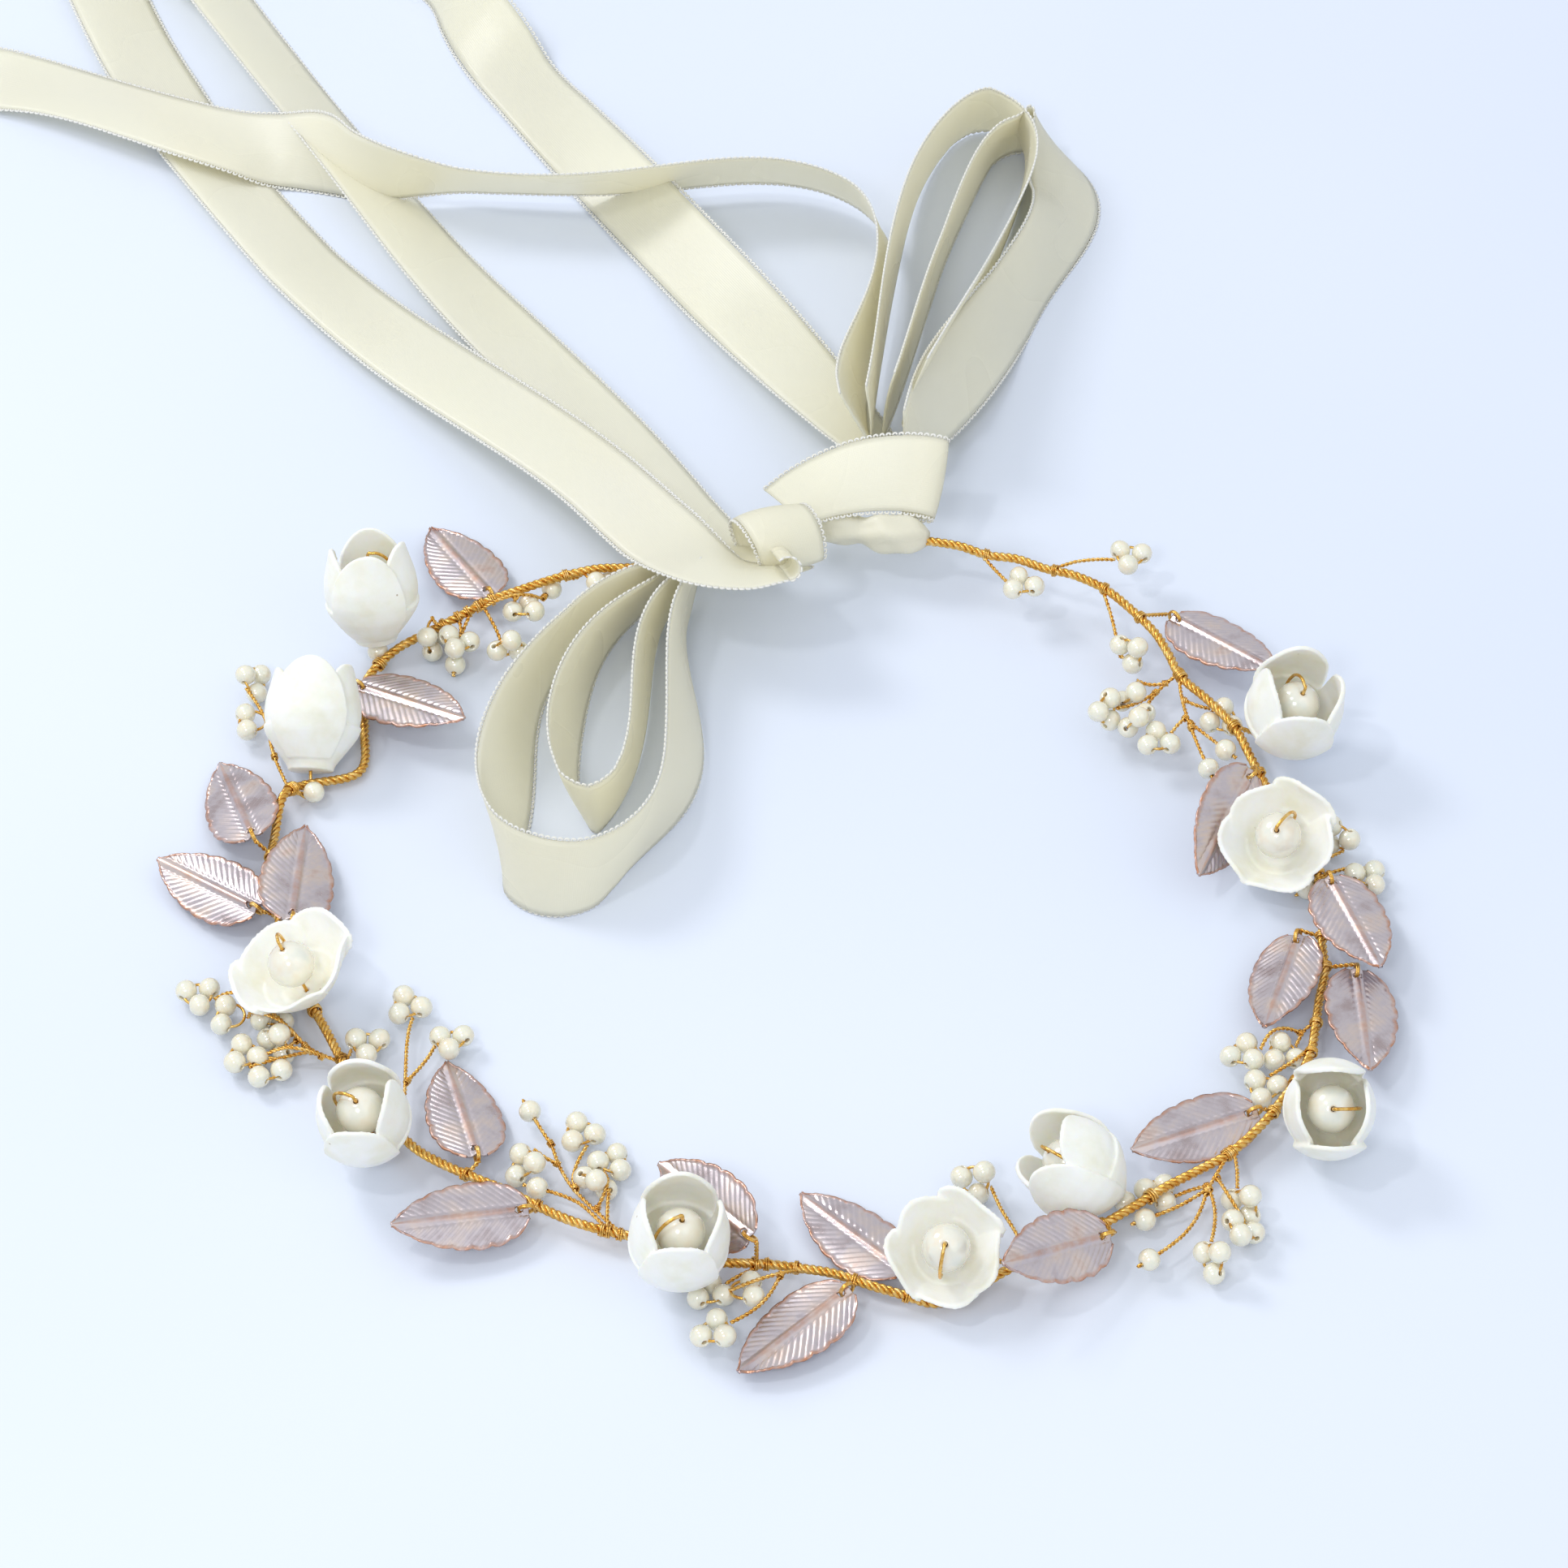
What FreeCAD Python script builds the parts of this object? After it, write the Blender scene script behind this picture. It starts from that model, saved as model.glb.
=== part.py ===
"""Flower crown: a twisted-wire vine ring with clay flowers, pearls, metal leaves and a ribbon bow."""
import FreeCAD, Part
import math, os
from FreeCAD import Vector as V, Matrix

os.makedirs("parts", exist_ok=True)

# ---- driving dimensions, mm ----
VINE_R = 0.8          # main vine: two wires twisted together
STEM_R = 0.32         # flower stem wire
SPRAY_R = 0.32        # twisted stem of a bead spray
LOOP_R = 0.28         # wire loop that carries a floret of beads
BEAD_R = 1.9          # small pearl bead, 4 mm nominal
PEARL_R = 4.0         # centre pearl of a flower, 8 mm
BEAD_HOLE_R = 0.42     # hole through a small bead
FIT_HOLE_R = 0.40     # hole in a flower base and in a pearl: turns on the stem wire
CLAY_WALL = 1.1       # wall of a clay petal cup
LEAF_LENGTH = 24.5
LEAF_HALF_WIDTH = 6.5
LEAF_SHEET = 0.6      # embossed sheet
LEAF_BEND_R = 22.0    # cross bend of a leaf
LEAF_HOLE_R = 0.7
LEAF_HOLE_IN = 1.6    # hole centre from the leaf's base edge
TIE_R = 0.28          # tie wire ring through a leaf hole
TIE_RING_R = 1.3
RIBBON_W = 15.0
RIBBON_T = 0.5

# ---- profiles: (height from the base, outer radius) of a petal cup ----
BUD = ((0, 2.6), (0.8, 3.6), (3, 6), (6, 8.2), (9, 9.1), (12, 8.9), (15, 8.1), (18.5, 7.2))
ROSE = ((0, 2.4), (0.8, 3.2), (2.5, 5.4), (4.5, 7.4), (6.5, 8.9), (8, 9.6), (9.2, 9.7))
# leaf outline: (fraction of length, fraction of half width)
LEAF = ((0, 0.3), (0.04, 0.55), (0.12, 0.8), (0.25, 0.97), (0.4, 1), (0.55, 0.94), (0.7, 0.78), (0.82, 0.56), (0.92, 0.3), (1, 0))
# ---- route of the vine, from the right-hand end round the front to the left-hand end ----
VINE = (
    (18.61, 81.08, 10.35),
    (23, 80.47, 10.54),
    (28.3, 79.42, 10.37),
    (33.33, 77.76, 9.68),
    (38.6, 76.63, 9.83),
    (43.63, 74.5, 9.49),
    (48.88, 72.34, 9.84),
    (54.42, 68.86, 9.66),
    (58.98, 64.23, 8.98),
    (62.88, 59.1, 8.38),
    (65.08, 53.96, 8.14),
    (67.17, 48.29, 7.84),
    (71.85, 42.28, 7.8),
    (76.13, 35.75, 7.51),
    (78.59, 28.94, 6.89),
    (81.32, 22.07, 5.98),
    (84.35, 16.31, 4.52),
    (87.33, 10.4, 3.67),
    (89.06, 3.43, 3.89),
    (89.21, -4.33, 4.13),
    (88.47, -11.92, 4.15),
    (88.54, -18.78, 4.11),
    (87.18, -25.09, 3.88),
    (86.17, -31.06, 4.24),
    (84.98, -37.25, 4.51),
    (82.75, -43.02, 5.05),
    (79.64, -48.55, 5.61),
    (75.39, -54.51, 5.37),
    (70.05, -59.91, 4.85),
    (64.39, -63.93, 5.02),
    (59.08, -67.57, 5.31),
    (53.87, -71.55, 5.29),
    (48.6, -75.4, 5.32),
    (42.77, -78.99, 5.27),
    (36.98, -82.13, 4.96),
    (31.42, -84.84, 4.02),
    (25.93, -87.68, 2.07),
    (20.73, -89.02, 1.73),
    (15.63, -88.33, 3.11),
    (10.16, -87.07, 4.07),
    (4.71, -84.94, 4.28),
    (-0.88, -83.05, 3.37),
    (-6.28, -81.86, 2.92),
    (-13.15, -83.02, 4.74),
    (-16.87, -80.46, 2.63),
    (-21.71, -77.48, 1.69),
    (-28.02, -75.88, 2.53),
    (-33.58, -74.82, 3.25),
    (-38.44, -72.99, 3.32),
    (-43.24, -70.37, 3.38),
    (-48.81, -67.84, 4.6),
    (-54.28, -65.63, 5.4),
    (-59.42, -62.45, 4.94),
    (-64.36, -58.12, 3.92),
    (-68.61, -52.42, 3.33),
    (-73.24, -46.17, 3.72),
    (-77.47, -38.91, 3.83),
    (-80.66, -31.45, 3.12),
    (-83.56, -24.55, 1.68),
    (-86.64, -17.35, 1.69),
    (-89.13, -10.1, 2.04),
    (-91.09, -3.05, 5.29),
    (-92.38, 4.89, 4.76),
    (-92.2, 14.04, 2.98),
    (-91.16, 22, 4.57),
    (-87.97, 26.74, 2.53),
    (-78.41, 30.79, 1.69),
    (-77.99, 40.91, 1.79),
    (-78.57, 51.95, 2.19),
    (-73.88, 59.04, 3.34),
    (-68, 62.85, 4.42),
    (-62.18, 65.78, 5.76),
    (-56.47, 68.55, 7.23),
    (-50.48, 70.58, 8.2),
    (-43.97, 72.36, 9.39),
    (-37.33, 73.4, 10.44),
    (-30.62, 73.3, 10.88),
    (-24.05, 73.17, 11.53),
)
# ---- flowers: name, cup, base centre, axis, size factor, pearl height, where the stem leaves the vine, its elbow ----
FLOWERS = (
    ("rosebud_1", "bud", (-76.68, 60.7, 5), (-0.07, 0.36, 0.93), 1.03, 11.2, (-76.252, 56.222, 2.346), (-76.358, 59.044, 0.721)),
    ("rosebud_2", "bud", (-86.82, 29.18, 3.59), (0.03, 0.808, 0.589), 1.045, 11.2, (-89.002, 24.606, 2.974), (-86.958, 25.464, 0.883)),
    ("open_rose_1", "rose", (-83.93, -23.42, 3.06), (-0.328, 0.02, 0.944), 1.093, 8.3, (-83.028, -25.46, 1.98), (-83.503, -23.446, 1.832)),
    ("rosebud_3", "bud", (-71.43, -54.91, 3), (-0.141, -0.292, 0.946), 0.945, 11.2, (-69.205, -52.897, 2.978), (-71.247, -54.531, 1.77)),
    ("rosebud_4", "bud", (-21.23, -81.93, 2.73), (0.091, -0.182, 0.979), 1.004, 11.2, (-20.247, -79.347, 1.901), (-21.348, -81.694, 1.457)),
    ("open_rose_2", "rose", (23.13, -80.11, 3.41), (-0.06, -0.533, 0.844), 0.943, 8.3, (34.108, -82.895, 4.453), (23.208, -79.418, 2.313)),
    ("rosebud_5", "bud", (51.23, -67.7, 3.84), (-0.763, 0.06, 0.643), 0.972, 11.2, (56.184, -69.294, 4.558), (54.742, -67.977, 0.882)),
    ("rosebud_6", "bud", (86.51, -49.23, 3.86), (0, -0.661, 0.751), 0.935, 11.2, (82.234, -45.491, 4.907), (86.51, -48.107, 2.584)),
    ("open_rose_3", "rose", (82.95, 11, 3.42), (-0.15, -0.489, 0.859), 0.993, 8.3, (85.504, 12.39, 3.599), (83.145, 11.636, 2.303)),
    ("rosebud_7", "bud", (84.1, 38.63, 3.08), (0.211, -0.251, 0.945), 1.034, 11.2, (76.227, 36.772, 7.032), (83.636, 39.183, 1.002)),
)
# ---- leaves: name, hole centre, direction to the tip, across, face normal, size factor ----
LEAVES = (
    ("leaf_1", (-57.38, 73.71, 4.71), (-0.483, 0.861, -0.156), (-0.872, -0.49, -0.005), (-0.081, 0.134, 0.988), 1.003),
    ("leaf_2", (-78.36, 49.27, 4.2), (0.811, -0.548, 0.207), (0.561, 0.828, -0.009), (-0.166, 0.124, 0.978), 1),
    ("leaf_3", (-95.93, 11.76, 6.42), (-0.314, 0.925, -0.212), (-0.893, -0.363, -0.266), (-0.323, 0.106, 0.94), 0.999),
    ("leaf_4", (-95.02, -4.75, 5.44), (-0.788, 0.605, -0.111), (-0.553, -0.776, -0.304), (-0.27, -0.178, 0.946), 0.947),
    ("leaf_5", (-87.57, -8.85, 7.62), (0.031, 0.992, -0.126), (-0.966, 0.062, 0.25), (0.255, 0.114, 0.96), 1.023),
    ("leaf_6", (-54.48, -59.04, 4.77), (-0.253, 0.956, -0.146), (-0.964, -0.237, 0.12), (0.081, 0.171, 0.982), 0.998),
    ("leaf_7", (-46.92, -72.19, 5.03), (-0.967, -0.234, 0.103), (0.194, -0.935, -0.298), (0.165, -0.268, 0.949), 0.932),
    ("leaf_8", (-9.88, -80.3, 9.08), (-0.64, 0.76, -0.113), (-0.476, -0.508, -0.718), (-0.603, -0.406, 0.687), 0.964),
    ("leaf_9", (14.91, -82.81, 3.42), (-0.689, 0.722, -0.061), (-0.724, -0.689, 0.028), (-0.022, 0.064, 0.998), 0.99),
    ("leaf_10", (5.7, -89.61, 4.75), (-0.752, -0.651, -0.104), (0.652, -0.758, 0.024), (-0.094, -0.05, 0.994), 0.963),
    ("leaf_11", (47.95, -79.96, 7.69), (-0.778, -0.535, 0.33), (0.348, -0.804, -0.483), (0.523, -0.261, 0.811), 0.937),
    ("leaf_12", (73.53, -51.39, 4.96), (-0.913, -0.406, 0.044), (0.391, -0.899, -0.197), (0.12, -0.162, 0.98), 0.948),
    ("leaf_13", (90.87, -0.94, 6.9), (0.292, -0.953, 0.084), (0.956, 0.293, 0.004), (-0.029, 0.079, 0.997), 0.975),
    ("leaf_14", (83.84, -13.13, 5.27), (-0.307, -0.951, 0.025), (0.928, -0.293, 0.231), (-0.212, 0.095, 0.973), 0.93),
    ("leaf_15", (93.8, -20.83, 5.02), (0.022, -0.999, 0.049), (0.989, 0.014, -0.145), (0.144, 0.051, 0.988), 0.973),
    ("leaf_16", (77.48, 21.71, 9.5), (-0.42, -0.902, -0.102), (0.647, -0.219, -0.731), (0.636, -0.373, 0.675), 1.01),
    ("leaf_17", (67.86, 65.33, 5.25), (0.7, -0.698, 0.15), (0.712, 0.699, -0.069), (-0.056, 0.155, 0.986), 0.996),
)
# ---- tie stems: from each leaf's ring to the vine ----
TIE_STEMS = (
    ((-55.93, 71.126, 5.178), (-55.776, 69.416, 6.778)),
    ((-80.792, 50.913, 3.58), (-79.232, 51.641, 2.604)),
    ((-94.989, 8.983, 7.056), (-92.868, 8.459, 4.708)),
    ((-92.656, -6.566, 5.773), (-91.001, -5.939, 4.549)),
    ((-87.663, -11.825, 7.998), (-88.391, -11.9, 2.784)),
    ((-53.721, -61.909, 5.207), (-55.117, -64.125, 5.266)),
    ((-44.019, -71.489, 4.722), (-43.974, -70.7, 4.068)),
    ((-7.959, -82.579, 9.418), (-7.992, -82.21, 4.213)),
    ((16.977, -84.976, 3.603), (16.434, -87.608, 3.094)),
    ((7.957, -87.658, 5.062), (8.036, -86.97, 4.609)),
    ((50.284, -78.356, 6.701), (48.985, -76.076, 5.636)),
    ((76.268, -50.171, 4.827), (76.981, -50.947, 5.206)),
    ((89.994, 1.918, 6.648), (89.36, 1.615, 4.738)),
    ((84.762, -10.276, 5.194), (87.765, -10.825, 4.367)),
    ((93.735, -17.834, 4.874), (89.362, -17.908, 4.236)),
    ((78.741, 24.415, 9.807), (79.683, 25.261, 7.191)),
    ((65.76, 67.425, 4.801), (60.538, 63.397, 8.425)),
)
# ---- bead sprays: node, then florets as (bead centres, loop (centre, normal, radius) or the stem direction of a single bead) ----
SPRAYS = (
    ("pearl_spray_right_back", (
        (((57.53, 80.12, 8.65), (61.45, 79.32, 8.65), (58.8, 76.33, 8.65)), ((59.26, 78.592, 8.65), (-0, -0, 1), 2.308)),
        (((38.94, 73.42, 8.44), (37.78, 69.69, 8.98), (41.69, 70.61, 8.75)), ((39.477, 71.21, 8.727), (0.026, 0.135, 0.991), 2.293)),
        (((56.58, 56.55, 7.8), (59.58, 54.36, 9.3), (58.8, 54.21, 5.43)), ((58.305, 55.053, 7.514), (-0.632, -0.759, 0.157), 2.302)),
        (((54.25, 42.93, 8), (52.04, 39.67, 7.89), (54.31, 40.59, 4.79)), ((53.54, 41.068, 6.886), (0.754, -0.524, 0.396), 2.283)),
        (((56.58, 44.96, 5.17), (58.86, 44.12, 8.28)), ((58.161, 45.737, 6.725), (-0.739, 0.272, 0.616), 2.35)),
        (((59.07, 37.35, 8.86), (60.47, 40.45, 6.71), (57.36, 38.17, 5.41)), ((58.986, 38.692, 6.974), (-0.642, 0.611, 0.463), 2.316)),
        (((62.13, 36.03, 6.67), (60.5, 32.45, 6.87), (64.48, 32.8, 6.79)), ((62.39, 33.751, 6.777), (0.016, 0.049, 0.999), 2.296)),
        (((71.87, 39.66, 5.24), (74.49, 42.45, 6.1), (75.81, 38.86, 5.16)), ((74.055, 40.289, 5.49), (-0.034, -0.265, 0.964), 2.287)),
        (((74.18, 31.53, 6.53),), ((0.712, -0.695, -0.1),)),
        (((71.02, 27.62, 5.85),), ((0.321, -0.934, -0.156),)),
    )),
    ("pearl_spray_right_front", (
        (((91.68, 13.68, 5.97), (94.81, 11.94, 4.33), (91.61, 12.68, 2.15)), ((92.697, 12.768, 4.149), (-0.372, -0.896, 0.241), 2.277)),
        (((95.28, 4.74, 3.38), (98.82, 6.2, 2.51), (98.56, 2.26, 3.15)), ((97.537, 4.338, 3.026), (0.179, 0.146, 0.973), 2.32)),
        (((86.91, 2.27, 2.15),), ((-0.773, -0.069, -0.631),)),
        (((74.21, -35.46, 4.55), (71.37, -38.27, 4.44), (75.12, -39.4, 4.87)), ((73.596, -37.684, 4.621), (-0.096, 0.059, 0.994), 2.309)),
        (((79.95, -34.56, 3.72), (82.55, -37.4, 2.84), (78.71, -38.3, 3.53)), ((80.409, -36.774, 3.36), (0.202, -0.116, 0.972), 2.29)),
        (((75.24, -43.28, 4), (78.93, -44.64, 4.2), (76, -47.26, 3.98)), ((76.679, -45.068, 4.057), (-0.06, -0.017, 0.998), 2.296)),
    )),
    ("pearl_spray_front_right", (
        (((59.2, -64.46, 2.15), (55.86, -66.32, 3.32), (59.09, -68.46, 2.56)), ((58.069, -66.398, 2.67), (0.284, 0.09, 0.955), 2.304)),
        (((55.54, -72.82, 3.36),), ((-0.927, -0.367, -0.081),)),
        (((55.82, -82.07, 4.33),), ((-0.786, -0.619, 0),)),
        (((64.83, -80.04, 3.74), (67.18, -82.12, 6.22), (66.35, -83.58, 2.65)), ((66.108, -81.896, 4.198), (-0.804, -0.461, 0.375), 2.3)),
        (((70, -68.7, 3.49), (72.84, -70, 5.98), (72.87, -71.18, 2.22)), ((71.886, -69.949, 3.891), (-0.571, -0.785, 0.242), 2.297)),
        (((69.81, -73.65, 4.13), (70.89, -77.46, 5.03), (73.28, -75.21, 2.86)), ((71.291, -75.421, 4.018), (0.45, 0.324, 0.832), 2.311)),
    )),
    ("pearl_spray_front", (
        (((25.74, -64.14, 3.92), (29.41, -64.45, 5.5), (28.51, -66.33, 2.15)), ((27.879, -64.959, 3.874), (-0.294, -0.798, 0.527), 2.291)),
        (((-15.34, -85.19, 2.15), (-17.39, -88.52, 2.39), (-13.3, -88.41, 3.03)), ((-15.345, -87.464, 2.538), (-0.157, 0.167, 0.974), 2.306)),
        (((-8.84, -86.18, 3.73), (-8.38, -90.04, 4.74)), ((-9.822, -88.254, 4.235), (-0.03, 0.25, 0.968), 2.35)),
        (((-14.31, -94.49, 4.35), (-16.81, -97.57, 4.01), (-12.96, -98.25, 4.88)), ((-14.678, -96.772, 4.417), (-0.209, 0.062, 0.976), 2.313)),
        (((-45.79, -49.61, 3.54),), ((-0.487, 0.858, 0.164),)),
        (((-47.06, -58.95, 3.49), (-44.63, -61.91, 4.78), (-47.68, -62.83, 2.47)), ((-46.473, -61.19, 3.575), (-0.576, -0.12, 0.808), 2.317)),
        (((-44.1, -65.91, 3.06),), ((-0.95, 0.313, 0),)),
        (((-37.95, -51.65, 3.03), (-34.89, -54.13, 2.95), (-38.58, -55.66, 3.01)), ((-37.178, -53.826, 2.997), (0.02, -0.008, 1), 2.309)),
        (((-34.21, -60.44, 3.31), (-31.16, -58.07, 2.56), (-30.52, -61.99, 3.05)), ((-31.949, -60.19, 2.975), (0.13, 0.144, 0.981), 2.3)),
        (((-34.37, -66.36, 5.61), (-36.42, -63.72, 3.24), (-32.73, -65.48, 2.15)), ((-34.555, -65.122, 3.607), (0.489, 0.762, 0.425), 2.362)),
    )),
    ("pearl_spray_left_front", (
        (((-75.61, -33.12, 3), (-71.67, -33.19, 2.99), (-73.69, -36.64, 3)), ((-73.661, -34.341, 2.997), (0.003, 0.001, 1), 2.3)),
        (((-68.02, -23.41, 2.99), (-68.62, -27.39, 2.99), (-64.9, -25.92, 2.99)), ((-67.189, -25.571, 2.99), (0, 0, 1), 2.315)),
        (((-61.45, -32.45, 2.75), (-57.54, -32.62, 3.25), (-59.79, -35.91, 3.66)), ((-59.573, -33.673, 3.225), (-0.116, 0.2, 0.973), 2.29)),
        (((-105.02, -22.21, 2.98), (-101.1, -21.71, 3.03), (-102.52, -25.45, 2.99)), ((-102.906, -23.164, 2.999), (-0.012, -0.006, 1), 2.319)),
        (((-98.06, -25.75, 3.2), (-98.58, -29.63, 2.78)), ((-97.048, -27.86, 2.99), (-0.014, -0.106, 0.994), 2.35)),
        (((-94.79, -34.34, 2.99), (-95.71, -38.31, 3), (-91.93, -37.19, 2.99)), ((-94.168, -36.576, 2.993), (0.002, 0.002, 1), 2.321)),
        (((-90.48, -33.09, 2.93), (-88.25, -34.61, 5.87), (-87.7, -35.79, 2.15)), ((-88.82, -34.486, 3.658), (-0.671, -0.729, 0.132), 2.287)),
        (((-91.46, -41.53, 2.96), (-87.76, -40.03, 2.97)), ((-90.076, -39.631, 2.965), (-0.002, -0.001, 1), 2.35)),
        (((-91.8, -29.47, 3.65), (-91.42, -25.94, 2.15), (-88.22, -28.48, 2.15)), ((-90.409, -27.952, 2.623), (0.278, 0.35, 0.894), 2.301)),
    )),
    ("pearl_spray_left_back", (
        (((-99.62, 51.64, 5.13), (-97.18, 53.91, 2.9), (-97.7, 49.94, 2.15)), ((-98.138, 51.857, 3.367), (0.76, -0.215, 0.613), 2.313)),
        (((-99.23, 43.39, 3.59), (-98.66, 39.33, 3.59)), ((-97.807, 41.52, 3.59), (0, 0, 1), 2.35)),
        (((-63.7, 61.23, 5.59), (-59.94, 60.28, 4.91), (-62.46, 57.41, 6.09)), ((-62.056, 59.613, 5.541), (0.223, 0.197, 0.955), 2.306)),
        (((-66.78, 60.65, 2.15), (-67.54, 60.51, 5.9), (-66.07, 64.53, 2.27)), ((-66.807, 62.599, 4.172), (0.965, -0.182, 0.189), 2.809)),
        (((-62.54, 57.21, 2.15),), ((-0.104, -0.968, -0.227),)),
        (((-54.96, 57.87, 5.03), (-52.26, 57.52, 7.96), (-51.08, 58.5, 4.33)), ((-52.787, 57.962, 5.769), (-0.117, 0.968, 0.223), 2.297)),
        (((-52.36, 66.27, 6.64), (-49.58, 69.12, 5.91), (-48.39, 65.65, 7.33)), ((-50.153, 66.989, 6.631), (-0.108, 0.344, 0.932), 2.321)),
        (((-45.5, 72.38, 6.34),), ((0.58, 0.813, 0.056),)),
        (((-37.36, 70.27, 10.16), (-35.26, 72.61, 7.78)), ((-37.262, 72.294, 8.97), (0.403, 0.449, 0.797), 2.35)),
    )),
)
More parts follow.
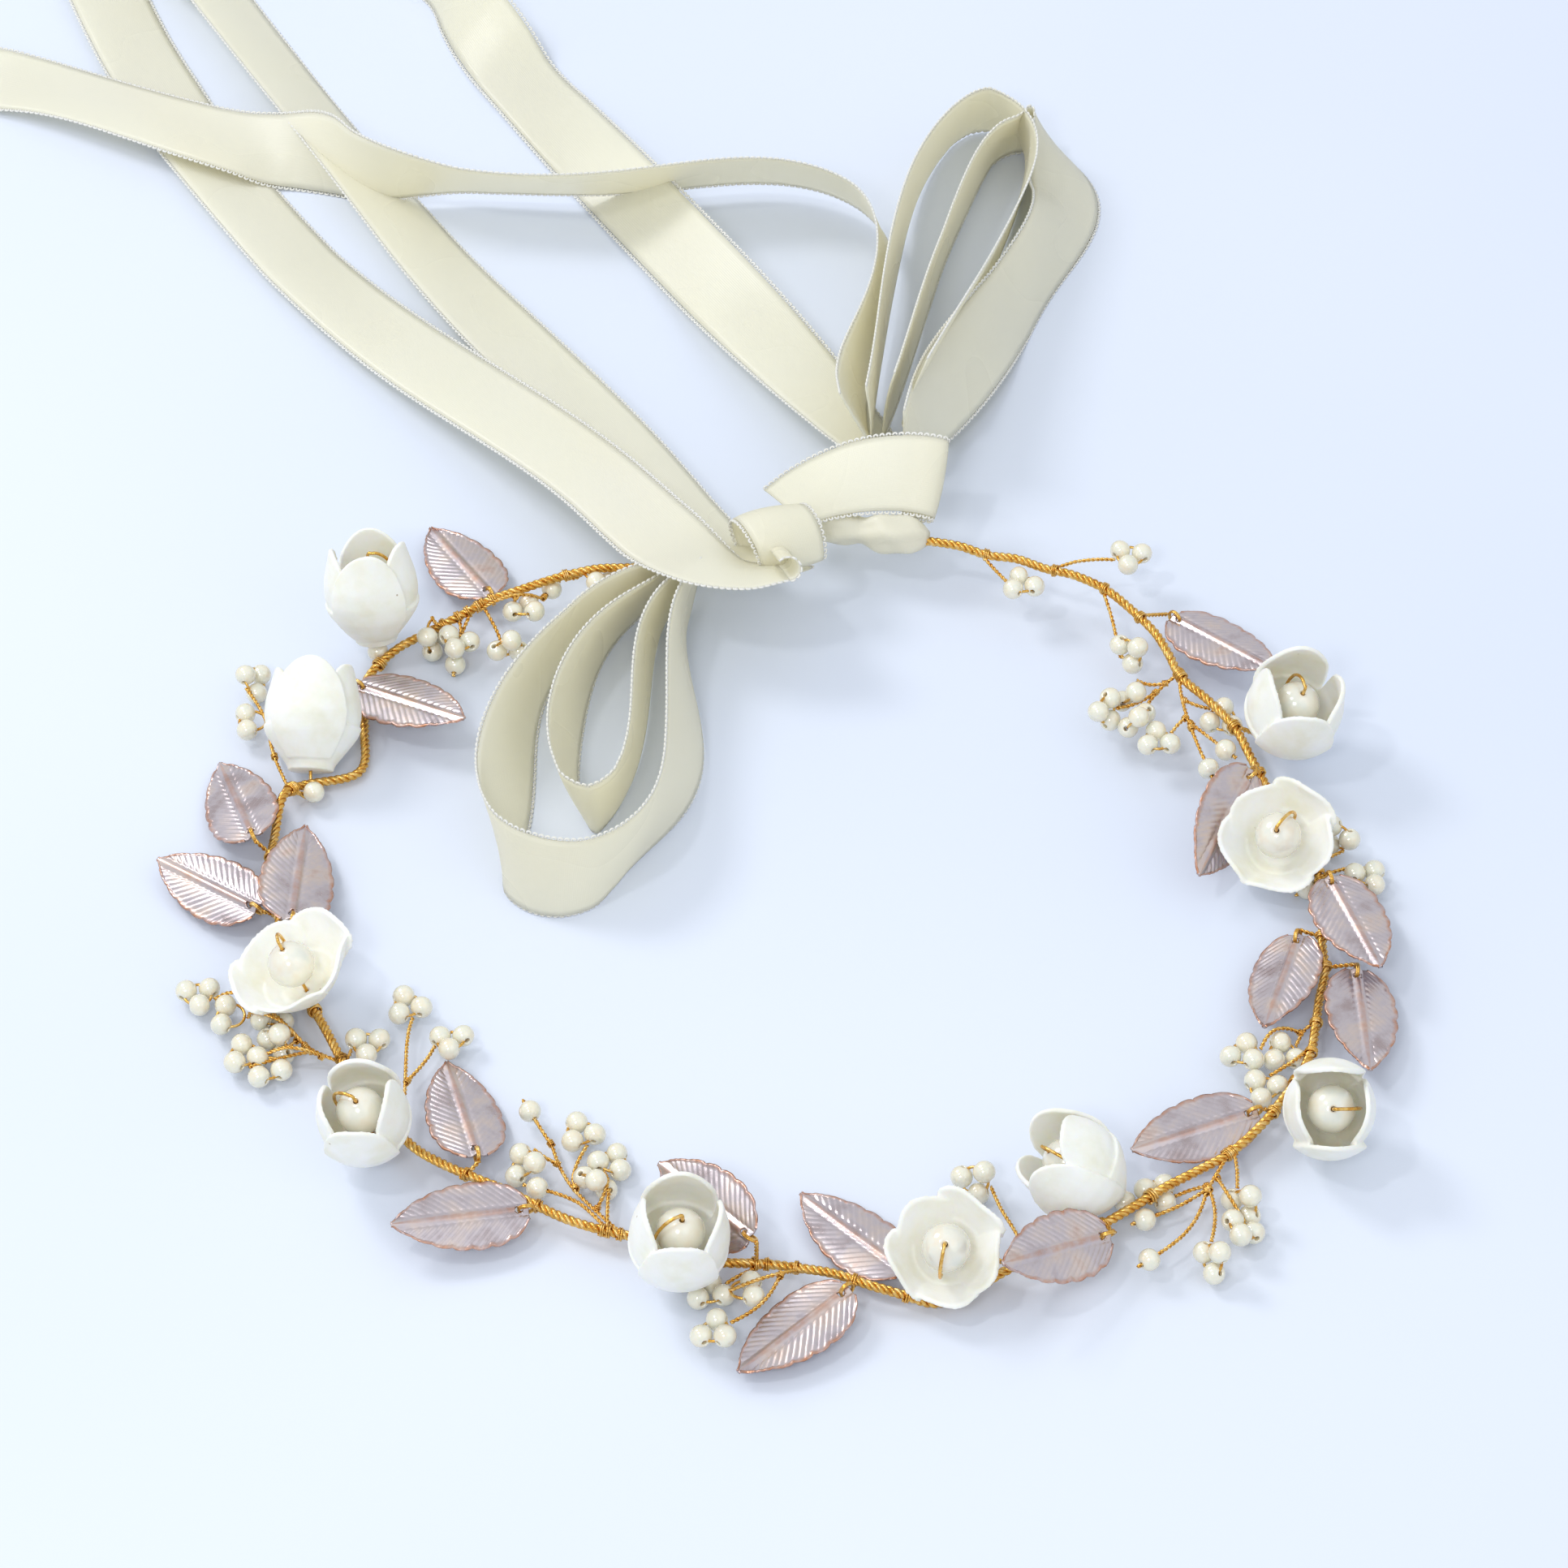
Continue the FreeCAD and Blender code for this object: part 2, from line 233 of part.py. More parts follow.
# ---- stems of the sprays ----
SPRAY_STEMS = (
    ((45.68, 74.55, 9.52), (47.38, 75.53, 9.38), (49.37, 76.5, 9.23), (51.64, 77.12, 9.06), (54.03, 77.51, 8.88), (56.48, 77.65, 8.65)),
    ((32.55, 77.37, 9.71), (33.73, 75.7, 9.41), (35.13, 73.85, 9.06), (36.66, 71.98, 8.7)),
    ((54.03, 68.47, 9.32), (54.56, 66.78, 8.64), (55.13, 64.82, 7.88), (55.63, 62.68, 7.15), (56.04, 60.45, 6.48), (56.4, 58.17, 5.82), (56.74, 55.87, 5.17)),
    ((66.8, 48.06, 7.84), (66.82, 46.02, 7.75), (66.97, 43.71, 7.66), (67.29, 41.28, 7.56), (67.74, 38.8, 7.47), (68.23, 36.31, 7.38)),
    ((66.05, 48.82, 7.5), (64.51, 47.82, 6.83), (62.92, 46.38, 6.14), (61.47, 44.56, 5.54), (60.14, 42.52, 5.04), (58.86, 40.39, 4.57)),
    ((64.31, 47.69, 6.91), (62.6, 47.36, 6.9), (60.9, 47.54, 6.89), (59.3, 48.48, 6.88)),
    ((62.5, 46.18, 6.12), (60.47, 44.56, 5.96), (58.14, 43.34, 5.79), (55.45, 42.8, 5.54)),
    ((67.35, 38.53, 7.42), (65.95, 37.07, 7.08), (64.76, 35.47, 6.66)),
    ((67.43, 42.84, 7.53), (69.67, 42.25, 6.8), (71.97, 42.27, 5.96)),
    ((68.32, 37.23, 7.37), (70.2, 35.41, 7.09), (72.17, 33.49, 6.81), (72.54, 33.13, 6.76), (75.96, 29.79, 6.28)),
    ((68.29, 36.17, 7.31), (68.88, 34.15, 6.96), (69.53, 32.01, 6.59), (70.26, 29.82, 6.22), (70.28, 29.77, 6.21), (71.82, 25.29, 5.46)),
    ((88.99, 6.76, 3.58), (90.44, 8.29, 3.04), (92.12, 9.95, 2.43), (93.95, 11.61, 1.79)),
    ((89.84, 3.97, 3.78), (91.74, 5, 3.51), (93.93, 6.06, 3.19), (96.29, 7.01, 2.85)),
    ((88.34, 2.4, 3.32), (87.72, 2.34, 2.81), (88.69, 2.43, 3.6), (84.98, 2.1, 0.57)),
    ((85.28, -30.87, 3.97), (84.33, -31.66, 3.68), (83.45, -33.13, 3.41), (82.6, -34.85, 3.13)),
    ((83.54, -32.31, 3.64), (81.28, -32.6, 5.03), (79.2, -33.44, 5.75), (77.66, -34.95, 5.64), (76.45, -37.01, 4.86)),
    ((84.3, -36.94, 4.43), (83.2, -38.48, 4.96), (81.7, -40, 5.14), (79.84, -41.28, 4.83), (77.74, -42.34, 4.17)),
    ((69.55, -60.72, 4.8), (68.45, -62.71, 4.66), (67.25, -64.96, 4.51), (66.07, -67.34, 4.35)),
    ((66.09, -66.34, 4.25), (63.5, -66.28, 3.11), (60.88, -66.59, 1.85)),
    ((65.85, -67.33, 4.33), (64.06, -68.59, 4.15), (62.12, -69.86, 3.95), (60.02, -70.97, 3.75), (57.8, -71.92, 3.56), (57.67, -71.98, 3.55), (53.22, -73.74, 3.16)),
    ((65.88, -67.77, 4.35), (65.22, -70.11, 4.35), (64.33, -72.47, 4.34), (63.16, -74.72, 4.34), (61.69, -76.81, 4.34), (59.91, -78.68, 4.33), (57.92, -80.41, 4.33), (57.63, -80.65, 4.33), (53.86, -83.62, 4.33)),
    ((66.32, -67.21, 4.45), (66.74, -69.6, 4.77), (66.94, -72.12, 5.12), (66.84, -74.69, 5.49), (66.48, -77.28, 5.9), (65.94, -79.87, 6.31)),
    ((70.83, -60.17, 5.04), (70.94, -61.95, 5.28), (71.01, -64.02, 5.55), (70.92, -66.21, 5.84), (70.77, -68.44, 6.14)),
    ((67.75, -64.8, 4.42), (68.19, -66.98, 5.59), (69.02, -69.12, 5.81), (70.35, -71.09, 4.71), (72, -72.91, 2.66)),
    ((36.02, -81.56, 4.79), (35.42, -79.68, 4.67), (34.7, -77.55, 4.53), (33.86, -75.33, 4.37), (32.88, -73.11, 4.19), (31.97, -70.84, 4.01), (31.23, -68.48, 3.83), (30.56, -66.1, 3.65)),
    ((-1.55, -83.72, 3.45), (-3.06, -85.47, 5.28), (-5.01, -86.99, 6.5), (-7.36, -87.97, 6.66), (-9.99, -88.46, 5.78), (-12.77, -88.69, 4.26)),
    ((-6.54, -82.17, 2.94), (-8.65, -83, 2.85), (-10.88, -84.18, 2.74), (-12.97, -85.73, 2.62)),
    ((-4.06, -86.42, 5.72), (-4.99, -88.63, 5.6), (-6.19, -90.78, 5.46), (-7.77, -92.68, 5.31), (-9.77, -94.24, 5.12), (-12.04, -95.57, 4.91)),
    ((-30.57, -74.65, 2.78), (-32.01, -73.14, 2.75), (-33.56, -71.36, 2.7), (-35.16, -69.47, 2.66), (-36.76, -67.51, 2.6), (-38.24, -65.45, 2.55), (-39.47, -63.22, 2.49), (-40.5, -60.86, 2.43), (-41.31, -58.37, 2.37), (-42, -55.81, 2.3)),
    ((-42.17, -55.74, 2.38), (-43.36, -53.81, 2.74), (-44.58, -51.74, 3.13), (-44.67, -51.58, 3.16), (-47.01, -47.46, 3.95)),
    ((-41.07, -60.33, 2.69), (-42.89, -60.04, 3.89), (-44.81, -59.25, 5.05)),
    ((-32.7, -74.29, 3.07), (-33.96, -72.61, 3.07), (-35.45, -70.78, 3.07), (-37.19, -69.07, 3.07), (-39.32, -67.74, 3.06), (-41.65, -66.72, 3.06), (-41.92, -66.63, 3.06), (-46.47, -65.13, 3.06)),
    ((-37.81, -65.5, 2.58), (-38.27, -63.22, 1.99), (-38.04, -60.96, 1.93), (-37.28, -58.73, 2.29), (-36.11, -56.56, 2.95)),
    ((-32.33, -74.15, 3.2), (-32.41, -71.96, 3.48), (-32.37, -69.49, 3.8), (-32.21, -66.91, 4.12)),
    ((-34.17, -69.98, 2.71), (-32.96, -67.75, 4.05), (-32.47, -65.32, 4.43), (-33.18, -62.79, 3.52)),
    ((-76.88, -38.19, 3.62), (-76.51, -37.06, 3.34), (-76.29, -35.64, 3.01)),
    ((-66.98, -53.61, 3.54), (-66.92, -51.49, 3.5), (-66.85, -49.09, 3.47), (-66.8, -46.56, 3.43), (-66.8, -43.98, 3.39), (-66.86, -41.36, 3.34), (-66.92, -38.74, 3.29), (-66.96, -36.12, 3.24), (-66.91, -33.5, 3.17), (-66.72, -30.91, 3.09), (-66.24, -28.36, 2.99)),
    ((-66.54, -42.94, 3.37), (-65.36, -41.13, 3.33), (-64.16, -39.17, 3.28), (-63.09, -37.08, 3.23), (-62.23, -34.88, 3.16)),
    ((-78.38, -38.64, 3.8), (-80.06, -37.83, 3.73), (-81.9, -36.76, 3.66), (-83.68, -35.38, 3.58), (-85.21, -33.64, 3.5), (-86.61, -31.73, 3.42), (-87.94, -29.74, 3.33)),
    ((-88.22, -30.16, 3.32), (-88.66, -30.33, 3.3), (-89.21, -30.55, 3.27)),
    ((-84.07, -35.12, 3.56), (-85.85, -33.83, 5.1), (-87.72, -32.41, 6.23), (-89.69, -31.27, 6.59), (-91.61, -30.08, 6.15), (-93.42, -28.94, 5.08), (-94.1, -28.33, 2.98)),
    ((-86.46, -32.17, 3.44), (-88, -30.49, 4.23), (-89.75, -28.88, 4.7), (-91.73, -27.4, 4.71), (-93.58, -25.91, 4.98), (-95.51, -24.69, 4.85), (-97.65, -23.8, 4.24), (-100.12, -24.13, 3.03)),
    ((-85.43, -34.03, 3.65), (-86.03, -35.11, 4.07), (-86.69, -36.29, 4.53)),
    ((-82.97, -36.49, 3.6), (-85.45, -37, 3.48), (-88.02, -37.75, 3.36), (-90.63, -38.47, 3.17), (-93.23, -39.37, 3)),
    ((-81.12, -37.71, 3.67), (-82.84, -37.87, 5.16), (-84.72, -37.98, 6.03), (-86.75, -37.57, 5.89), (-88.87, -37.15, 4.74), (-91.03, -36.81, 2.97)),
    ((-90.33, 24.65, 3.79), (-91.14, 26.65, 3.77), (-92.03, 28.92, 3.73), (-92.92, 31.32, 3.68), (-93.69, 33.81, 3.61), (-94.3, 36.37, 3.47), (-94.56, 39.04, 3.55), (-94.83, 41.71, 3.59)),
    ((-93.38, 32.69, 3.66), (-93.93, 35.02, 3.54), (-94.48, 37.53, 3.56), (-94.98, 39.98, 3.74), (-95.77, 42.4, 3.85), (-96.83, 44.75, 3.93), (-98.07, 47.04, 4), (-99.42, 49.3, 4.06)),
    ((-61.89, 64.89, 5.61), (-61.71, 63.76, 5.29), (-61.58, 62.43, 4.85)),
    ((-64.75, 63.84, 5.45), (-65.45, 63.46, 5.86), (-66.19, 63.72, 6.32), (-66.9, 64.81, 6.8)),
    ((-60.14, 65.93, 5.99), (-61.09, 64.09, 4.67), (-61.81, 61.93, 3.53), (-62.28, 59.61, 2.72), (-62.3, 59.44, 2.67), (-62.8, 54.79, 1.58)),
    ((-58.01, 66.77, 6.65), (-56.75, 66.5, 8.16), (-55.18, 66.38, 9.25), (-53.25, 66.99, 9.62), (-51.21, 67.89, 9.2), (-49.16, 68.92, 8.14), (-47.19, 70.01, 6.18)),
    ((-57.29, 66.31, 7.04), (-56.19, 64.54, 6.15), (-55.11, 62.63, 5.19), (-54.24, 60.6, 4.11), (-53.51, 58.52, 2.99)),
    ((-51.8, 67.8, 8.86), (-52.07, 68.24, 7.35), (-52.36, 68.73, 5.73)),
    ((-46.92, 70.39, 6.2), (-46.24, 71.34, 6.27), (-46.83, 70.51, 6.21), (-44.05, 74.41, 6.48)),
    ((-43.1, 71.99, 9.34), (-41.89, 72.23, 9.11), (-40.66, 72.98, 8.78), (-39.55, 74.2, 9.05)),
)
# ---- ribbon bands: stations of (lower edge, upper edge) ----
RIBBON = {
    "ribbon_front_loop_outer": (
        ((-14.89, 81.18, 2.7), (-12.82, 75.1, 16.26)),
        ((-19.92, 78.49, 2.28), (-17.64, 73.03, 16.06)),
        ((-24.75, 75.65, 2.15), (-22.12, 71.18, 16.23)),
        ((-29.04, 72.71, 2.15), (-26.58, 69.28, 16.54)),
        ((-32.74, 69.72, 2.1), (-31.04, 67.05, 16.76)),
        ((-35.94, 66.69, 1.85), (-35.35, 64.26, 16.64)),
        ((-38.85, 63.48, 1.31), (-39.27, 60.91, 16.08)),
        ((-41.55, 59.93, 0.55), (-42.68, 57.2, 15.26)),
        ((-43.9, 55.95, 0.55), (-45.68, 53.26, 15.2)),
        ((-45.77, 51.51, 0.55), (-48.39, 49.15, 15.13)),
        ((-47.03, 46.64, 0.55), (-50.87, 44.88, 14.94)),
        ((-47.66, 41.42, 0.55), (-53.1, 40.42, 14.5)),
        ((-47.85, 35.88, 0.55), (-54.92, 35.81, 13.78)),
        ((-47.89, 30.08, 0.55), (-56.18, 31.21, 13)),
        ((-48.07, 24.12, 0.55), (-56.79, 26.75, 12.46)),
        ((-48.56, 18.42, 0.55), (-56.78, 22.24, 12.5)),
        ((-49.47, 13.57, 0.55), (-56.23, 17.36, 13.39)),
        ((-50.86, 9.84, 0.55), (-55.16, 12.08, 14.74)),
        ((-52.11, 6.6, 0.55), (-53.1, 7.24, 15.5)),
        ((-51.67, 2.67, 0.55), (-50, 4.29, 15.37)),
        ((-48.02, -1.1, 0.55), (-46.26, 2.69, 14.96)),
        ((-42.25, -2.59, 0.55), (-42.1, 1.48, 14.99)),
        ((-36.74, -0.64, 0.55), (-37.7, 1.11, 15.42)),
        ((-33.32, 3.72, 0.55), (-33.11, 3.22, 15.54)),
        ((-30.56, 8.27, 0.55), (-29.27, 7.03, 15.44)),
        ((-27.59, 12.41, 0.55), (-26.62, 11.47, 15.49)),
        ((-24.53, 16.43, 0.55), (-25.05, 16.26, 15.54)),
        ((-21.7, 20.66, 0.78), (-24.29, 21.1, 15.55)),
        ((-19.5, 25.32, 1.15), (-23.97, 25.82, 15.46)),
        ((-18.23, 30.4, 1.49), (-23.85, 30.48, 15.4)),
        ((-17.92, 35.69, 1.7), (-23.85, 35.26, 15.48)),
        ((-18.26, 41, 1.8), (-23.93, 40.27, 15.67)),
        ((-18.95, 46.23, 1.84), (-24.02, 45.45, 15.94)),
        ((-19.75, 51.34, 1.85), (-23.99, 50.71, 16.22)),
        ((-20.48, 56.3, 1.84), (-23.58, 55.91, 16.51)),
        ((-21.03, 61.13, 1.85), (-22.57, 60.9, 16.77)),
        ((-21.14, 65.93, 1.94), (-20.79, 65.45, 16.93)),
        ((-20.39, 70.77, 2.15), (-18.29, 69.33, 16.94)),
        ((-18.27, 75.5, 2.45), (-15.19, 72.54, 16.83)),
        ((-14.72, 79.62, 2.74), (-11.16, 75.46, 16.7)),
    ),
    "ribbon_front_loop_inner": (
        ((-16.14, 80.4, 2.17), (-14.38, 74.48, 15.84)),
        ((-21.09, 77.98, 1.76), (-18.85, 72.02, 15.34)),
        ((-25.64, 74.87, 1.32), (-22.74, 69.47, 15.01)),
        ((-29.51, 71.18, 0.87), (-26.36, 66.75, 14.85)),
        ((-32.65, 67, 0.55), (-29.79, 63.82, 14.92)),
        ((-35.07, 62.46, 0.55), (-33.04, 60.58, 15.29)),
        ((-36.83, 57.68, 0.55), (-36.09, 56.95, 15.51)),
        ((-38.06, 52.75, 0.55), (-38.83, 52.87, 15.53)),
        ((-38.9, 47.74, 0.55), (-41.13, 48.33, 15.37)),
        ((-39.51, 42.64, 0.55), (-42.9, 43.37, 15.14)),
        ((-39.95, 37.43, 0.55), (-44.06, 38.04, 14.96)),
        ((-40.15, 32.18, 0.55), (-44.58, 32.47, 14.88)),
        ((-39.89, 27.06, 0.55), (-44.35, 26.85, 14.87)),
        ((-38.95, 22.24, 0.55), (-43.27, 21.36, 14.89)),
        ((-37.44, 18.15, 0.55), (-41.03, 16.39, 15.01)),
        ((-36.39, 17.13, 0.55), (-37.35, 14.15, 15.22)),
        ((-35.21, 18.34, 0.62), (-33.97, 16.42, 15.45)),
        ((-33.32, 21.53, 0.76), (-32.04, 20.4, 15.66)),
        ((-31.43, 26.02, 0.89), (-30.95, 25.4, 15.87)),
        ((-29.89, 31.15, 1.05), (-30.42, 30.78, 16.03)),
        ((-28.82, 36.43, 1.23), (-30.24, 36.16, 16.16)),
        ((-28.13, 41.73, 1.4), (-30.14, 41.51, 16.26)),
        ((-27.7, 46.93, 1.53), (-29.88, 46.8, 16.37)),
        ((-27.41, 51.99, 1.6), (-29.21, 51.99, 16.49)),
        ((-27.12, 56.91, 1.62), (-27.93, 56.94, 16.59)),
        ((-26.64, 61.75, 1.64), (-25.95, 61.49, 16.62)),
        ((-25.68, 66.57, 1.74), (-23.28, 65.44, 16.5)),
        ((-23.79, 71.34, 1.92), (-20.07, 68.73, 16.21)),
        ((-20.6, 75.82, 2.1), (-16.42, 71.47, 15.83)),
        ((-16.27, 79.56, 2.2), (-11.87, 74, 15.41)),
    ),
    "ribbon_back_loop_near": (
        ((17.89, 102.53, 5.95), (18.39, 104.07, 20.87)),
        ((21.39, 106.52, 5.56), (19.37, 109.31, 20.16)),
        ((24.7, 110.55, 5.35), (20.43, 114.42, 19.19)),
        ((27.78, 114.67, 5.22), (21.64, 119.35, 18.08)),
        ((30.58, 118.9, 5.08), (23.04, 124.12, 16.95)),
        ((33.11, 123.22, 4.81), (24.67, 128.75, 15.91)),
        ((35.34, 127.63, 4.32), (26.53, 133.26, 15.07)),
        ((37.32, 132.11, 3.6), (28.61, 137.68, 14.47)),
        ((39.12, 136.66, 2.72), (30.87, 142.05, 14.03)),
        ((40.8, 141.28, 1.79), (33.22, 146.38, 13.68)),
        ((42.46, 145.93, 0.88), (35.61, 150.71, 13.34)),
        ((44.17, 150.63, 0.55), (37.98, 155.07, 13.47)),
        ((46.02, 155.33, 0.55), (40.24, 159.49, 13.75)),
        ((48.14, 160.06, 0.55), (42.23, 164.01, 13.76)),
        ((50.53, 164.86, 0.55), (43.73, 168.65, 13.37)),
        ((53.08, 169.87, 0.55), (44.59, 173.39, 12.41)),
        ((55.49, 175.29, 0.55), (44.83, 178.13, 10.72)),
        ((57.3, 181.27, 0.55), (44.66, 182.81, 8.49)),
        ((57.7, 187.58, 0.55), (44.61, 187.29, 7.87)),
        ((56.14, 193.68, 0.55), (44.95, 191.38, 10.28)),
        ((52.83, 198.96, 0.55), (45.22, 194.97, 12.84)),
        ((47.81, 202.45, 0.55), (45.3, 197.8, 14.59)),
        ((42.38, 202.38, 0.55), (44.46, 198.68, 14.94)),
        ((37.97, 199.38, 0.55), (42.38, 196.39, 14.57)),
        ((35.72, 194.53, 0.55), (39.12, 193.62, 15.13)),
        ((33.92, 189.51, 0.55), (36.33, 189.68, 15.35)),
        ((32.25, 184.38, 0.55), (34.1, 185.08, 15.42)),
        ((30.61, 179.26, 0.55), (32.29, 180.25, 15.42)),
        ((29.03, 174.2, 0.55), (30.74, 175.39, 15.4)),
        ((27.57, 169.19, 0.55), (29.33, 170.54, 15.38)),
        ((26.26, 164.2, 0.55), (28.03, 165.71, 15.37)),
        ((25.07, 159.23, 0.55), (26.81, 160.89, 15.36)),
        ((23.97, 154.29, 1.18), (25.66, 156.08, 15.97)),
        ((22.95, 149.38, 1.9), (24.58, 151.26, 16.69)),
        ((21.97, 144.48, 2.65), (23.55, 146.44, 17.43)),
        ((21.02, 139.61, 3.4), (22.57, 141.61, 18.19)),
        ((20.08, 134.75, 4.16), (21.61, 136.76, 18.95)),
        ((19.11, 129.9, 4.93), (20.67, 131.9, 19.71)),
        ((18.1, 125.07, 5.68), (19.74, 127.01, 20.46)),
        ((17.03, 120.25, 6.43), (18.8, 122.1, 21.21)),
        ((15.88, 115.43, 7.16), (17.83, 117.15, 21.93)),
        ((14.66, 110.58, 7.87), (16.79, 112.21, 22.63)),
    ),
    "ribbon_back_loop_far": (
        ((12.05, 105.86, 9.05), (11.48, 107.08, 23.99)),
        ((12.54, 110.93, 8.65), (12.15, 112.17, 23.6)),
        ((13.02, 115.96, 8.23), (12.75, 117.27, 23.17)),
        ((13.51, 120.96, 7.79), (13.29, 122.34, 22.73)),
        ((14, 125.92, 7.33), (13.79, 127.36, 22.26)),
        ((14.51, 130.83, 6.85), (14.26, 132.34, 21.77)),
        ((15.05, 135.7, 6.36), (14.72, 137.25, 21.28)),
        ((15.6, 140.54, 5.86), (15.19, 142.12, 20.77)),
        ((16.18, 145.36, 5.36), (15.69, 146.97, 20.27)),
        ((16.78, 150.2, 4.86), (16.24, 151.8, 19.77)),
        ((17.42, 155.07, 4.37), (16.86, 156.65, 19.27)),
        ((18.08, 160, 3.88), (17.57, 161.52, 18.79)),
        ((18.76, 165.01, 3.4), (18.41, 166.44, 18.33)),
        ((19.47, 170.11, 2.94), (19.39, 171.42, 17.88)),
        ((20.23, 175.28, 2.51), (20.58, 176.43, 17.46)),
        ((21.13, 180.48, 2.11), (22.02, 181.39, 17.06)),
        ((22.24, 185.68, 1.76), (23.73, 186.26, 16.67)),
        ((23.67, 190.82, 1.46), (25.74, 190.96, 16.31)),
        ((25.49, 195.87, 1.21), (28.08, 195.45, 15.98)),
        ((27.75, 200.82, 1.04), (30.84, 199.58, 15.66)),
        ((30.58, 205.3, 0.95), (33.85, 202.73, 15.36)),
        ((34.62, 208.41, 0.89), (36.35, 204, 15.13)),
        ((39.83, 208.09, 0.84), (37.73, 203.64, 15.01)),
        ((43.29, 204.14, 0.7), (39.82, 201.88, 15.11)),
        ((44.46, 198.92, 0.55), (42.46, 198.54, 15.41)),
        ((44.07, 193.7, 0.55), (44.51, 194.11, 15.54)),
        ((43.03, 188.59, 0.79), (45.41, 188.94, 15.6)),
        ((41.78, 183.43, 1.11), (45.19, 183.49, 15.72)),
        ((40.41, 178.2, 1.43), (44.22, 178.11, 15.94)),
        ((38.97, 173.01, 1.78), (42.88, 172.95, 16.26)),
        ((37.51, 168, 2.17), (41.44, 168.06, 16.65)),
        ((35.99, 163.17, 2.63), (39.97, 163.35, 17.09)),
        ((34.41, 158.47, 3.15), (38.48, 158.78, 17.58)),
        ((32.8, 153.85, 3.73), (36.97, 154.28, 18.13)),
        ((31.16, 149.27, 4.37), (35.44, 149.82, 18.74)),
        ((29.53, 144.66, 5.06), (33.86, 145.34, 19.4)),
        ((27.91, 139.98, 5.79), (32.26, 140.81, 20.13)),
        ((26.32, 135.19, 6.58), (30.62, 136.2, 20.91)),
        ((24.74, 130.34, 7.42), (28.98, 131.52, 21.76)),
        ((23.17, 125.45, 8.32), (27.35, 126.82, 22.66)),
        ((21.59, 120.56, 9.28), (25.75, 122.12, 23.6)),
        ((20.01, 115.7, 10.3), (24.21, 117.45, 24.59)),
        ((18.46, 110.95, 11.37), (22.7, 112.79, 25.64)),
    ),
    "ribbon_tail_a": (
        ((-2.54, 60.05, 20.45), (-4.89, 72.54, 12.48)),
        ((-10.21, 58.44, 19.92), (-10.31, 72, 13.51)),
        ((-18.67, 60, 19.55), (-13.14, 73.21, 15.09)),
        ((-25.69, 64.29, 18.45), (-15.9, 75.51, 16.61)),
        ((-30.93, 69.89, 16.66), (-19.3, 79.31, 17.6)),
        ((-35.24, 76.03, 15.57), (-22.88, 84.43, 16.96)),
        ((-39.13, 82.28, 14.48), (-26.58, 90.38, 15.77)),
        ((-42.9, 88.26, 13.33), (-30.5, 96.63, 14.42)),
        ((-46.75, 93.88, 12.13), (-34.67, 102.71, 13.15)),
        ((-50.75, 99.28, 10.87), (-38.99, 108.53, 11.98)),
        ((-54.89, 104.53, 9.61), (-43.42, 114.11, 10.87)),
        ((-59.16, 109.68, 8.38), (-47.91, 119.5, 9.82)),
        ((-63.52, 114.77, 7.21), (-52.43, 124.74, 8.8)),
        ((-67.97, 119.84, 6.13), (-56.94, 129.87, 7.79)),
        ((-72.47, 124.95, 5.17), (-61.4, 134.95, 6.79)),
        ((-77, 130.13, 4.36), (-65.8, 140, 5.77)),
        ((-81.51, 135.41, 3.71), (-70.11, 145.1, 4.75)),
        ((-85.96, 140.81, 3.2), (-74.34, 150.28, 3.75)),
        ((-90.34, 146.3, 2.81), (-78.52, 155.54, 2.8)),
        ((-94.62, 151.88, 2.52), (-82.63, 160.88, 1.93)),
        ((-98.81, 157.55, 2.3), (-86.68, 166.31, 1.18)),
        ((-102.9, 163.3, 2.14), (-90.65, 171.82, 0.57)),
        ((-106.89, 169.12, 2.49), (-94.54, 177.41, 0.55)),
        ((-110.79, 175.01, 2.74), (-98.34, 183.09, 0.55)),
        ((-114.6, 180.96, 2.84), (-102.04, 188.84, 0.55)),
        ((-118.31, 186.99, 2.78), (-105.62, 194.67, 0.55)),
        ((-121.92, 193.08, 2.59), (-109.08, 200.56, 0.55)),
        ((-125.44, 199.26, 2.28), (-112.42, 206.51, 0.55)),
        ((-128.83, 205.5, 2.11), (-115.64, 212.51, 0.71)),
        ((-132.11, 211.82, 2.08), (-118.75, 218.55, 0.95)),
        ((-135.24, 218.2, 2.01), (-121.74, 224.64, 0.98)),
        ((-138.24, 224.64, 1.86), (-124.6, 230.78, 0.75)),
        ((-141.09, 231.13, 1.89), (-127.34, 236.96, 0.55)),
        ((-143.8, 237.66, 2.09), (-129.95, 243.2, 0.55)),
        ((-146.36, 244.23, 2.15), (-132.41, 249.5, 0.55)),
        ((-148.76, 250.76, 2.04), (-134.75, 255.91, 0.55)),
        ((-152.94, 261.4, 1.18), (-138.88, 266.57, 0.58)),
        ((-157.11, 272.05, 0.6), (-143.03, 277.22, 0.6)),
        ((-161.27, 282.7, 0.6), (-147.19, 287.87, 0.6)),
        ((-165.42, 293.35, 0.6), (-151.34, 298.52, 0.6)),
        ((-169.58, 303.99, 0.6), (-155.5, 309.17, 0.6)),
    ),
    "ribbon_tail_b": (
        ((-6.34, 67.41, 14.83), (-6.9, 81.24, 9.05)),
        ((-13.65, 67.78, 14.77), (-8.2, 80.31, 8.58)),
        ((-20.41, 73.23, 14.05), (-9.62, 82.1, 8.58)),
        ((-25.04, 79.55, 13.09), (-12.84, 87.05, 8.63)),
        ((-29, 86.13, 12.49), (-16.43, 93.08, 8.17)),
        ((-32.73, 92.58, 11.71), (-20.02, 99.49, 7.76)),
        ((-36.34, 98.69, 10.82), (-23.58, 105.77, 7.35)),
        ((-39.88, 104.55, 9.88), (-27.1, 111.84, 6.91)),
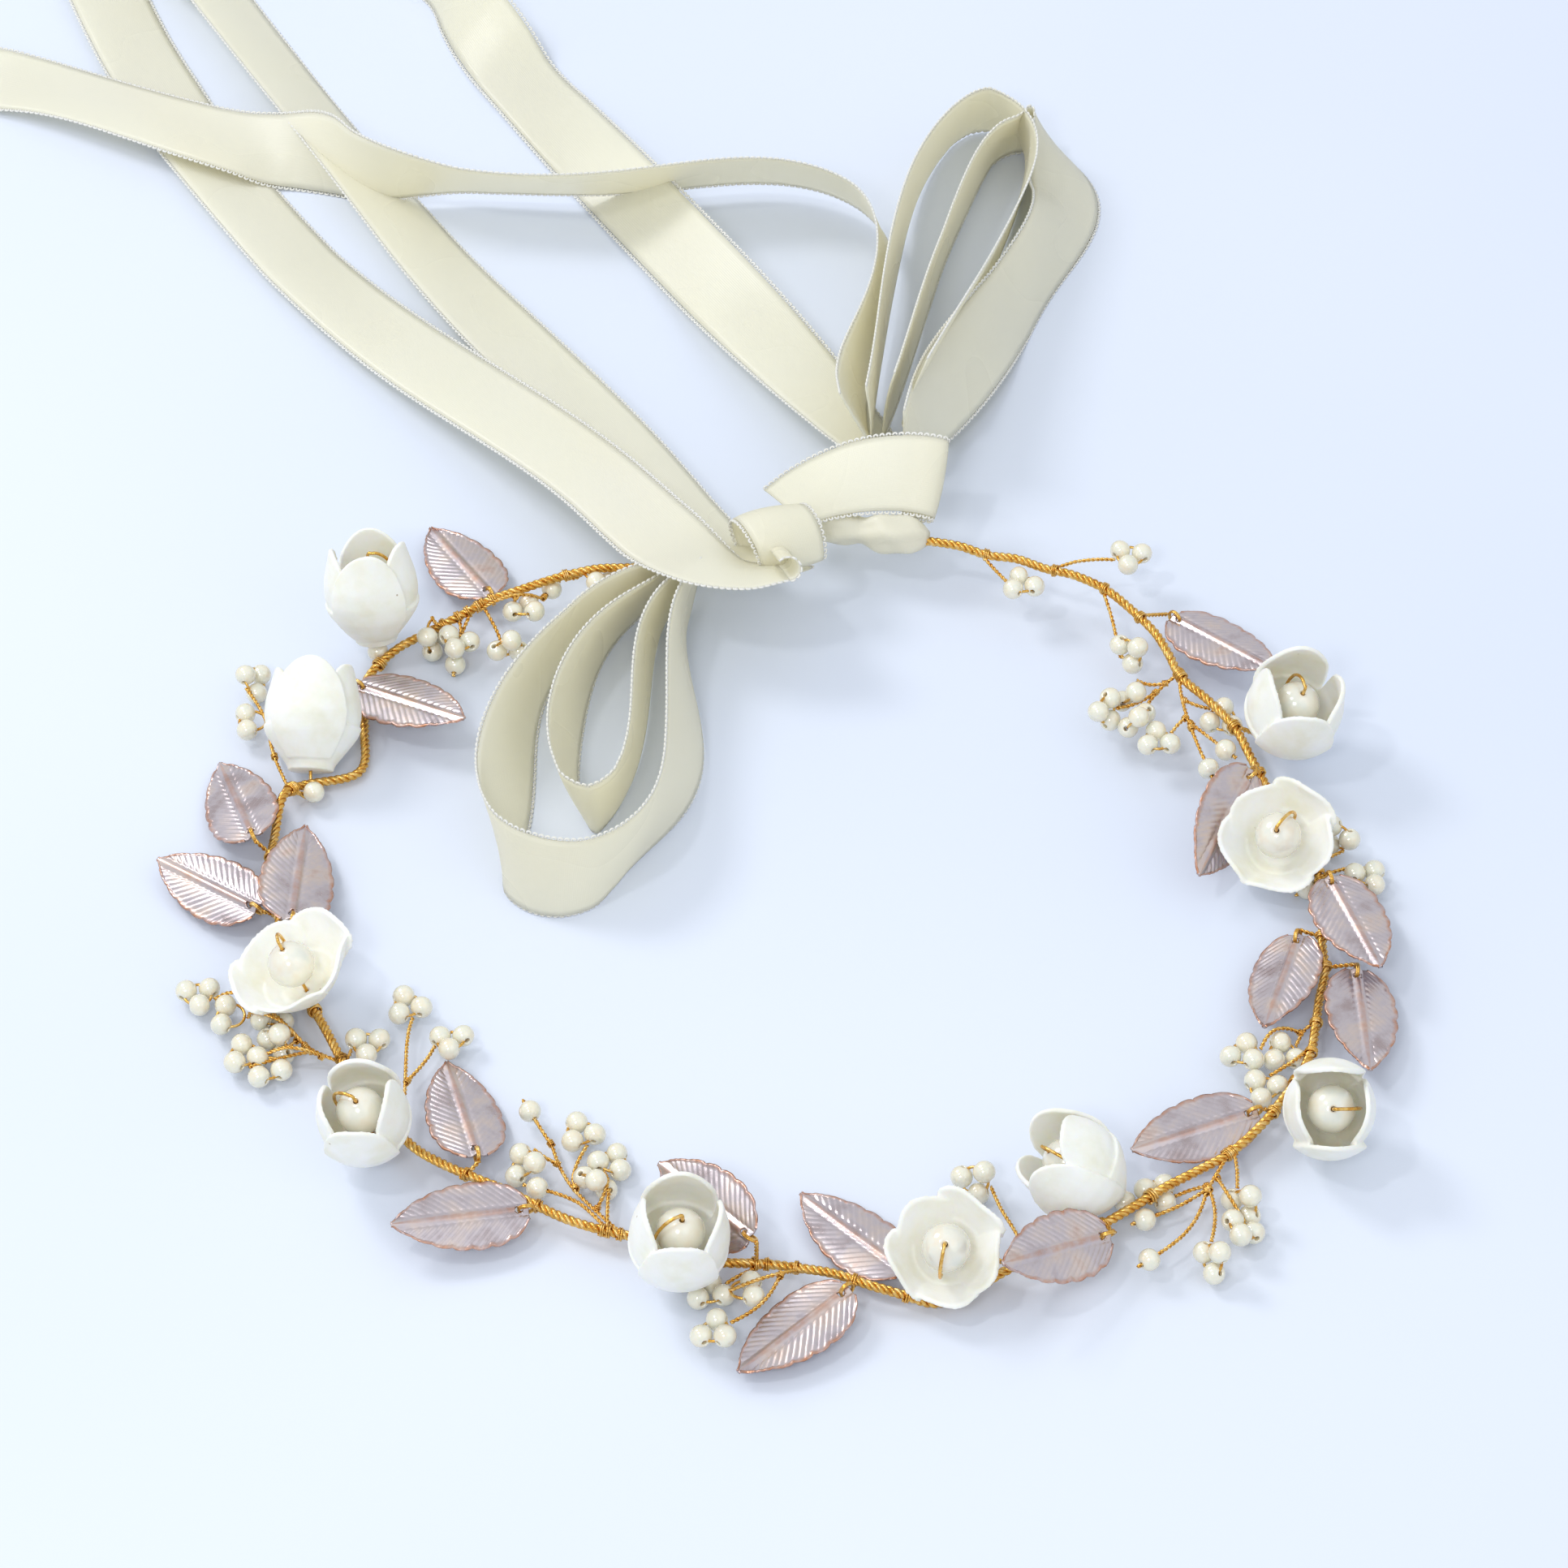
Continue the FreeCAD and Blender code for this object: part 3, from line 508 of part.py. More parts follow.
        ((-43.38, 110.26, 8.92), (-30.62, 117.74, 6.41)),
        ((-46.89, 115.89, 7.98), (-34.16, 123.53, 5.85)),
        ((-50.44, 121.5, 7.08), (-37.74, 129.27, 5.24)),
        ((-54.03, 127.13, 6.24), (-41.37, 135, 4.58)),
        ((-57.66, 132.79, 5.52), (-45.04, 140.72, 3.89)),
        ((-61.33, 138.48, 4.96), (-48.73, 146.43, 3.18)),
        ((-65, 144.2, 4.58), (-52.44, 152.14, 2.49)),
        ((-68.67, 149.95, 4.4), (-56.17, 157.84, 1.84)),
        ((-72.31, 155.74, 4.43), (-59.91, 163.56, 1.27)),
        ((-75.93, 161.57, 4.61), (-63.65, 169.28, 0.8)),
        ((-79.51, 167.43, 5.02), (-67.37, 175.03, 0.55)),
        ((-83.05, 173.33, 5.64), (-71.07, 180.79, 0.55)),
        ((-86.57, 179.26, 6.17), (-74.74, 186.58, 0.55)),
        ((-90.07, 185.22, 6.59), (-78.36, 192.38, 0.55)),
        ((-93.57, 191.21, 6.91), (-81.93, 198.21, 0.55)),
        ((-97.05, 197.2, 7.12), (-85.45, 204.08, 0.55)),
        ((-100.52, 203.19, 7.24), (-88.94, 209.97, 0.55)),
        ((-103.98, 209.19, 7.29), (-92.38, 215.9, 0.55)),
        ((-107.42, 215.19, 7.29), (-95.79, 221.85, 0.55)),
        ((-110.83, 221.19, 7.25), (-99.17, 227.83, 0.55)),
        ((-114.22, 227.2, 7.18), (-102.51, 233.84, 0.55)),
        ((-117.58, 233.2, 7.11), (-105.84, 239.85, 0.55)),
        ((-120.91, 239.21, 7.03), (-109.14, 245.89, 0.55)),
        ((-124.21, 245.22, 7.05), (-112.42, 251.92, 0.64)),
        ((-129.77, 254.46, 4.8), (-117.26, 261.56, 0.55)),
        ((-135.19, 263.77, 2.31), (-122.24, 271.13, 0.55)),
        ((-140.44, 273.18, 0.6), (-127.4, 280.59, 0.6)),
        ((-145.64, 282.62, 0.6), (-132.6, 290.03, 0.6)),
        ((-150.84, 292.06, 0.6), (-137.8, 299.46, 0.6)),
        ((-156.04, 301.49, 0.6), (-143, 308.9, 0.6)),
        ((-161.24, 310.93, 0.6), (-148.2, 318.34, 0.6)),
        ((-166.44, 320.37, 0.6), (-153.4, 327.77, 0.6)),
    ),
    "ribbon_tail_c": (
        ((8.03, 102.22, 12.89), (19.84, 108.15, 5.8)),
        ((4.29, 108.09, 11.49), (16.51, 114.63, 5.76)),
        ((0.59, 113.9, 10.32), (13.1, 121.02, 6.1)),
        ((-3.11, 119.74, 9.21), (9.63, 127.24, 6.68)),
        ((-6.75, 125.61, 8.08), (6.09, 133.33, 7.32)),
        ((-10.32, 131.5, 6.95), (2.45, 139.31, 7.96)),
        ((-13.81, 137.43, 5.84), (-1.27, 145.21, 8.54)),
        ((-17.21, 143.39, 4.72), (-5.07, 151.03, 9.09)),
        ((-20.53, 149.39, 3.61), (-8.93, 156.79, 9.57)),
        ((-23.85, 155.4, 2.66), (-12.77, 162.55, 9.82)),
        ((-27.26, 161.38, 1.99), (-16.47, 168.38, 9.7)),
        ((-30.77, 167.34, 1.51), (-20.02, 174.3, 9.32)),
        ((-34.31, 173.3, 1.08), (-23.49, 180.27, 8.78)),
        ((-37.92, 179.25, 0.78), (-26.85, 186.32, 8.03)),
        ((-41.64, 185.19, 0.69), (-30.11, 192.44, 6.98)),
        ((-45.36, 191.18, 0.69), (-33.35, 198.59, 5.79)),
        ((-49.03, 197.21, 0.63), (-36.67, 204.73, 4.59)),
        ((-52.68, 203.3, 0.55), (-40.07, 210.89, 3.46)),
        ((-56.31, 209.41, 0.55), (-43.54, 217.06, 2.43)),
        ((-59.94, 215.48, 0.55), (-47.11, 223.21, 1.38)),
        ((-63.53, 221.43, 0.55), (-50.82, 229.32, 1.67)),
        ((-66.83, 227.48, 0.55), (-54.94, 235.05, 5.66)),
        ((-69.81, 233.92, 0.55), (-59.52, 240, 9.6)),
        ((-72.48, 240.89, 0.55), (-64.58, 243.94, 12.93)),
        ((-74.73, 247.93, 0.55), (-70.25, 247.18, 14.84)),
        ((-81.23, 256.33, 0.55), (-75.58, 255.38, 14.41)),
        ((-88.08, 264.78, 0.55), (-80.56, 263.53, 13.46)),
        ((-95.55, 273.34, 0.55), (-84.92, 271.57, 10.98)),
        ((-103.34, 281.96, 0.55), (-88.96, 279.56, 4.08)),
        ((-109.47, 290.29, 0.6), (-94.67, 287.83, 0.6)),
        ((-115.38, 298.6, 0.6), (-100.58, 296.13, 0.6)),
        ((-121.3, 306.9, 0.6), (-106.5, 304.43, 0.6)),
        ((-127.21, 315.2, 0.6), (-112.42, 312.74, 0.6)),
        ((-133.13, 323.5, 0.6), (-118.33, 321.04, 0.6)),
        ((-139.04, 331.8, 0.6), (-124.25, 329.34, 0.6)),
        ((-144.96, 340.1, 0.6), (-130.16, 337.64, 0.6)),
        ((-150.87, 348.41, 0.6), (-136.08, 345.94, 0.6)),
        ((-156.79, 356.71, 0.6), (-141.99, 354.24, 0.6)),
    ),
    "ribbon_tail_d": (
        ((13.43, 102.4, 11.33), (6.78, 104.44, 24.62)),
        ((12.21, 109.24, 9.68), (6.24, 111.66, 23.23)),
        ((11.74, 115.9, 8.2), (6.96, 118.67, 22.14)),
        ((11.89, 122.72, 6.9), (8.51, 125.35, 21.27)),
        ((12.66, 129.69, 5.87), (10.35, 131.9, 20.52)),
        ((13.91, 136.79, 5.08), (12.07, 138.53, 19.87)),
        ((15.35, 144.06, 4.5), (13.43, 145.41, 19.32)),
        ((16.67, 151.62, 4.1), (14.18, 152.6, 18.86)),
        ((17.52, 159.38, 3.87), (14, 159.81, 18.45)),
        ((17.41, 167.08, 3.85), (12.58, 166.39, 18.03)),
        ((15.58, 174.47, 4), (9.93, 171.66, 17.6)),
        ((11.34, 180.84, 4.19), (6.18, 175.5, 17.23)),
        ((5.13, 185.4, 4.31), (1.54, 178.31, 17.03)),
        ((-2.17, 187.92, 4.3), (-3.85, 180.08, 16.98)),
        ((-9.77, 188.55, 4.25), (-9.88, 180.64, 16.99)),
        ((-17.33, 187.99, 4.19), (-16.56, 180.17, 16.97)),
        ((-24.75, 186.93, 4.14), (-23.74, 179.06, 16.87)),
        ((-31.96, 185.94, 4.08), (-31.26, 177.81, 16.67)),
        ((-38.95, 185.46, 3.99), (-38.91, 176.99, 16.37)),
        ((-45.88, 185.53, 3.85), (-46.42, 176.81, 16.04)),
        ((-52.85, 185.92, 3.69), (-53.67, 177.14, 15.83)),
        ((-59.86, 186.42, 3.56), (-60.59, 177.84, 15.84)),
        ((-66.82, 186.81, 3.49), (-67.28, 178.81, 16.17)),
        ((-73.18, 186.46, 3.21), (-74.19, 180.67, 17.01)),
        ((-78.57, 186.14, 2.58), (-81.44, 184.24, 17.18)),
        ((-84.51, 187.21, 1.14), (-87.24, 190.04, 15.61)),
        ((-91.65, 189.81, 0.55), (-91.32, 196.39, 14.03)),
        ((-98.88, 191.41, 0.55), (-95.73, 201.52, 11.17)),
        ((-105.3, 191.89, 1.41), (-101.64, 204.85, 8)),
        ((-111.96, 192.82, 3.74), (-107.79, 206.97, 6.42)),
        ((-119.16, 195.13, 4.73), (-113.63, 209.03, 5.78)),
        ((-126.22, 198.35, 4.91), (-119.61, 211.81, 5.2)),
        ((-132.9, 201.85, 4.85), (-125.81, 215.06, 4.45)),
        ((-139.3, 205.35, 4.57), (-132.14, 218.5, 3.72)),
        ((-145.49, 208.65, 4.01), (-138.66, 221.97, 3.18)),
        ((-151.5, 211.54, 3.13), (-145.44, 225.26, 3.02)),
        ((-157.33, 213.91, 1.96), (-152.57, 228.06, 3.34)),
        ((-163.5, 215.83, 0.67), (-159.63, 229.91, 4.09)),
        ((-175.39, 220.23, 0.6), (-171.41, 234.69, 0.6)),
        ((-187.22, 224.81, 0.6), (-183.24, 239.28, 0.6)),
        ((-199.05, 229.4, 0.6), (-195.07, 243.87, 0.6)),
    ),
    "ribbon_wrap_band": (
        ((0.28, 80.01, 14.8), (-7.14, 92.7, 11.84)),
        ((3.96, 82.22, 14.64), (-2.63, 95.66, 13.59)),
        ((7.28, 83.52, 14.43), (2.83, 97.79, 15.69)),
        ((10.85, 84.37, 14.29), (8.47, 98.78, 17.72)),
        ((14.56, 84.73, 14.23), (14.23, 98.83, 19.33)),
        ((18.3, 84.54, 14.22), (20.06, 98.15, 20.28)),
        ((22.55, 83.72, 14.01), (25.34, 96.96, 20.48)),
    ),
}
# ---- knot and hitches: centre, (length, width, height), corner radius, direction ----
STOPPER_BEADS = (
    ((-76.519, 59.872, 2.86), (-0.07, 0.36, 0.93)),
    ((-85.971, 24.43, 3.2), (0.03, 0.808, 0.589)),
    ((52.486, -68.139, 2.261), (-0.763, 0.06, 0.643)),
)
# radius of the broader foot of two of the buds
BASE_WIDE = {"rosebud_1": 3.9, "rosebud_2": 4.1}
KNOT = ((-4.673, 77.188, 13.5), (13, 9, 8), 3.2, (1, 0.25, 0))
HITCH_RIGHT = ((16.25, 82.372, 10.6), (13, 7, 6.5), 2.6, (-9.69, 1.66, -0.02))
HITCH_LEFT = ((-21.218, 73.346, 11.3), (12, 6.5, 6), 2.4, (13.28, -0.23, 1.09))


# ---- helpers ----
def vec(p):
    return V(*p)


def pipe(points, radius, first_cut=None):
    """A round wire along straight runs joined by tangent arcs."""
    pts = [vec(p) for p in points]
    keep = [pts[0]]
    for k in range(1, len(pts) - 1):
        a = (pts[k] - keep[-1]).normalize()
        b = (pts[k + 1] - pts[k]).normalize()
        if math.degrees(a.getAngle(b)) > 1.0:
            keep.append(pts[k])
    keep.append(pts[-1])
    edges, here = [], keep[0]
    for k in range(1, len(keep) - 1):
        p = keep[k]
        l0, l1 = (p - keep[k - 1]).Length, (keep[k + 1] - p).Length
        a, b = (p - keep[k - 1]).normalize(), (keep[k + 1] - p).normalize()
        turn = a.getAngle(b)
        cut = 0.45 * min(l0, l1)
        if k == 1 and first_cut:
            cut = min(cut, first_cut)
        r = cut / math.tan(turn / 2)
        r = max(r, 0.0)
        s, e = p - a * cut, p + b * cut
        mid_dir = (b - a).normalize()
        centre = p + mid_dir * (r / math.cos(turn / 2))
        m = centre - mid_dir * r
        if (s - here).Length > 1e-6:
            edges.append(Part.LineSegment(here, s).toShape())
        edges.append(Part.Arc(s, m, e).toShape())
        here = e
    edges.append(Part.LineSegment(here, keep[-1]).toShape())
    path = Part.Wire(edges)
    d0 = (keep[1] - keep[0]).normalize()
    ring = Part.Wire([Part.Circle(keep[0], d0, radius).toShape()])
    solid = path.makePipeShell([ring], True, False)
    if solid.ShapeType != "Solid":
        solid = solid.Solids[0]
    if solid.Volume < 0:
        solid.reverse()
    return solid


def basis(axis):
    a = vec(axis).normalize()
    x = V(1, 0, 0) - a * a.x if abs(a.x) < 0.9 else V(0, 1, 0) - a * a.y
    x.normalize()
    return x, a.cross(x), a


def put(shape, origin, x, y, z):
    o = vec(origin)
    m = Matrix(x.x, y.x, z.x, o.x, x.y, y.y, z.y, o.y, x.z, y.z, z.z, o.z, 0, 0, 0, 1)
    s = shape.copy()
    s.Placement = FreeCAD.Placement(m)
    return s


def export(node, solids):
    shape = solids[0] if len(solids) == 1 else Part.makeCompound(solids)
    for s in solids:
        if not s.isValid() or s.Volume <= 0:
            print("check", node, s.isValid(), s.Volume)
    shape.exportStep("parts/%s.step" % node)


# ---- vine ----
vine = pipe(VINE, VINE_R)
length = sum((vec(VINE[i + 1]) - vec(VINE[i])).Length for i in range(len(VINE) - 1))
print("vine volume / (section x length)", vine.Volume / (math.pi * VINE_R ** 2 * length))
export("main_vine_wire", [vine])


# ---- flowers and their pearls ----
def cup(kind, s, foot=None):
    """Hollow petal cup turned about Z, split into petals by notches at the rim, with a hole in its base."""
    prof = list(BUD if kind == "bud" else ROSE)
    if foot:
        prof[:3] = [(0, foot), (0.8, max(prof[1][1], foot + 0.15)), (3, max(prof[2][1], foot + 0.9))]
    floor = 1.8 if kind == "bud" else 1.6
    outer = [V(r * s, 0, h * s) for h, r in prof]
    top = outer[-1]
    inner = [V(top.x - CLAY_WALL, 0, top.z)]
    for h, r in reversed(prof[:-1]):
        if h * s > floor + 0.8:
            inner.append(V(r * s - CLAY_WALL, 0, h * s))
    pts = [V(FIT_HOLE_R, 0, 0)] + outer + inner + [V(1.6, 0, floor), V(FIT_HOLE_R, 0, floor)]
    face = Part.Face(Part.makePolygon(pts + [pts[0]]))
    body = face.revolve(V(0, 0, 0), V(0, 0, 1), 360)
    n, low, half = (4, 10.5 * s, 1.3) if kind == "bud" else (5, 5.6 * s, 1.6)
    high = top.z + 1
    for k in range(n):
        wedge = Part.Face(Part.makePolygon([V(0, 0, low), V(0, half, high), V(0, -half, high), V(0, 0, low)]))
        wedge = wedge.extrude(V(14, 0, 0))
        wedge.rotate(V(0, 0, 0), V(0, 0, 1), 360.0 * k / n + 45)
        body = body.cut(wedge)
    return body.Solids[0]


pearl = Part.makeSphere(PEARL_R).cut(Part.makeCylinder(FIT_HOLE_R, 3 * PEARL_R, V(0, 0, -1.5 * PEARL_R)))
stems, stops = [], []
for i, (name, kind, base, axis, s, hp, root, elbow) in enumerate(FLOWERS):
    x, y, z = basis(axis)
    export(name, [put(cup(kind, s, BASE_WIDE.get(name)), base, x, y, z)])
    o = vec(base) + z * hp
    export("centre_pearl_%d" % (i + 1), [put(pearl, (o.x, o.y, o.z), x, y, z)])
    # up through the base and the pearl, over the pearl and down beside it
    side = x * math.cos(0.9 * i) + y * math.sin(0.9 * i)
    path = [vec(root), vec(elbow), o + z * 5.6, o + z * 5.0 + side * 2.6, o + z * 2.4 + side * 4.9,
            o - z * 0.8 + side * 5.1, o - z * 3.2 + side * 4.2]
    stems.append(pipe([(p.x, p.y, p.z) for p in path], STEM_R, 0.8))
export("flower_stem_wires", stems)

bead = Part.makeSphere(BEAD_R).cut(Part.makeCylinder(BEAD_HOLE_R, 3 * BEAD_R, V(0, 0, -1.5 * BEAD_R)))

# ---- stopper beads threaded on the stems under three of the flowers ----
for centre, along in STOPPER_BEADS:
    x, y, z = basis(along)
    stops.append(put(bead, centre, x, y, z))
export("stopper_beads", stops)


# ---- leaves and their tie wires ----
rings = []
for name, hole, u, v, n, s in LEAVES:
    u_, v_, n_ = vec(u), vec(v), vec(n)
    n_ = u_.cross(v_)
    right = [V(t * LEAF_LENGTH * s - LEAF_HOLE_IN, w * LEAF_HALF_WIDTH * s, 0) for t, w in LEAF]
    left = [V(p.x, -p.y, 0) for p in reversed(right[:-1])]
    face = Part.Face(Part.makePolygon(right + left + [right[0]]))
    slab = face.extrude(V(0, 0, 6))
    slab.translate(V(0, 0, -4))
    far = Part.makeCylinder(LEAF_BEND_R + LEAF_SHEET / 2, 40, V(-8, 0, -LEAF_BEND_R), V(1, 0, 0))
    near = Part.makeCylinder(LEAF_BEND_R - LEAF_SHEET / 2, 44, V(-10, 0, -LEAF_BEND_R), V(1, 0, 0))
    blade = slab.common(far.cut(near)).cut(Part.makeCylinder(LEAF_HOLE_R, 8, V(0, 0, -4)))
    export(name, [put(blade.Solids[0], hole, u_, v_, n_)])
    ring = Part.makeTorus(TIE_RING_R, TIE_R, V(-TIE_RING_R, 0, 0), V(0, 1, 0))
    rings.append(put(ring.Solids[0], hole, u_, v_, n_))
for a, b in TIE_STEMS:
    a, b = vec(a), vec(b)
    rings.append(Part.makeCylinder(0.3, (b - a).Length, a, b - a))
export("leaf_tie_wires", rings)

# ---- pearl beads, each bored along the wire it is threaded on ----
bead = Part.makeSphere(BEAD_R).cut(Part.makeCylinder(BEAD_HOLE_R, 3 * BEAD_R, V(0, 0, -1.5 * BEAD_R)))
loops = []
for node, florets in SPRAYS:
    out = []
    for centres, hold in florets:
        if len(hold) == 3:
            c, nrm, rad = hold
            loops.append(Part.makeTorus(rad, LOOP_R, vec(c), vec(nrm)).Solids[0])
        for p in centres:
            along = vec(hold[0]) if len(hold) == 1 else vec(nrm).cross(vec(p) - vec(c))
            x, y, z = basis((along.x, along.y, along.z))
            out.append(put(bead, p, x, y, z))
    export(node, out)
export("spray_wires", [pipe(p, SPRAY_R) for p in SPRAY_STEMS])
export("floret_loops", loops)


# ---- ribbon ----
def band(stations):
    """A ribbon of true width and small thickness through its stations."""
    low = [vec(a) for a, b in stations]
    up = [vec(b) for a, b in stations]
    sections = []
    for k in range(len(low)):
        j0, j1 = max(0, k - 1), min(len(low) - 1, k + 1)
        t = ((low[j1] + up[j1]) - (low[j0] + up[j0])).normalize()
        w = (up[k] - low[k]).normalize()
        nn = t.cross(w).normalize() * (RIBBON_T / 2)
        q = [low[k] + nn, up[k] + nn, up[k] - nn, low[k] - nn]
        sections.append(q)
    faces = [Part.Face(Part.makePolygon(s + [s[0]])) for s in (sections[0][::-1], sections[-1])]
    for s, t in zip(sections, sections[1:]):
        for k in range(4):
            l = (k + 1) % 4
            if k == 2:  # both faces of the sheet fold along the same diagonal
                faces.append(Part.Face(Part.makePolygon([s[k], s[l], t[k], s[k]])))
                faces.append(Part.Face(Part.makePolygon([s[l], t[l], t[k], s[l]])))
            else:
                faces.append(Part.Face(Part.makePolygon([s[k], s[l], t[l], s[k]])))
                faces.append(Part.Face(Part.makePolygon([s[k], t[l], t[k], s[k]])))
    shell = Part.makeShell(faces)
    shell.sewShape()
    solid = Part.makeSolid(shell if shell.ShapeType == "Shell" else shell.Shells[0])
    if solid.Volume < 0:
        solid.reverse()
    return solid


for node, stations in RIBBON.items():
    if node != "ribbon_wrap_band":
        export(node, [band(stations)])


def pad(centre, size, radius, direction):
    """A soft rounded block: knotted or hitched ribbon."""
    b = Part.makeBox(size[0], size[1], size[2], V(-size[0] / 2, -size[1] / 2, -size[2] / 2))
    b = b.makeFillet(radius, b.Edges)
    d = vec(direction).normalize()
    yy = V(0, 0, 1).cross(d).normalize()
    return put(b, centre, d, yy, d.cross(yy))


export("ribbon_knot", [pad(*KNOT)])
export("ribbon_hitch_left", [pad(*HITCH_LEFT)])
# the right-hand hitch is a soft pad on the vine's end with a flat band folded over it
export("ribbon_hitch_right", [pad(*HITCH_RIGHT), band(RIBBON["ribbon_wrap_band"])])
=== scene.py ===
"""Flower crown: the finished look of each piece, over the jointed model."""
import bpy, math
import numpy as np
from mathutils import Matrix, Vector


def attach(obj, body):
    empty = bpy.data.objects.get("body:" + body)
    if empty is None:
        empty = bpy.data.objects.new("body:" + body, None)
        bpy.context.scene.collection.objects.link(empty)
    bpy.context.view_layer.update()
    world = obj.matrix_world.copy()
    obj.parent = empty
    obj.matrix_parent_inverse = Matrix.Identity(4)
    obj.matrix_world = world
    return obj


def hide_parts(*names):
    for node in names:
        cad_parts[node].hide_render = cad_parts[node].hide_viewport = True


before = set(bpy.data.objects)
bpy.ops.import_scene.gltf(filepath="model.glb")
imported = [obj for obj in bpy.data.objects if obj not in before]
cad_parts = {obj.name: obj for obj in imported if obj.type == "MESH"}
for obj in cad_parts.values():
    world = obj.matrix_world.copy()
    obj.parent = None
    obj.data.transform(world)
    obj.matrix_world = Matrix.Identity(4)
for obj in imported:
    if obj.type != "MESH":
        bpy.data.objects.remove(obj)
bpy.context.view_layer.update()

# ---- driving dimensions, mm ----
VINE_R = 0.8          # main vine: two wires twisted together
STEM_R = 0.32         # flower stem wire
SPRAY_R = 0.32        # twisted stem of a bead spray
LOOP_R = 0.28         # wire loop that carries a floret of beads
BEAD_R = 1.9          # small pearl bead, 4 mm nominal
PEARL_R = 4.0         # centre pearl of a flower, 8 mm
BEAD_HOLE_R = 0.42     # hole through a small bead
FIT_HOLE_R = 0.40     # hole in a flower base and in a pearl: turns on the stem wire
CLAY_WALL = 1.1       # wall of a clay petal cup
LEAF_LENGTH = 24.5
LEAF_HALF_WIDTH = 6.5
LEAF_SHEET = 0.6      # embossed sheet
LEAF_BEND_R = 22.0    # cross bend of a leaf
LEAF_HOLE_R = 0.7
LEAF_HOLE_IN = 1.6    # hole centre from the leaf's base edge
TIE_R = 0.28          # tie wire ring through a leaf hole
TIE_RING_R = 1.3
RIBBON_T = 0.5

# ---- profiles: (height from the base, outer radius) of a petal cup ----
BUD = ((0, 2.6), (0.8, 3.6), (3, 6), (6, 8.2), (9, 9.1), (12, 8.9), (15, 8.1), (18.5, 7.2))
ROSE = ((0, 2.4), (0.8, 3.2), (2.5, 5.4), (4.5, 7.4), (6.5, 8.9), (8, 9.6), (9.2, 9.7))
# leaf outline: (fraction of length, fraction of half width)
LEAF = ((0, 0.3), (0.04, 0.55), (0.12, 0.8), (0.25, 0.97), (0.4, 1), (0.55, 0.94), (0.7, 0.78), (0.82, 0.56), (0.92, 0.3), (1, 0))
# ---- route of the vine, from the right-hand end round the front to the left-hand end ----
VINE = (
    (18.61, 81.08, 10.35),
    (23, 80.47, 10.54),
    (28.3, 79.42, 10.37),
    (33.33, 77.76, 9.68),
    (38.6, 76.63, 9.83),
    (43.63, 74.5, 9.49),
    (48.88, 72.34, 9.84),
    (54.42, 68.86, 9.66),
    (58.98, 64.23, 8.98),
    (62.88, 59.1, 8.38),
    (65.08, 53.96, 8.14),
    (67.17, 48.29, 7.84),
    (71.85, 42.28, 7.8),
    (76.13, 35.75, 7.51),
    (78.59, 28.94, 6.89),
    (81.32, 22.07, 5.98),
    (84.35, 16.31, 4.52),
    (87.33, 10.4, 3.67),
    (89.06, 3.43, 3.89),
    (89.21, -4.33, 4.13),
    (88.47, -11.92, 4.15),
    (88.54, -18.78, 4.11),
    (87.18, -25.09, 3.88),
    (86.17, -31.06, 4.24),
    (84.98, -37.25, 4.51),
    (82.75, -43.02, 5.05),
    (79.64, -48.55, 5.61),
    (75.39, -54.51, 5.37),
    (70.05, -59.91, 4.85),
    (64.39, -63.93, 5.02),
    (59.08, -67.57, 5.31),
    (53.87, -71.55, 5.29),
    (48.6, -75.4, 5.32),
    (42.77, -78.99, 5.27),
    (36.98, -82.13, 4.96),
    (31.42, -84.84, 4.02),
    (25.93, -87.68, 2.07),
    (20.73, -89.02, 1.73),
    (15.63, -88.33, 3.11),
    (10.16, -87.07, 4.07),
    (4.71, -84.94, 4.28),
    (-0.88, -83.05, 3.37),
    (-6.28, -81.86, 2.92),
    (-13.15, -83.02, 4.74),
    (-16.87, -80.46, 2.63),
    (-21.71, -77.48, 1.69),
    (-28.02, -75.88, 2.53),
    (-33.58, -74.82, 3.25),
    (-38.44, -72.99, 3.32),
    (-43.24, -70.37, 3.38),
    (-48.81, -67.84, 4.6),
    (-54.28, -65.63, 5.4),
    (-59.42, -62.45, 4.94),
    (-64.36, -58.12, 3.92),
    (-68.61, -52.42, 3.33),
    (-73.24, -46.17, 3.72),
    (-77.47, -38.91, 3.83),
    (-80.66, -31.45, 3.12),
    (-83.56, -24.55, 1.68),
    (-86.64, -17.35, 1.69),
    (-89.13, -10.1, 2.04),
    (-91.09, -3.05, 5.29),
    (-92.38, 4.89, 4.76),
    (-92.2, 14.04, 2.98),
    (-91.16, 22, 4.57),
    (-87.97, 26.74, 2.53),
    (-78.41, 30.79, 1.69),
    (-77.99, 40.91, 1.79),
    (-78.57, 51.95, 2.19),
    (-73.88, 59.04, 3.34),
    (-68, 62.85, 4.42),
    (-62.18, 65.78, 5.76),
    (-56.47, 68.55, 7.23),
    (-50.48, 70.58, 8.2),
    (-43.97, 72.36, 9.39),
    (-37.33, 73.4, 10.44),
    (-30.62, 73.3, 10.88),
    (-24.05, 73.17, 11.53),
)
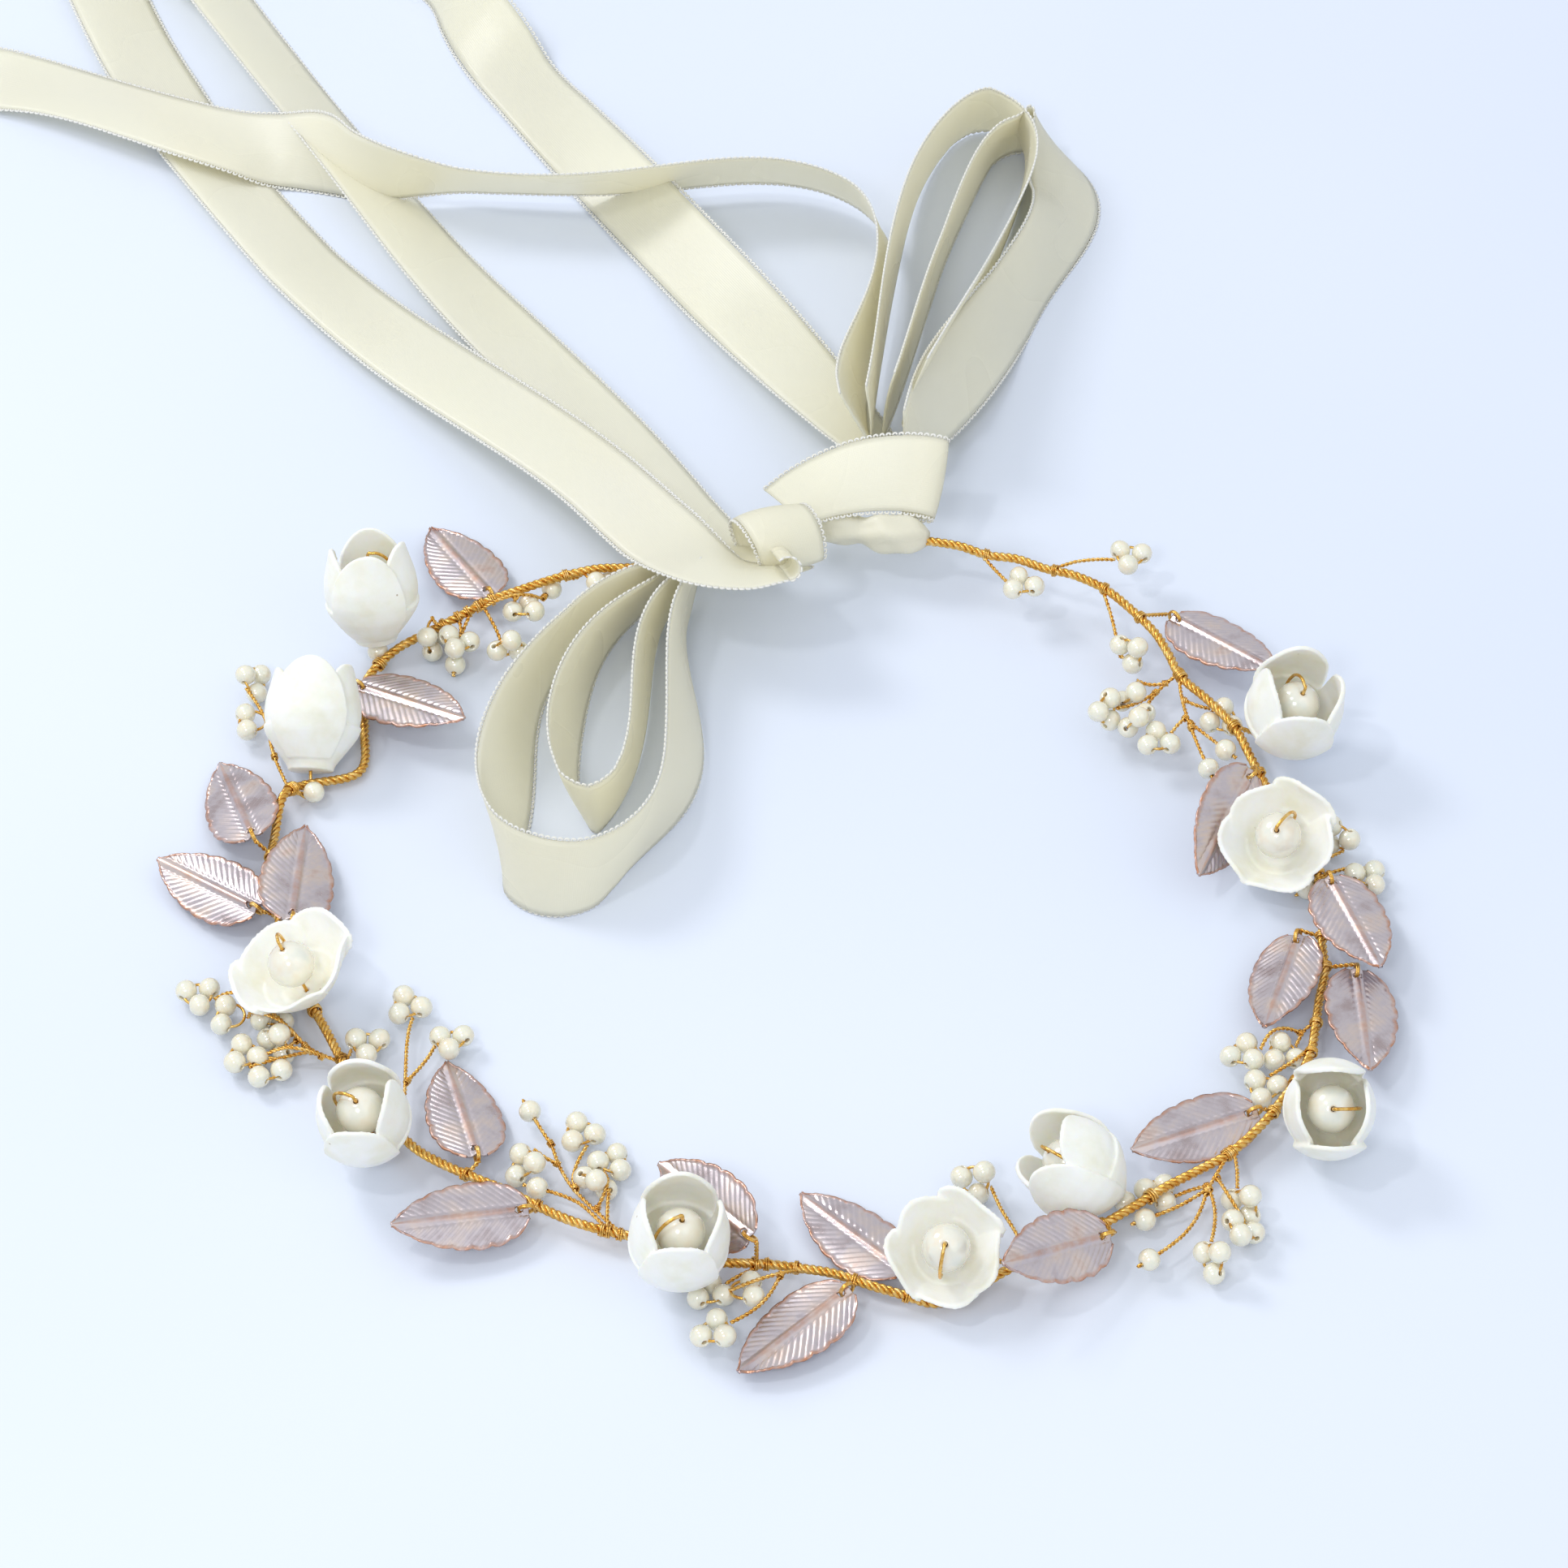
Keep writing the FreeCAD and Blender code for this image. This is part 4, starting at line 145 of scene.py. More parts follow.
# ---- flowers: name, cup, base centre, axis, size factor, pearl height, where the stem leaves the vine, its elbow ----
FLOWERS = (
    ("rosebud_1", "bud", (-76.68, 60.7, 5), (-0.07, 0.36, 0.93), 1.03, 11.2, (-76.252, 56.222, 2.346), (-76.358, 59.044, 0.721)),
    ("rosebud_2", "bud", (-86.82, 29.18, 3.59), (0.03, 0.808, 0.589), 1.045, 11.2, (-89.002, 24.606, 2.974), (-86.958, 25.464, 0.883)),
    ("open_rose_1", "rose", (-83.93, -23.42, 3.06), (-0.328, 0.02, 0.944), 1.093, 8.3, (-83.028, -25.46, 1.98), (-83.503, -23.446, 1.832)),
    ("rosebud_3", "bud", (-71.43, -54.91, 3), (-0.141, -0.292, 0.946), 0.945, 11.2, (-69.205, -52.897, 2.978), (-71.247, -54.531, 1.77)),
    ("rosebud_4", "bud", (-21.23, -81.93, 2.73), (0.091, -0.182, 0.979), 1.004, 11.2, (-20.247, -79.347, 1.901), (-21.348, -81.694, 1.457)),
    ("open_rose_2", "rose", (23.13, -80.11, 3.41), (-0.06, -0.533, 0.844), 0.943, 8.3, (34.108, -82.895, 4.453), (23.208, -79.418, 2.313)),
    ("rosebud_5", "bud", (51.23, -67.7, 3.84), (-0.763, 0.06, 0.643), 0.972, 11.2, (56.184, -69.294, 4.558), (54.742, -67.977, 0.882)),
    ("rosebud_6", "bud", (86.51, -49.23, 3.86), (0, -0.661, 0.751), 0.935, 11.2, (82.234, -45.491, 4.907), (86.51, -48.107, 2.584)),
    ("open_rose_3", "rose", (82.95, 11, 3.42), (-0.15, -0.489, 0.859), 0.993, 8.3, (85.504, 12.39, 3.599), (83.145, 11.636, 2.303)),
    ("rosebud_7", "bud", (84.1, 38.63, 3.08), (0.211, -0.251, 0.945), 1.034, 11.2, (76.227, 36.772, 7.032), (83.636, 39.183, 1.002)),
)
# ---- leaves: name, hole centre, direction to the tip, across, face normal, size factor ----
LEAVES = (
    ("leaf_1", (-57.38, 73.71, 4.71), (-0.483, 0.861, -0.156), (-0.872, -0.49, -0.005), (-0.081, 0.134, 0.988), 1.003),
    ("leaf_2", (-78.36, 49.27, 4.2), (0.811, -0.548, 0.207), (0.561, 0.828, -0.009), (-0.166, 0.124, 0.978), 1),
    ("leaf_3", (-95.93, 11.76, 6.42), (-0.314, 0.925, -0.212), (-0.893, -0.363, -0.266), (-0.323, 0.106, 0.94), 0.999),
    ("leaf_4", (-95.02, -4.75, 5.44), (-0.788, 0.605, -0.111), (-0.553, -0.776, -0.304), (-0.27, -0.178, 0.946), 0.947),
    ("leaf_5", (-87.57, -8.85, 7.62), (0.031, 0.992, -0.126), (-0.966, 0.062, 0.25), (0.255, 0.114, 0.96), 1.023),
    ("leaf_6", (-54.48, -59.04, 4.77), (-0.253, 0.956, -0.146), (-0.964, -0.237, 0.12), (0.081, 0.171, 0.982), 0.998),
    ("leaf_7", (-46.92, -72.19, 5.03), (-0.967, -0.234, 0.103), (0.194, -0.935, -0.298), (0.165, -0.268, 0.949), 0.932),
    ("leaf_8", (-9.88, -80.3, 9.08), (-0.64, 0.76, -0.113), (-0.476, -0.508, -0.718), (-0.603, -0.406, 0.687), 0.964),
    ("leaf_9", (14.91, -82.81, 3.42), (-0.689, 0.722, -0.061), (-0.724, -0.689, 0.028), (-0.022, 0.064, 0.998), 0.99),
    ("leaf_10", (5.7, -89.61, 4.75), (-0.752, -0.651, -0.104), (0.652, -0.758, 0.024), (-0.094, -0.05, 0.994), 0.963),
    ("leaf_11", (47.95, -79.96, 7.69), (-0.778, -0.535, 0.33), (0.348, -0.804, -0.483), (0.523, -0.261, 0.811), 0.937),
    ("leaf_12", (73.53, -51.39, 4.96), (-0.913, -0.406, 0.044), (0.391, -0.899, -0.197), (0.12, -0.162, 0.98), 0.948),
    ("leaf_13", (90.87, -0.94, 6.9), (0.292, -0.953, 0.084), (0.956, 0.293, 0.004), (-0.029, 0.079, 0.997), 0.975),
    ("leaf_14", (83.84, -13.13, 5.27), (-0.307, -0.951, 0.025), (0.928, -0.293, 0.231), (-0.212, 0.095, 0.973), 0.93),
    ("leaf_15", (93.8, -20.83, 5.02), (0.022, -0.999, 0.049), (0.989, 0.014, -0.145), (0.144, 0.051, 0.988), 0.973),
    ("leaf_16", (77.48, 21.71, 9.5), (-0.42, -0.902, -0.102), (0.647, -0.219, -0.731), (0.636, -0.373, 0.675), 1.01),
    ("leaf_17", (67.86, 65.33, 5.25), (0.7, -0.698, 0.15), (0.712, 0.699, -0.069), (-0.056, 0.155, 0.986), 0.996),
)
# ---- tie stems: from each leaf's ring to the vine ----
TIE_STEMS = (
    ((-55.93, 71.126, 5.178), (-55.776, 69.416, 6.778)),
    ((-80.792, 50.913, 3.58), (-79.232, 51.641, 2.604)),
    ((-94.989, 8.983, 7.056), (-92.868, 8.459, 4.708)),
    ((-92.656, -6.566, 5.773), (-91.001, -5.939, 4.549)),
    ((-87.663, -11.825, 7.998), (-88.391, -11.9, 2.784)),
    ((-53.721, -61.909, 5.207), (-55.117, -64.125, 5.266)),
    ((-44.019, -71.489, 4.722), (-43.974, -70.7, 4.068)),
    ((-7.959, -82.579, 9.418), (-7.992, -82.21, 4.213)),
    ((16.977, -84.976, 3.603), (16.434, -87.608, 3.094)),
    ((7.957, -87.658, 5.062), (8.036, -86.97, 4.609)),
    ((50.284, -78.356, 6.701), (48.985, -76.076, 5.636)),
    ((76.268, -50.171, 4.827), (76.981, -50.947, 5.206)),
    ((89.994, 1.918, 6.648), (89.36, 1.615, 4.738)),
    ((84.762, -10.276, 5.194), (87.765, -10.825, 4.367)),
    ((93.735, -17.834, 4.874), (89.362, -17.908, 4.236)),
    ((78.741, 24.415, 9.807), (79.683, 25.261, 7.191)),
    ((65.76, 67.425, 4.801), (60.538, 63.397, 8.425)),
)
# ---- bead sprays: node, then florets as (bead centres, loop (centre, normal, radius) or the stem direction of a single bead) ----
SPRAYS = (
    ("pearl_spray_right_back", (
        (((57.53, 80.12, 8.65), (61.45, 79.32, 8.65), (58.8, 76.33, 8.65)), ((59.26, 78.592, 8.65), (-0, -0, 1), 2.308)),
        (((38.94, 73.42, 8.44), (37.78, 69.69, 8.98), (41.69, 70.61, 8.75)), ((39.477, 71.21, 8.727), (0.026, 0.135, 0.991), 2.293)),
        (((56.58, 56.55, 7.8), (59.58, 54.36, 9.3), (58.8, 54.21, 5.43)), ((58.305, 55.053, 7.514), (-0.632, -0.759, 0.157), 2.302)),
        (((54.25, 42.93, 8), (52.04, 39.67, 7.89), (54.31, 40.59, 4.79)), ((53.54, 41.068, 6.886), (0.754, -0.524, 0.396), 2.283)),
        (((56.58, 44.96, 5.17), (58.86, 44.12, 8.28)), ((58.161, 45.737, 6.725), (-0.739, 0.272, 0.616), 2.35)),
        (((59.07, 37.35, 8.86), (60.47, 40.45, 6.71), (57.36, 38.17, 5.41)), ((58.986, 38.692, 6.974), (-0.642, 0.611, 0.463), 2.316)),
        (((62.13, 36.03, 6.67), (60.5, 32.45, 6.87), (64.48, 32.8, 6.79)), ((62.39, 33.751, 6.777), (0.016, 0.049, 0.999), 2.296)),
        (((71.87, 39.66, 5.24), (74.49, 42.45, 6.1), (75.81, 38.86, 5.16)), ((74.055, 40.289, 5.49), (-0.034, -0.265, 0.964), 2.287)),
        (((74.18, 31.53, 6.53),), ((0.712, -0.695, -0.1),)),
        (((71.02, 27.62, 5.85),), ((0.321, -0.934, -0.156),)),
    )),
    ("pearl_spray_right_front", (
        (((91.68, 13.68, 5.97), (94.81, 11.94, 4.33), (91.61, 12.68, 2.15)), ((92.697, 12.768, 4.149), (-0.372, -0.896, 0.241), 2.277)),
        (((95.28, 4.74, 3.38), (98.82, 6.2, 2.51), (98.56, 2.26, 3.15)), ((97.537, 4.338, 3.026), (0.179, 0.146, 0.973), 2.32)),
        (((86.91, 2.27, 2.15),), ((-0.773, -0.069, -0.631),)),
        (((74.21, -35.46, 4.55), (71.37, -38.27, 4.44), (75.12, -39.4, 4.87)), ((73.596, -37.684, 4.621), (-0.096, 0.059, 0.994), 2.309)),
        (((79.95, -34.56, 3.72), (82.55, -37.4, 2.84), (78.71, -38.3, 3.53)), ((80.409, -36.774, 3.36), (0.202, -0.116, 0.972), 2.29)),
        (((75.24, -43.28, 4), (78.93, -44.64, 4.2), (76, -47.26, 3.98)), ((76.679, -45.068, 4.057), (-0.06, -0.017, 0.998), 2.296)),
    )),
    ("pearl_spray_front_right", (
        (((59.2, -64.46, 2.15), (55.86, -66.32, 3.32), (59.09, -68.46, 2.56)), ((58.069, -66.398, 2.67), (0.284, 0.09, 0.955), 2.304)),
        (((55.54, -72.82, 3.36),), ((-0.927, -0.367, -0.081),)),
        (((55.82, -82.07, 4.33),), ((-0.786, -0.619, 0),)),
        (((64.83, -80.04, 3.74), (67.18, -82.12, 6.22), (66.35, -83.58, 2.65)), ((66.108, -81.896, 4.198), (-0.804, -0.461, 0.375), 2.3)),
        (((70, -68.7, 3.49), (72.84, -70, 5.98), (72.87, -71.18, 2.22)), ((71.886, -69.949, 3.891), (-0.571, -0.785, 0.242), 2.297)),
        (((69.81, -73.65, 4.13), (70.89, -77.46, 5.03), (73.28, -75.21, 2.86)), ((71.291, -75.421, 4.018), (0.45, 0.324, 0.832), 2.311)),
    )),
    ("pearl_spray_front", (
        (((25.74, -64.14, 3.92), (29.41, -64.45, 5.5), (28.51, -66.33, 2.15)), ((27.879, -64.959, 3.874), (-0.294, -0.798, 0.527), 2.291)),
        (((-15.34, -85.19, 2.15), (-17.39, -88.52, 2.39), (-13.3, -88.41, 3.03)), ((-15.345, -87.464, 2.538), (-0.157, 0.167, 0.974), 2.306)),
        (((-8.84, -86.18, 3.73), (-8.38, -90.04, 4.74)), ((-9.822, -88.254, 4.235), (-0.03, 0.25, 0.968), 2.35)),
        (((-14.31, -94.49, 4.35), (-16.81, -97.57, 4.01), (-12.96, -98.25, 4.88)), ((-14.678, -96.772, 4.417), (-0.209, 0.062, 0.976), 2.313)),
        (((-45.79, -49.61, 3.54),), ((-0.487, 0.858, 0.164),)),
        (((-47.06, -58.95, 3.49), (-44.63, -61.91, 4.78), (-47.68, -62.83, 2.47)), ((-46.473, -61.19, 3.575), (-0.576, -0.12, 0.808), 2.317)),
        (((-44.1, -65.91, 3.06),), ((-0.95, 0.313, 0),)),
        (((-37.95, -51.65, 3.03), (-34.89, -54.13, 2.95), (-38.58, -55.66, 3.01)), ((-37.178, -53.826, 2.997), (0.02, -0.008, 1), 2.309)),
        (((-34.21, -60.44, 3.31), (-31.16, -58.07, 2.56), (-30.52, -61.99, 3.05)), ((-31.949, -60.19, 2.975), (0.13, 0.144, 0.981), 2.3)),
        (((-34.37, -66.36, 5.61), (-36.42, -63.72, 3.24), (-32.73, -65.48, 2.15)), ((-34.555, -65.122, 3.607), (0.489, 0.762, 0.425), 2.362)),
    )),
    ("pearl_spray_left_front", (
        (((-75.61, -33.12, 3), (-71.67, -33.19, 2.99), (-73.69, -36.64, 3)), ((-73.661, -34.341, 2.997), (0.003, 0.001, 1), 2.3)),
        (((-68.02, -23.41, 2.99), (-68.62, -27.39, 2.99), (-64.9, -25.92, 2.99)), ((-67.189, -25.571, 2.99), (0, 0, 1), 2.315)),
        (((-61.45, -32.45, 2.75), (-57.54, -32.62, 3.25), (-59.79, -35.91, 3.66)), ((-59.573, -33.673, 3.225), (-0.116, 0.2, 0.973), 2.29)),
        (((-105.02, -22.21, 2.98), (-101.1, -21.71, 3.03), (-102.52, -25.45, 2.99)), ((-102.906, -23.164, 2.999), (-0.012, -0.006, 1), 2.319)),
        (((-98.06, -25.75, 3.2), (-98.58, -29.63, 2.78)), ((-97.048, -27.86, 2.99), (-0.014, -0.106, 0.994), 2.35)),
        (((-94.79, -34.34, 2.99), (-95.71, -38.31, 3), (-91.93, -37.19, 2.99)), ((-94.168, -36.576, 2.993), (0.002, 0.002, 1), 2.321)),
        (((-90.48, -33.09, 2.93), (-88.25, -34.61, 5.87), (-87.7, -35.79, 2.15)), ((-88.82, -34.486, 3.658), (-0.671, -0.729, 0.132), 2.287)),
        (((-91.46, -41.53, 2.96), (-87.76, -40.03, 2.97)), ((-90.076, -39.631, 2.965), (-0.002, -0.001, 1), 2.35)),
        (((-91.8, -29.47, 3.65), (-91.42, -25.94, 2.15), (-88.22, -28.48, 2.15)), ((-90.409, -27.952, 2.623), (0.278, 0.35, 0.894), 2.301)),
    )),
    ("pearl_spray_left_back", (
        (((-99.62, 51.64, 5.13), (-97.18, 53.91, 2.9), (-97.7, 49.94, 2.15)), ((-98.138, 51.857, 3.367), (0.76, -0.215, 0.613), 2.313)),
        (((-99.23, 43.39, 3.59), (-98.66, 39.33, 3.59)), ((-97.807, 41.52, 3.59), (0, 0, 1), 2.35)),
        (((-63.7, 61.23, 5.59), (-59.94, 60.28, 4.91), (-62.46, 57.41, 6.09)), ((-62.056, 59.613, 5.541), (0.223, 0.197, 0.955), 2.306)),
        (((-66.78, 60.65, 2.15), (-67.54, 60.51, 5.9), (-66.07, 64.53, 2.27)), ((-66.807, 62.599, 4.172), (0.965, -0.182, 0.189), 2.809)),
        (((-62.54, 57.21, 2.15),), ((-0.104, -0.968, -0.227),)),
        (((-54.96, 57.87, 5.03), (-52.26, 57.52, 7.96), (-51.08, 58.5, 4.33)), ((-52.787, 57.962, 5.769), (-0.117, 0.968, 0.223), 2.297)),
        (((-52.36, 66.27, 6.64), (-49.58, 69.12, 5.91), (-48.39, 65.65, 7.33)), ((-50.153, 66.989, 6.631), (-0.108, 0.344, 0.932), 2.321)),
        (((-45.5, 72.38, 6.34),), ((0.58, 0.813, 0.056),)),
        (((-37.36, 70.27, 10.16), (-35.26, 72.61, 7.78)), ((-37.262, 72.294, 8.97), (0.403, 0.449, 0.797), 2.35)),
    )),
)
# ---- stems of the sprays ----
SPRAY_STEMS = (
    ((45.68, 74.55, 9.52), (47.38, 75.53, 9.38), (49.37, 76.5, 9.23), (51.64, 77.12, 9.06), (54.03, 77.51, 8.88), (56.48, 77.65, 8.65)),
    ((32.55, 77.37, 9.71), (33.73, 75.7, 9.41), (35.13, 73.85, 9.06), (36.66, 71.98, 8.7)),
    ((54.03, 68.47, 9.32), (54.56, 66.78, 8.64), (55.13, 64.82, 7.88), (55.63, 62.68, 7.15), (56.04, 60.45, 6.48), (56.4, 58.17, 5.82), (56.74, 55.87, 5.17)),
    ((66.8, 48.06, 7.84), (66.82, 46.02, 7.75), (66.97, 43.71, 7.66), (67.29, 41.28, 7.56), (67.74, 38.8, 7.47), (68.23, 36.31, 7.38)),
    ((66.05, 48.82, 7.5), (64.51, 47.82, 6.83), (62.92, 46.38, 6.14), (61.47, 44.56, 5.54), (60.14, 42.52, 5.04), (58.86, 40.39, 4.57)),
    ((64.31, 47.69, 6.91), (62.6, 47.36, 6.9), (60.9, 47.54, 6.89), (59.3, 48.48, 6.88)),
    ((62.5, 46.18, 6.12), (60.47, 44.56, 5.96), (58.14, 43.34, 5.79), (55.45, 42.8, 5.54)),
    ((67.35, 38.53, 7.42), (65.95, 37.07, 7.08), (64.76, 35.47, 6.66)),
    ((67.43, 42.84, 7.53), (69.67, 42.25, 6.8), (71.97, 42.27, 5.96)),
    ((68.32, 37.23, 7.37), (70.2, 35.41, 7.09), (72.17, 33.49, 6.81), (72.54, 33.13, 6.76), (75.96, 29.79, 6.28)),
    ((68.29, 36.17, 7.31), (68.88, 34.15, 6.96), (69.53, 32.01, 6.59), (70.26, 29.82, 6.22), (70.28, 29.77, 6.21), (71.82, 25.29, 5.46)),
    ((88.99, 6.76, 3.58), (90.44, 8.29, 3.04), (92.12, 9.95, 2.43), (93.95, 11.61, 1.79)),
    ((89.84, 3.97, 3.78), (91.74, 5, 3.51), (93.93, 6.06, 3.19), (96.29, 7.01, 2.85)),
    ((88.34, 2.4, 3.32), (87.72, 2.34, 2.81), (88.69, 2.43, 3.6), (84.98, 2.1, 0.57)),
    ((85.28, -30.87, 3.97), (84.33, -31.66, 3.68), (83.45, -33.13, 3.41), (82.6, -34.85, 3.13)),
    ((83.54, -32.31, 3.64), (81.28, -32.6, 5.03), (79.2, -33.44, 5.75), (77.66, -34.95, 5.64), (76.45, -37.01, 4.86)),
    ((84.3, -36.94, 4.43), (83.2, -38.48, 4.96), (81.7, -40, 5.14), (79.84, -41.28, 4.83), (77.74, -42.34, 4.17)),
    ((69.55, -60.72, 4.8), (68.45, -62.71, 4.66), (67.25, -64.96, 4.51), (66.07, -67.34, 4.35)),
    ((66.09, -66.34, 4.25), (63.5, -66.28, 3.11), (60.88, -66.59, 1.85)),
    ((65.85, -67.33, 4.33), (64.06, -68.59, 4.15), (62.12, -69.86, 3.95), (60.02, -70.97, 3.75), (57.8, -71.92, 3.56), (57.67, -71.98, 3.55), (53.22, -73.74, 3.16)),
    ((65.88, -67.77, 4.35), (65.22, -70.11, 4.35), (64.33, -72.47, 4.34), (63.16, -74.72, 4.34), (61.69, -76.81, 4.34), (59.91, -78.68, 4.33), (57.92, -80.41, 4.33), (57.63, -80.65, 4.33), (53.86, -83.62, 4.33)),
    ((66.32, -67.21, 4.45), (66.74, -69.6, 4.77), (66.94, -72.12, 5.12), (66.84, -74.69, 5.49), (66.48, -77.28, 5.9), (65.94, -79.87, 6.31)),
    ((70.83, -60.17, 5.04), (70.94, -61.95, 5.28), (71.01, -64.02, 5.55), (70.92, -66.21, 5.84), (70.77, -68.44, 6.14)),
    ((67.75, -64.8, 4.42), (68.19, -66.98, 5.59), (69.02, -69.12, 5.81), (70.35, -71.09, 4.71), (72, -72.91, 2.66)),
    ((36.02, -81.56, 4.79), (35.42, -79.68, 4.67), (34.7, -77.55, 4.53), (33.86, -75.33, 4.37), (32.88, -73.11, 4.19), (31.97, -70.84, 4.01), (31.23, -68.48, 3.83), (30.56, -66.1, 3.65)),
    ((-1.55, -83.72, 3.45), (-3.06, -85.47, 5.28), (-5.01, -86.99, 6.5), (-7.36, -87.97, 6.66), (-9.99, -88.46, 5.78), (-12.77, -88.69, 4.26)),
    ((-6.54, -82.17, 2.94), (-8.65, -83, 2.85), (-10.88, -84.18, 2.74), (-12.97, -85.73, 2.62)),
    ((-4.06, -86.42, 5.72), (-4.99, -88.63, 5.6), (-6.19, -90.78, 5.46), (-7.77, -92.68, 5.31), (-9.77, -94.24, 5.12), (-12.04, -95.57, 4.91)),
    ((-30.57, -74.65, 2.78), (-32.01, -73.14, 2.75), (-33.56, -71.36, 2.7), (-35.16, -69.47, 2.66), (-36.76, -67.51, 2.6), (-38.24, -65.45, 2.55), (-39.47, -63.22, 2.49), (-40.5, -60.86, 2.43), (-41.31, -58.37, 2.37), (-42, -55.81, 2.3)),
    ((-42.17, -55.74, 2.38), (-43.36, -53.81, 2.74), (-44.58, -51.74, 3.13), (-44.67, -51.58, 3.16), (-47.01, -47.46, 3.95)),
    ((-41.07, -60.33, 2.69), (-42.89, -60.04, 3.89), (-44.81, -59.25, 5.05)),
    ((-32.7, -74.29, 3.07), (-33.96, -72.61, 3.07), (-35.45, -70.78, 3.07), (-37.19, -69.07, 3.07), (-39.32, -67.74, 3.06), (-41.65, -66.72, 3.06), (-41.92, -66.63, 3.06), (-46.47, -65.13, 3.06)),
    ((-37.81, -65.5, 2.58), (-38.27, -63.22, 1.99), (-38.04, -60.96, 1.93), (-37.28, -58.73, 2.29), (-36.11, -56.56, 2.95)),
    ((-32.33, -74.15, 3.2), (-32.41, -71.96, 3.48), (-32.37, -69.49, 3.8), (-32.21, -66.91, 4.12)),
    ((-34.17, -69.98, 2.71), (-32.96, -67.75, 4.05), (-32.47, -65.32, 4.43), (-33.18, -62.79, 3.52)),
    ((-76.88, -38.19, 3.62), (-76.51, -37.06, 3.34), (-76.29, -35.64, 3.01)),
    ((-66.98, -53.61, 3.54), (-66.92, -51.49, 3.5), (-66.85, -49.09, 3.47), (-66.8, -46.56, 3.43), (-66.8, -43.98, 3.39), (-66.86, -41.36, 3.34), (-66.92, -38.74, 3.29), (-66.96, -36.12, 3.24), (-66.91, -33.5, 3.17), (-66.72, -30.91, 3.09), (-66.24, -28.36, 2.99)),
    ((-66.54, -42.94, 3.37), (-65.36, -41.13, 3.33), (-64.16, -39.17, 3.28), (-63.09, -37.08, 3.23), (-62.23, -34.88, 3.16)),
    ((-78.38, -38.64, 3.8), (-80.06, -37.83, 3.73), (-81.9, -36.76, 3.66), (-83.68, -35.38, 3.58), (-85.21, -33.64, 3.5), (-86.61, -31.73, 3.42), (-87.94, -29.74, 3.33)),
    ((-88.22, -30.16, 3.32), (-88.66, -30.33, 3.3), (-89.21, -30.55, 3.27)),
    ((-84.07, -35.12, 3.56), (-85.85, -33.83, 5.1), (-87.72, -32.41, 6.23), (-89.69, -31.27, 6.59), (-91.61, -30.08, 6.15), (-93.42, -28.94, 5.08), (-94.1, -28.33, 2.98)),
    ((-86.46, -32.17, 3.44), (-88, -30.49, 4.23), (-89.75, -28.88, 4.7), (-91.73, -27.4, 4.71), (-93.58, -25.91, 4.98), (-95.51, -24.69, 4.85), (-97.65, -23.8, 4.24), (-100.12, -24.13, 3.03)),
    ((-85.43, -34.03, 3.65), (-86.03, -35.11, 4.07), (-86.69, -36.29, 4.53)),
    ((-82.97, -36.49, 3.6), (-85.45, -37, 3.48), (-88.02, -37.75, 3.36), (-90.63, -38.47, 3.17), (-93.23, -39.37, 3)),
    ((-81.12, -37.71, 3.67), (-82.84, -37.87, 5.16), (-84.72, -37.98, 6.03), (-86.75, -37.57, 5.89), (-88.87, -37.15, 4.74), (-91.03, -36.81, 2.97)),
    ((-90.33, 24.65, 3.79), (-91.14, 26.65, 3.77), (-92.03, 28.92, 3.73), (-92.92, 31.32, 3.68), (-93.69, 33.81, 3.61), (-94.3, 36.37, 3.47), (-94.56, 39.04, 3.55), (-94.83, 41.71, 3.59)),
    ((-93.38, 32.69, 3.66), (-93.93, 35.02, 3.54), (-94.48, 37.53, 3.56), (-94.98, 39.98, 3.74), (-95.77, 42.4, 3.85), (-96.83, 44.75, 3.93), (-98.07, 47.04, 4), (-99.42, 49.3, 4.06)),
    ((-61.89, 64.89, 5.61), (-61.71, 63.76, 5.29), (-61.58, 62.43, 4.85)),
    ((-64.75, 63.84, 5.45), (-65.45, 63.46, 5.86), (-66.19, 63.72, 6.32), (-66.9, 64.81, 6.8)),
    ((-60.14, 65.93, 5.99), (-61.09, 64.09, 4.67), (-61.81, 61.93, 3.53), (-62.28, 59.61, 2.72), (-62.3, 59.44, 2.67), (-62.8, 54.79, 1.58)),
    ((-58.01, 66.77, 6.65), (-56.75, 66.5, 8.16), (-55.18, 66.38, 9.25), (-53.25, 66.99, 9.62), (-51.21, 67.89, 9.2), (-49.16, 68.92, 8.14), (-47.19, 70.01, 6.18)),
    ((-57.29, 66.31, 7.04), (-56.19, 64.54, 6.15), (-55.11, 62.63, 5.19), (-54.24, 60.6, 4.11), (-53.51, 58.52, 2.99)),
    ((-51.8, 67.8, 8.86), (-52.07, 68.24, 7.35), (-52.36, 68.73, 5.73)),
    ((-46.92, 70.39, 6.2), (-46.24, 71.34, 6.27), (-46.83, 70.51, 6.21), (-44.05, 74.41, 6.48)),
    ((-43.1, 71.99, 9.34), (-41.89, 72.23, 9.11), (-40.66, 72.98, 8.78), (-39.55, 74.2, 9.05)),
)
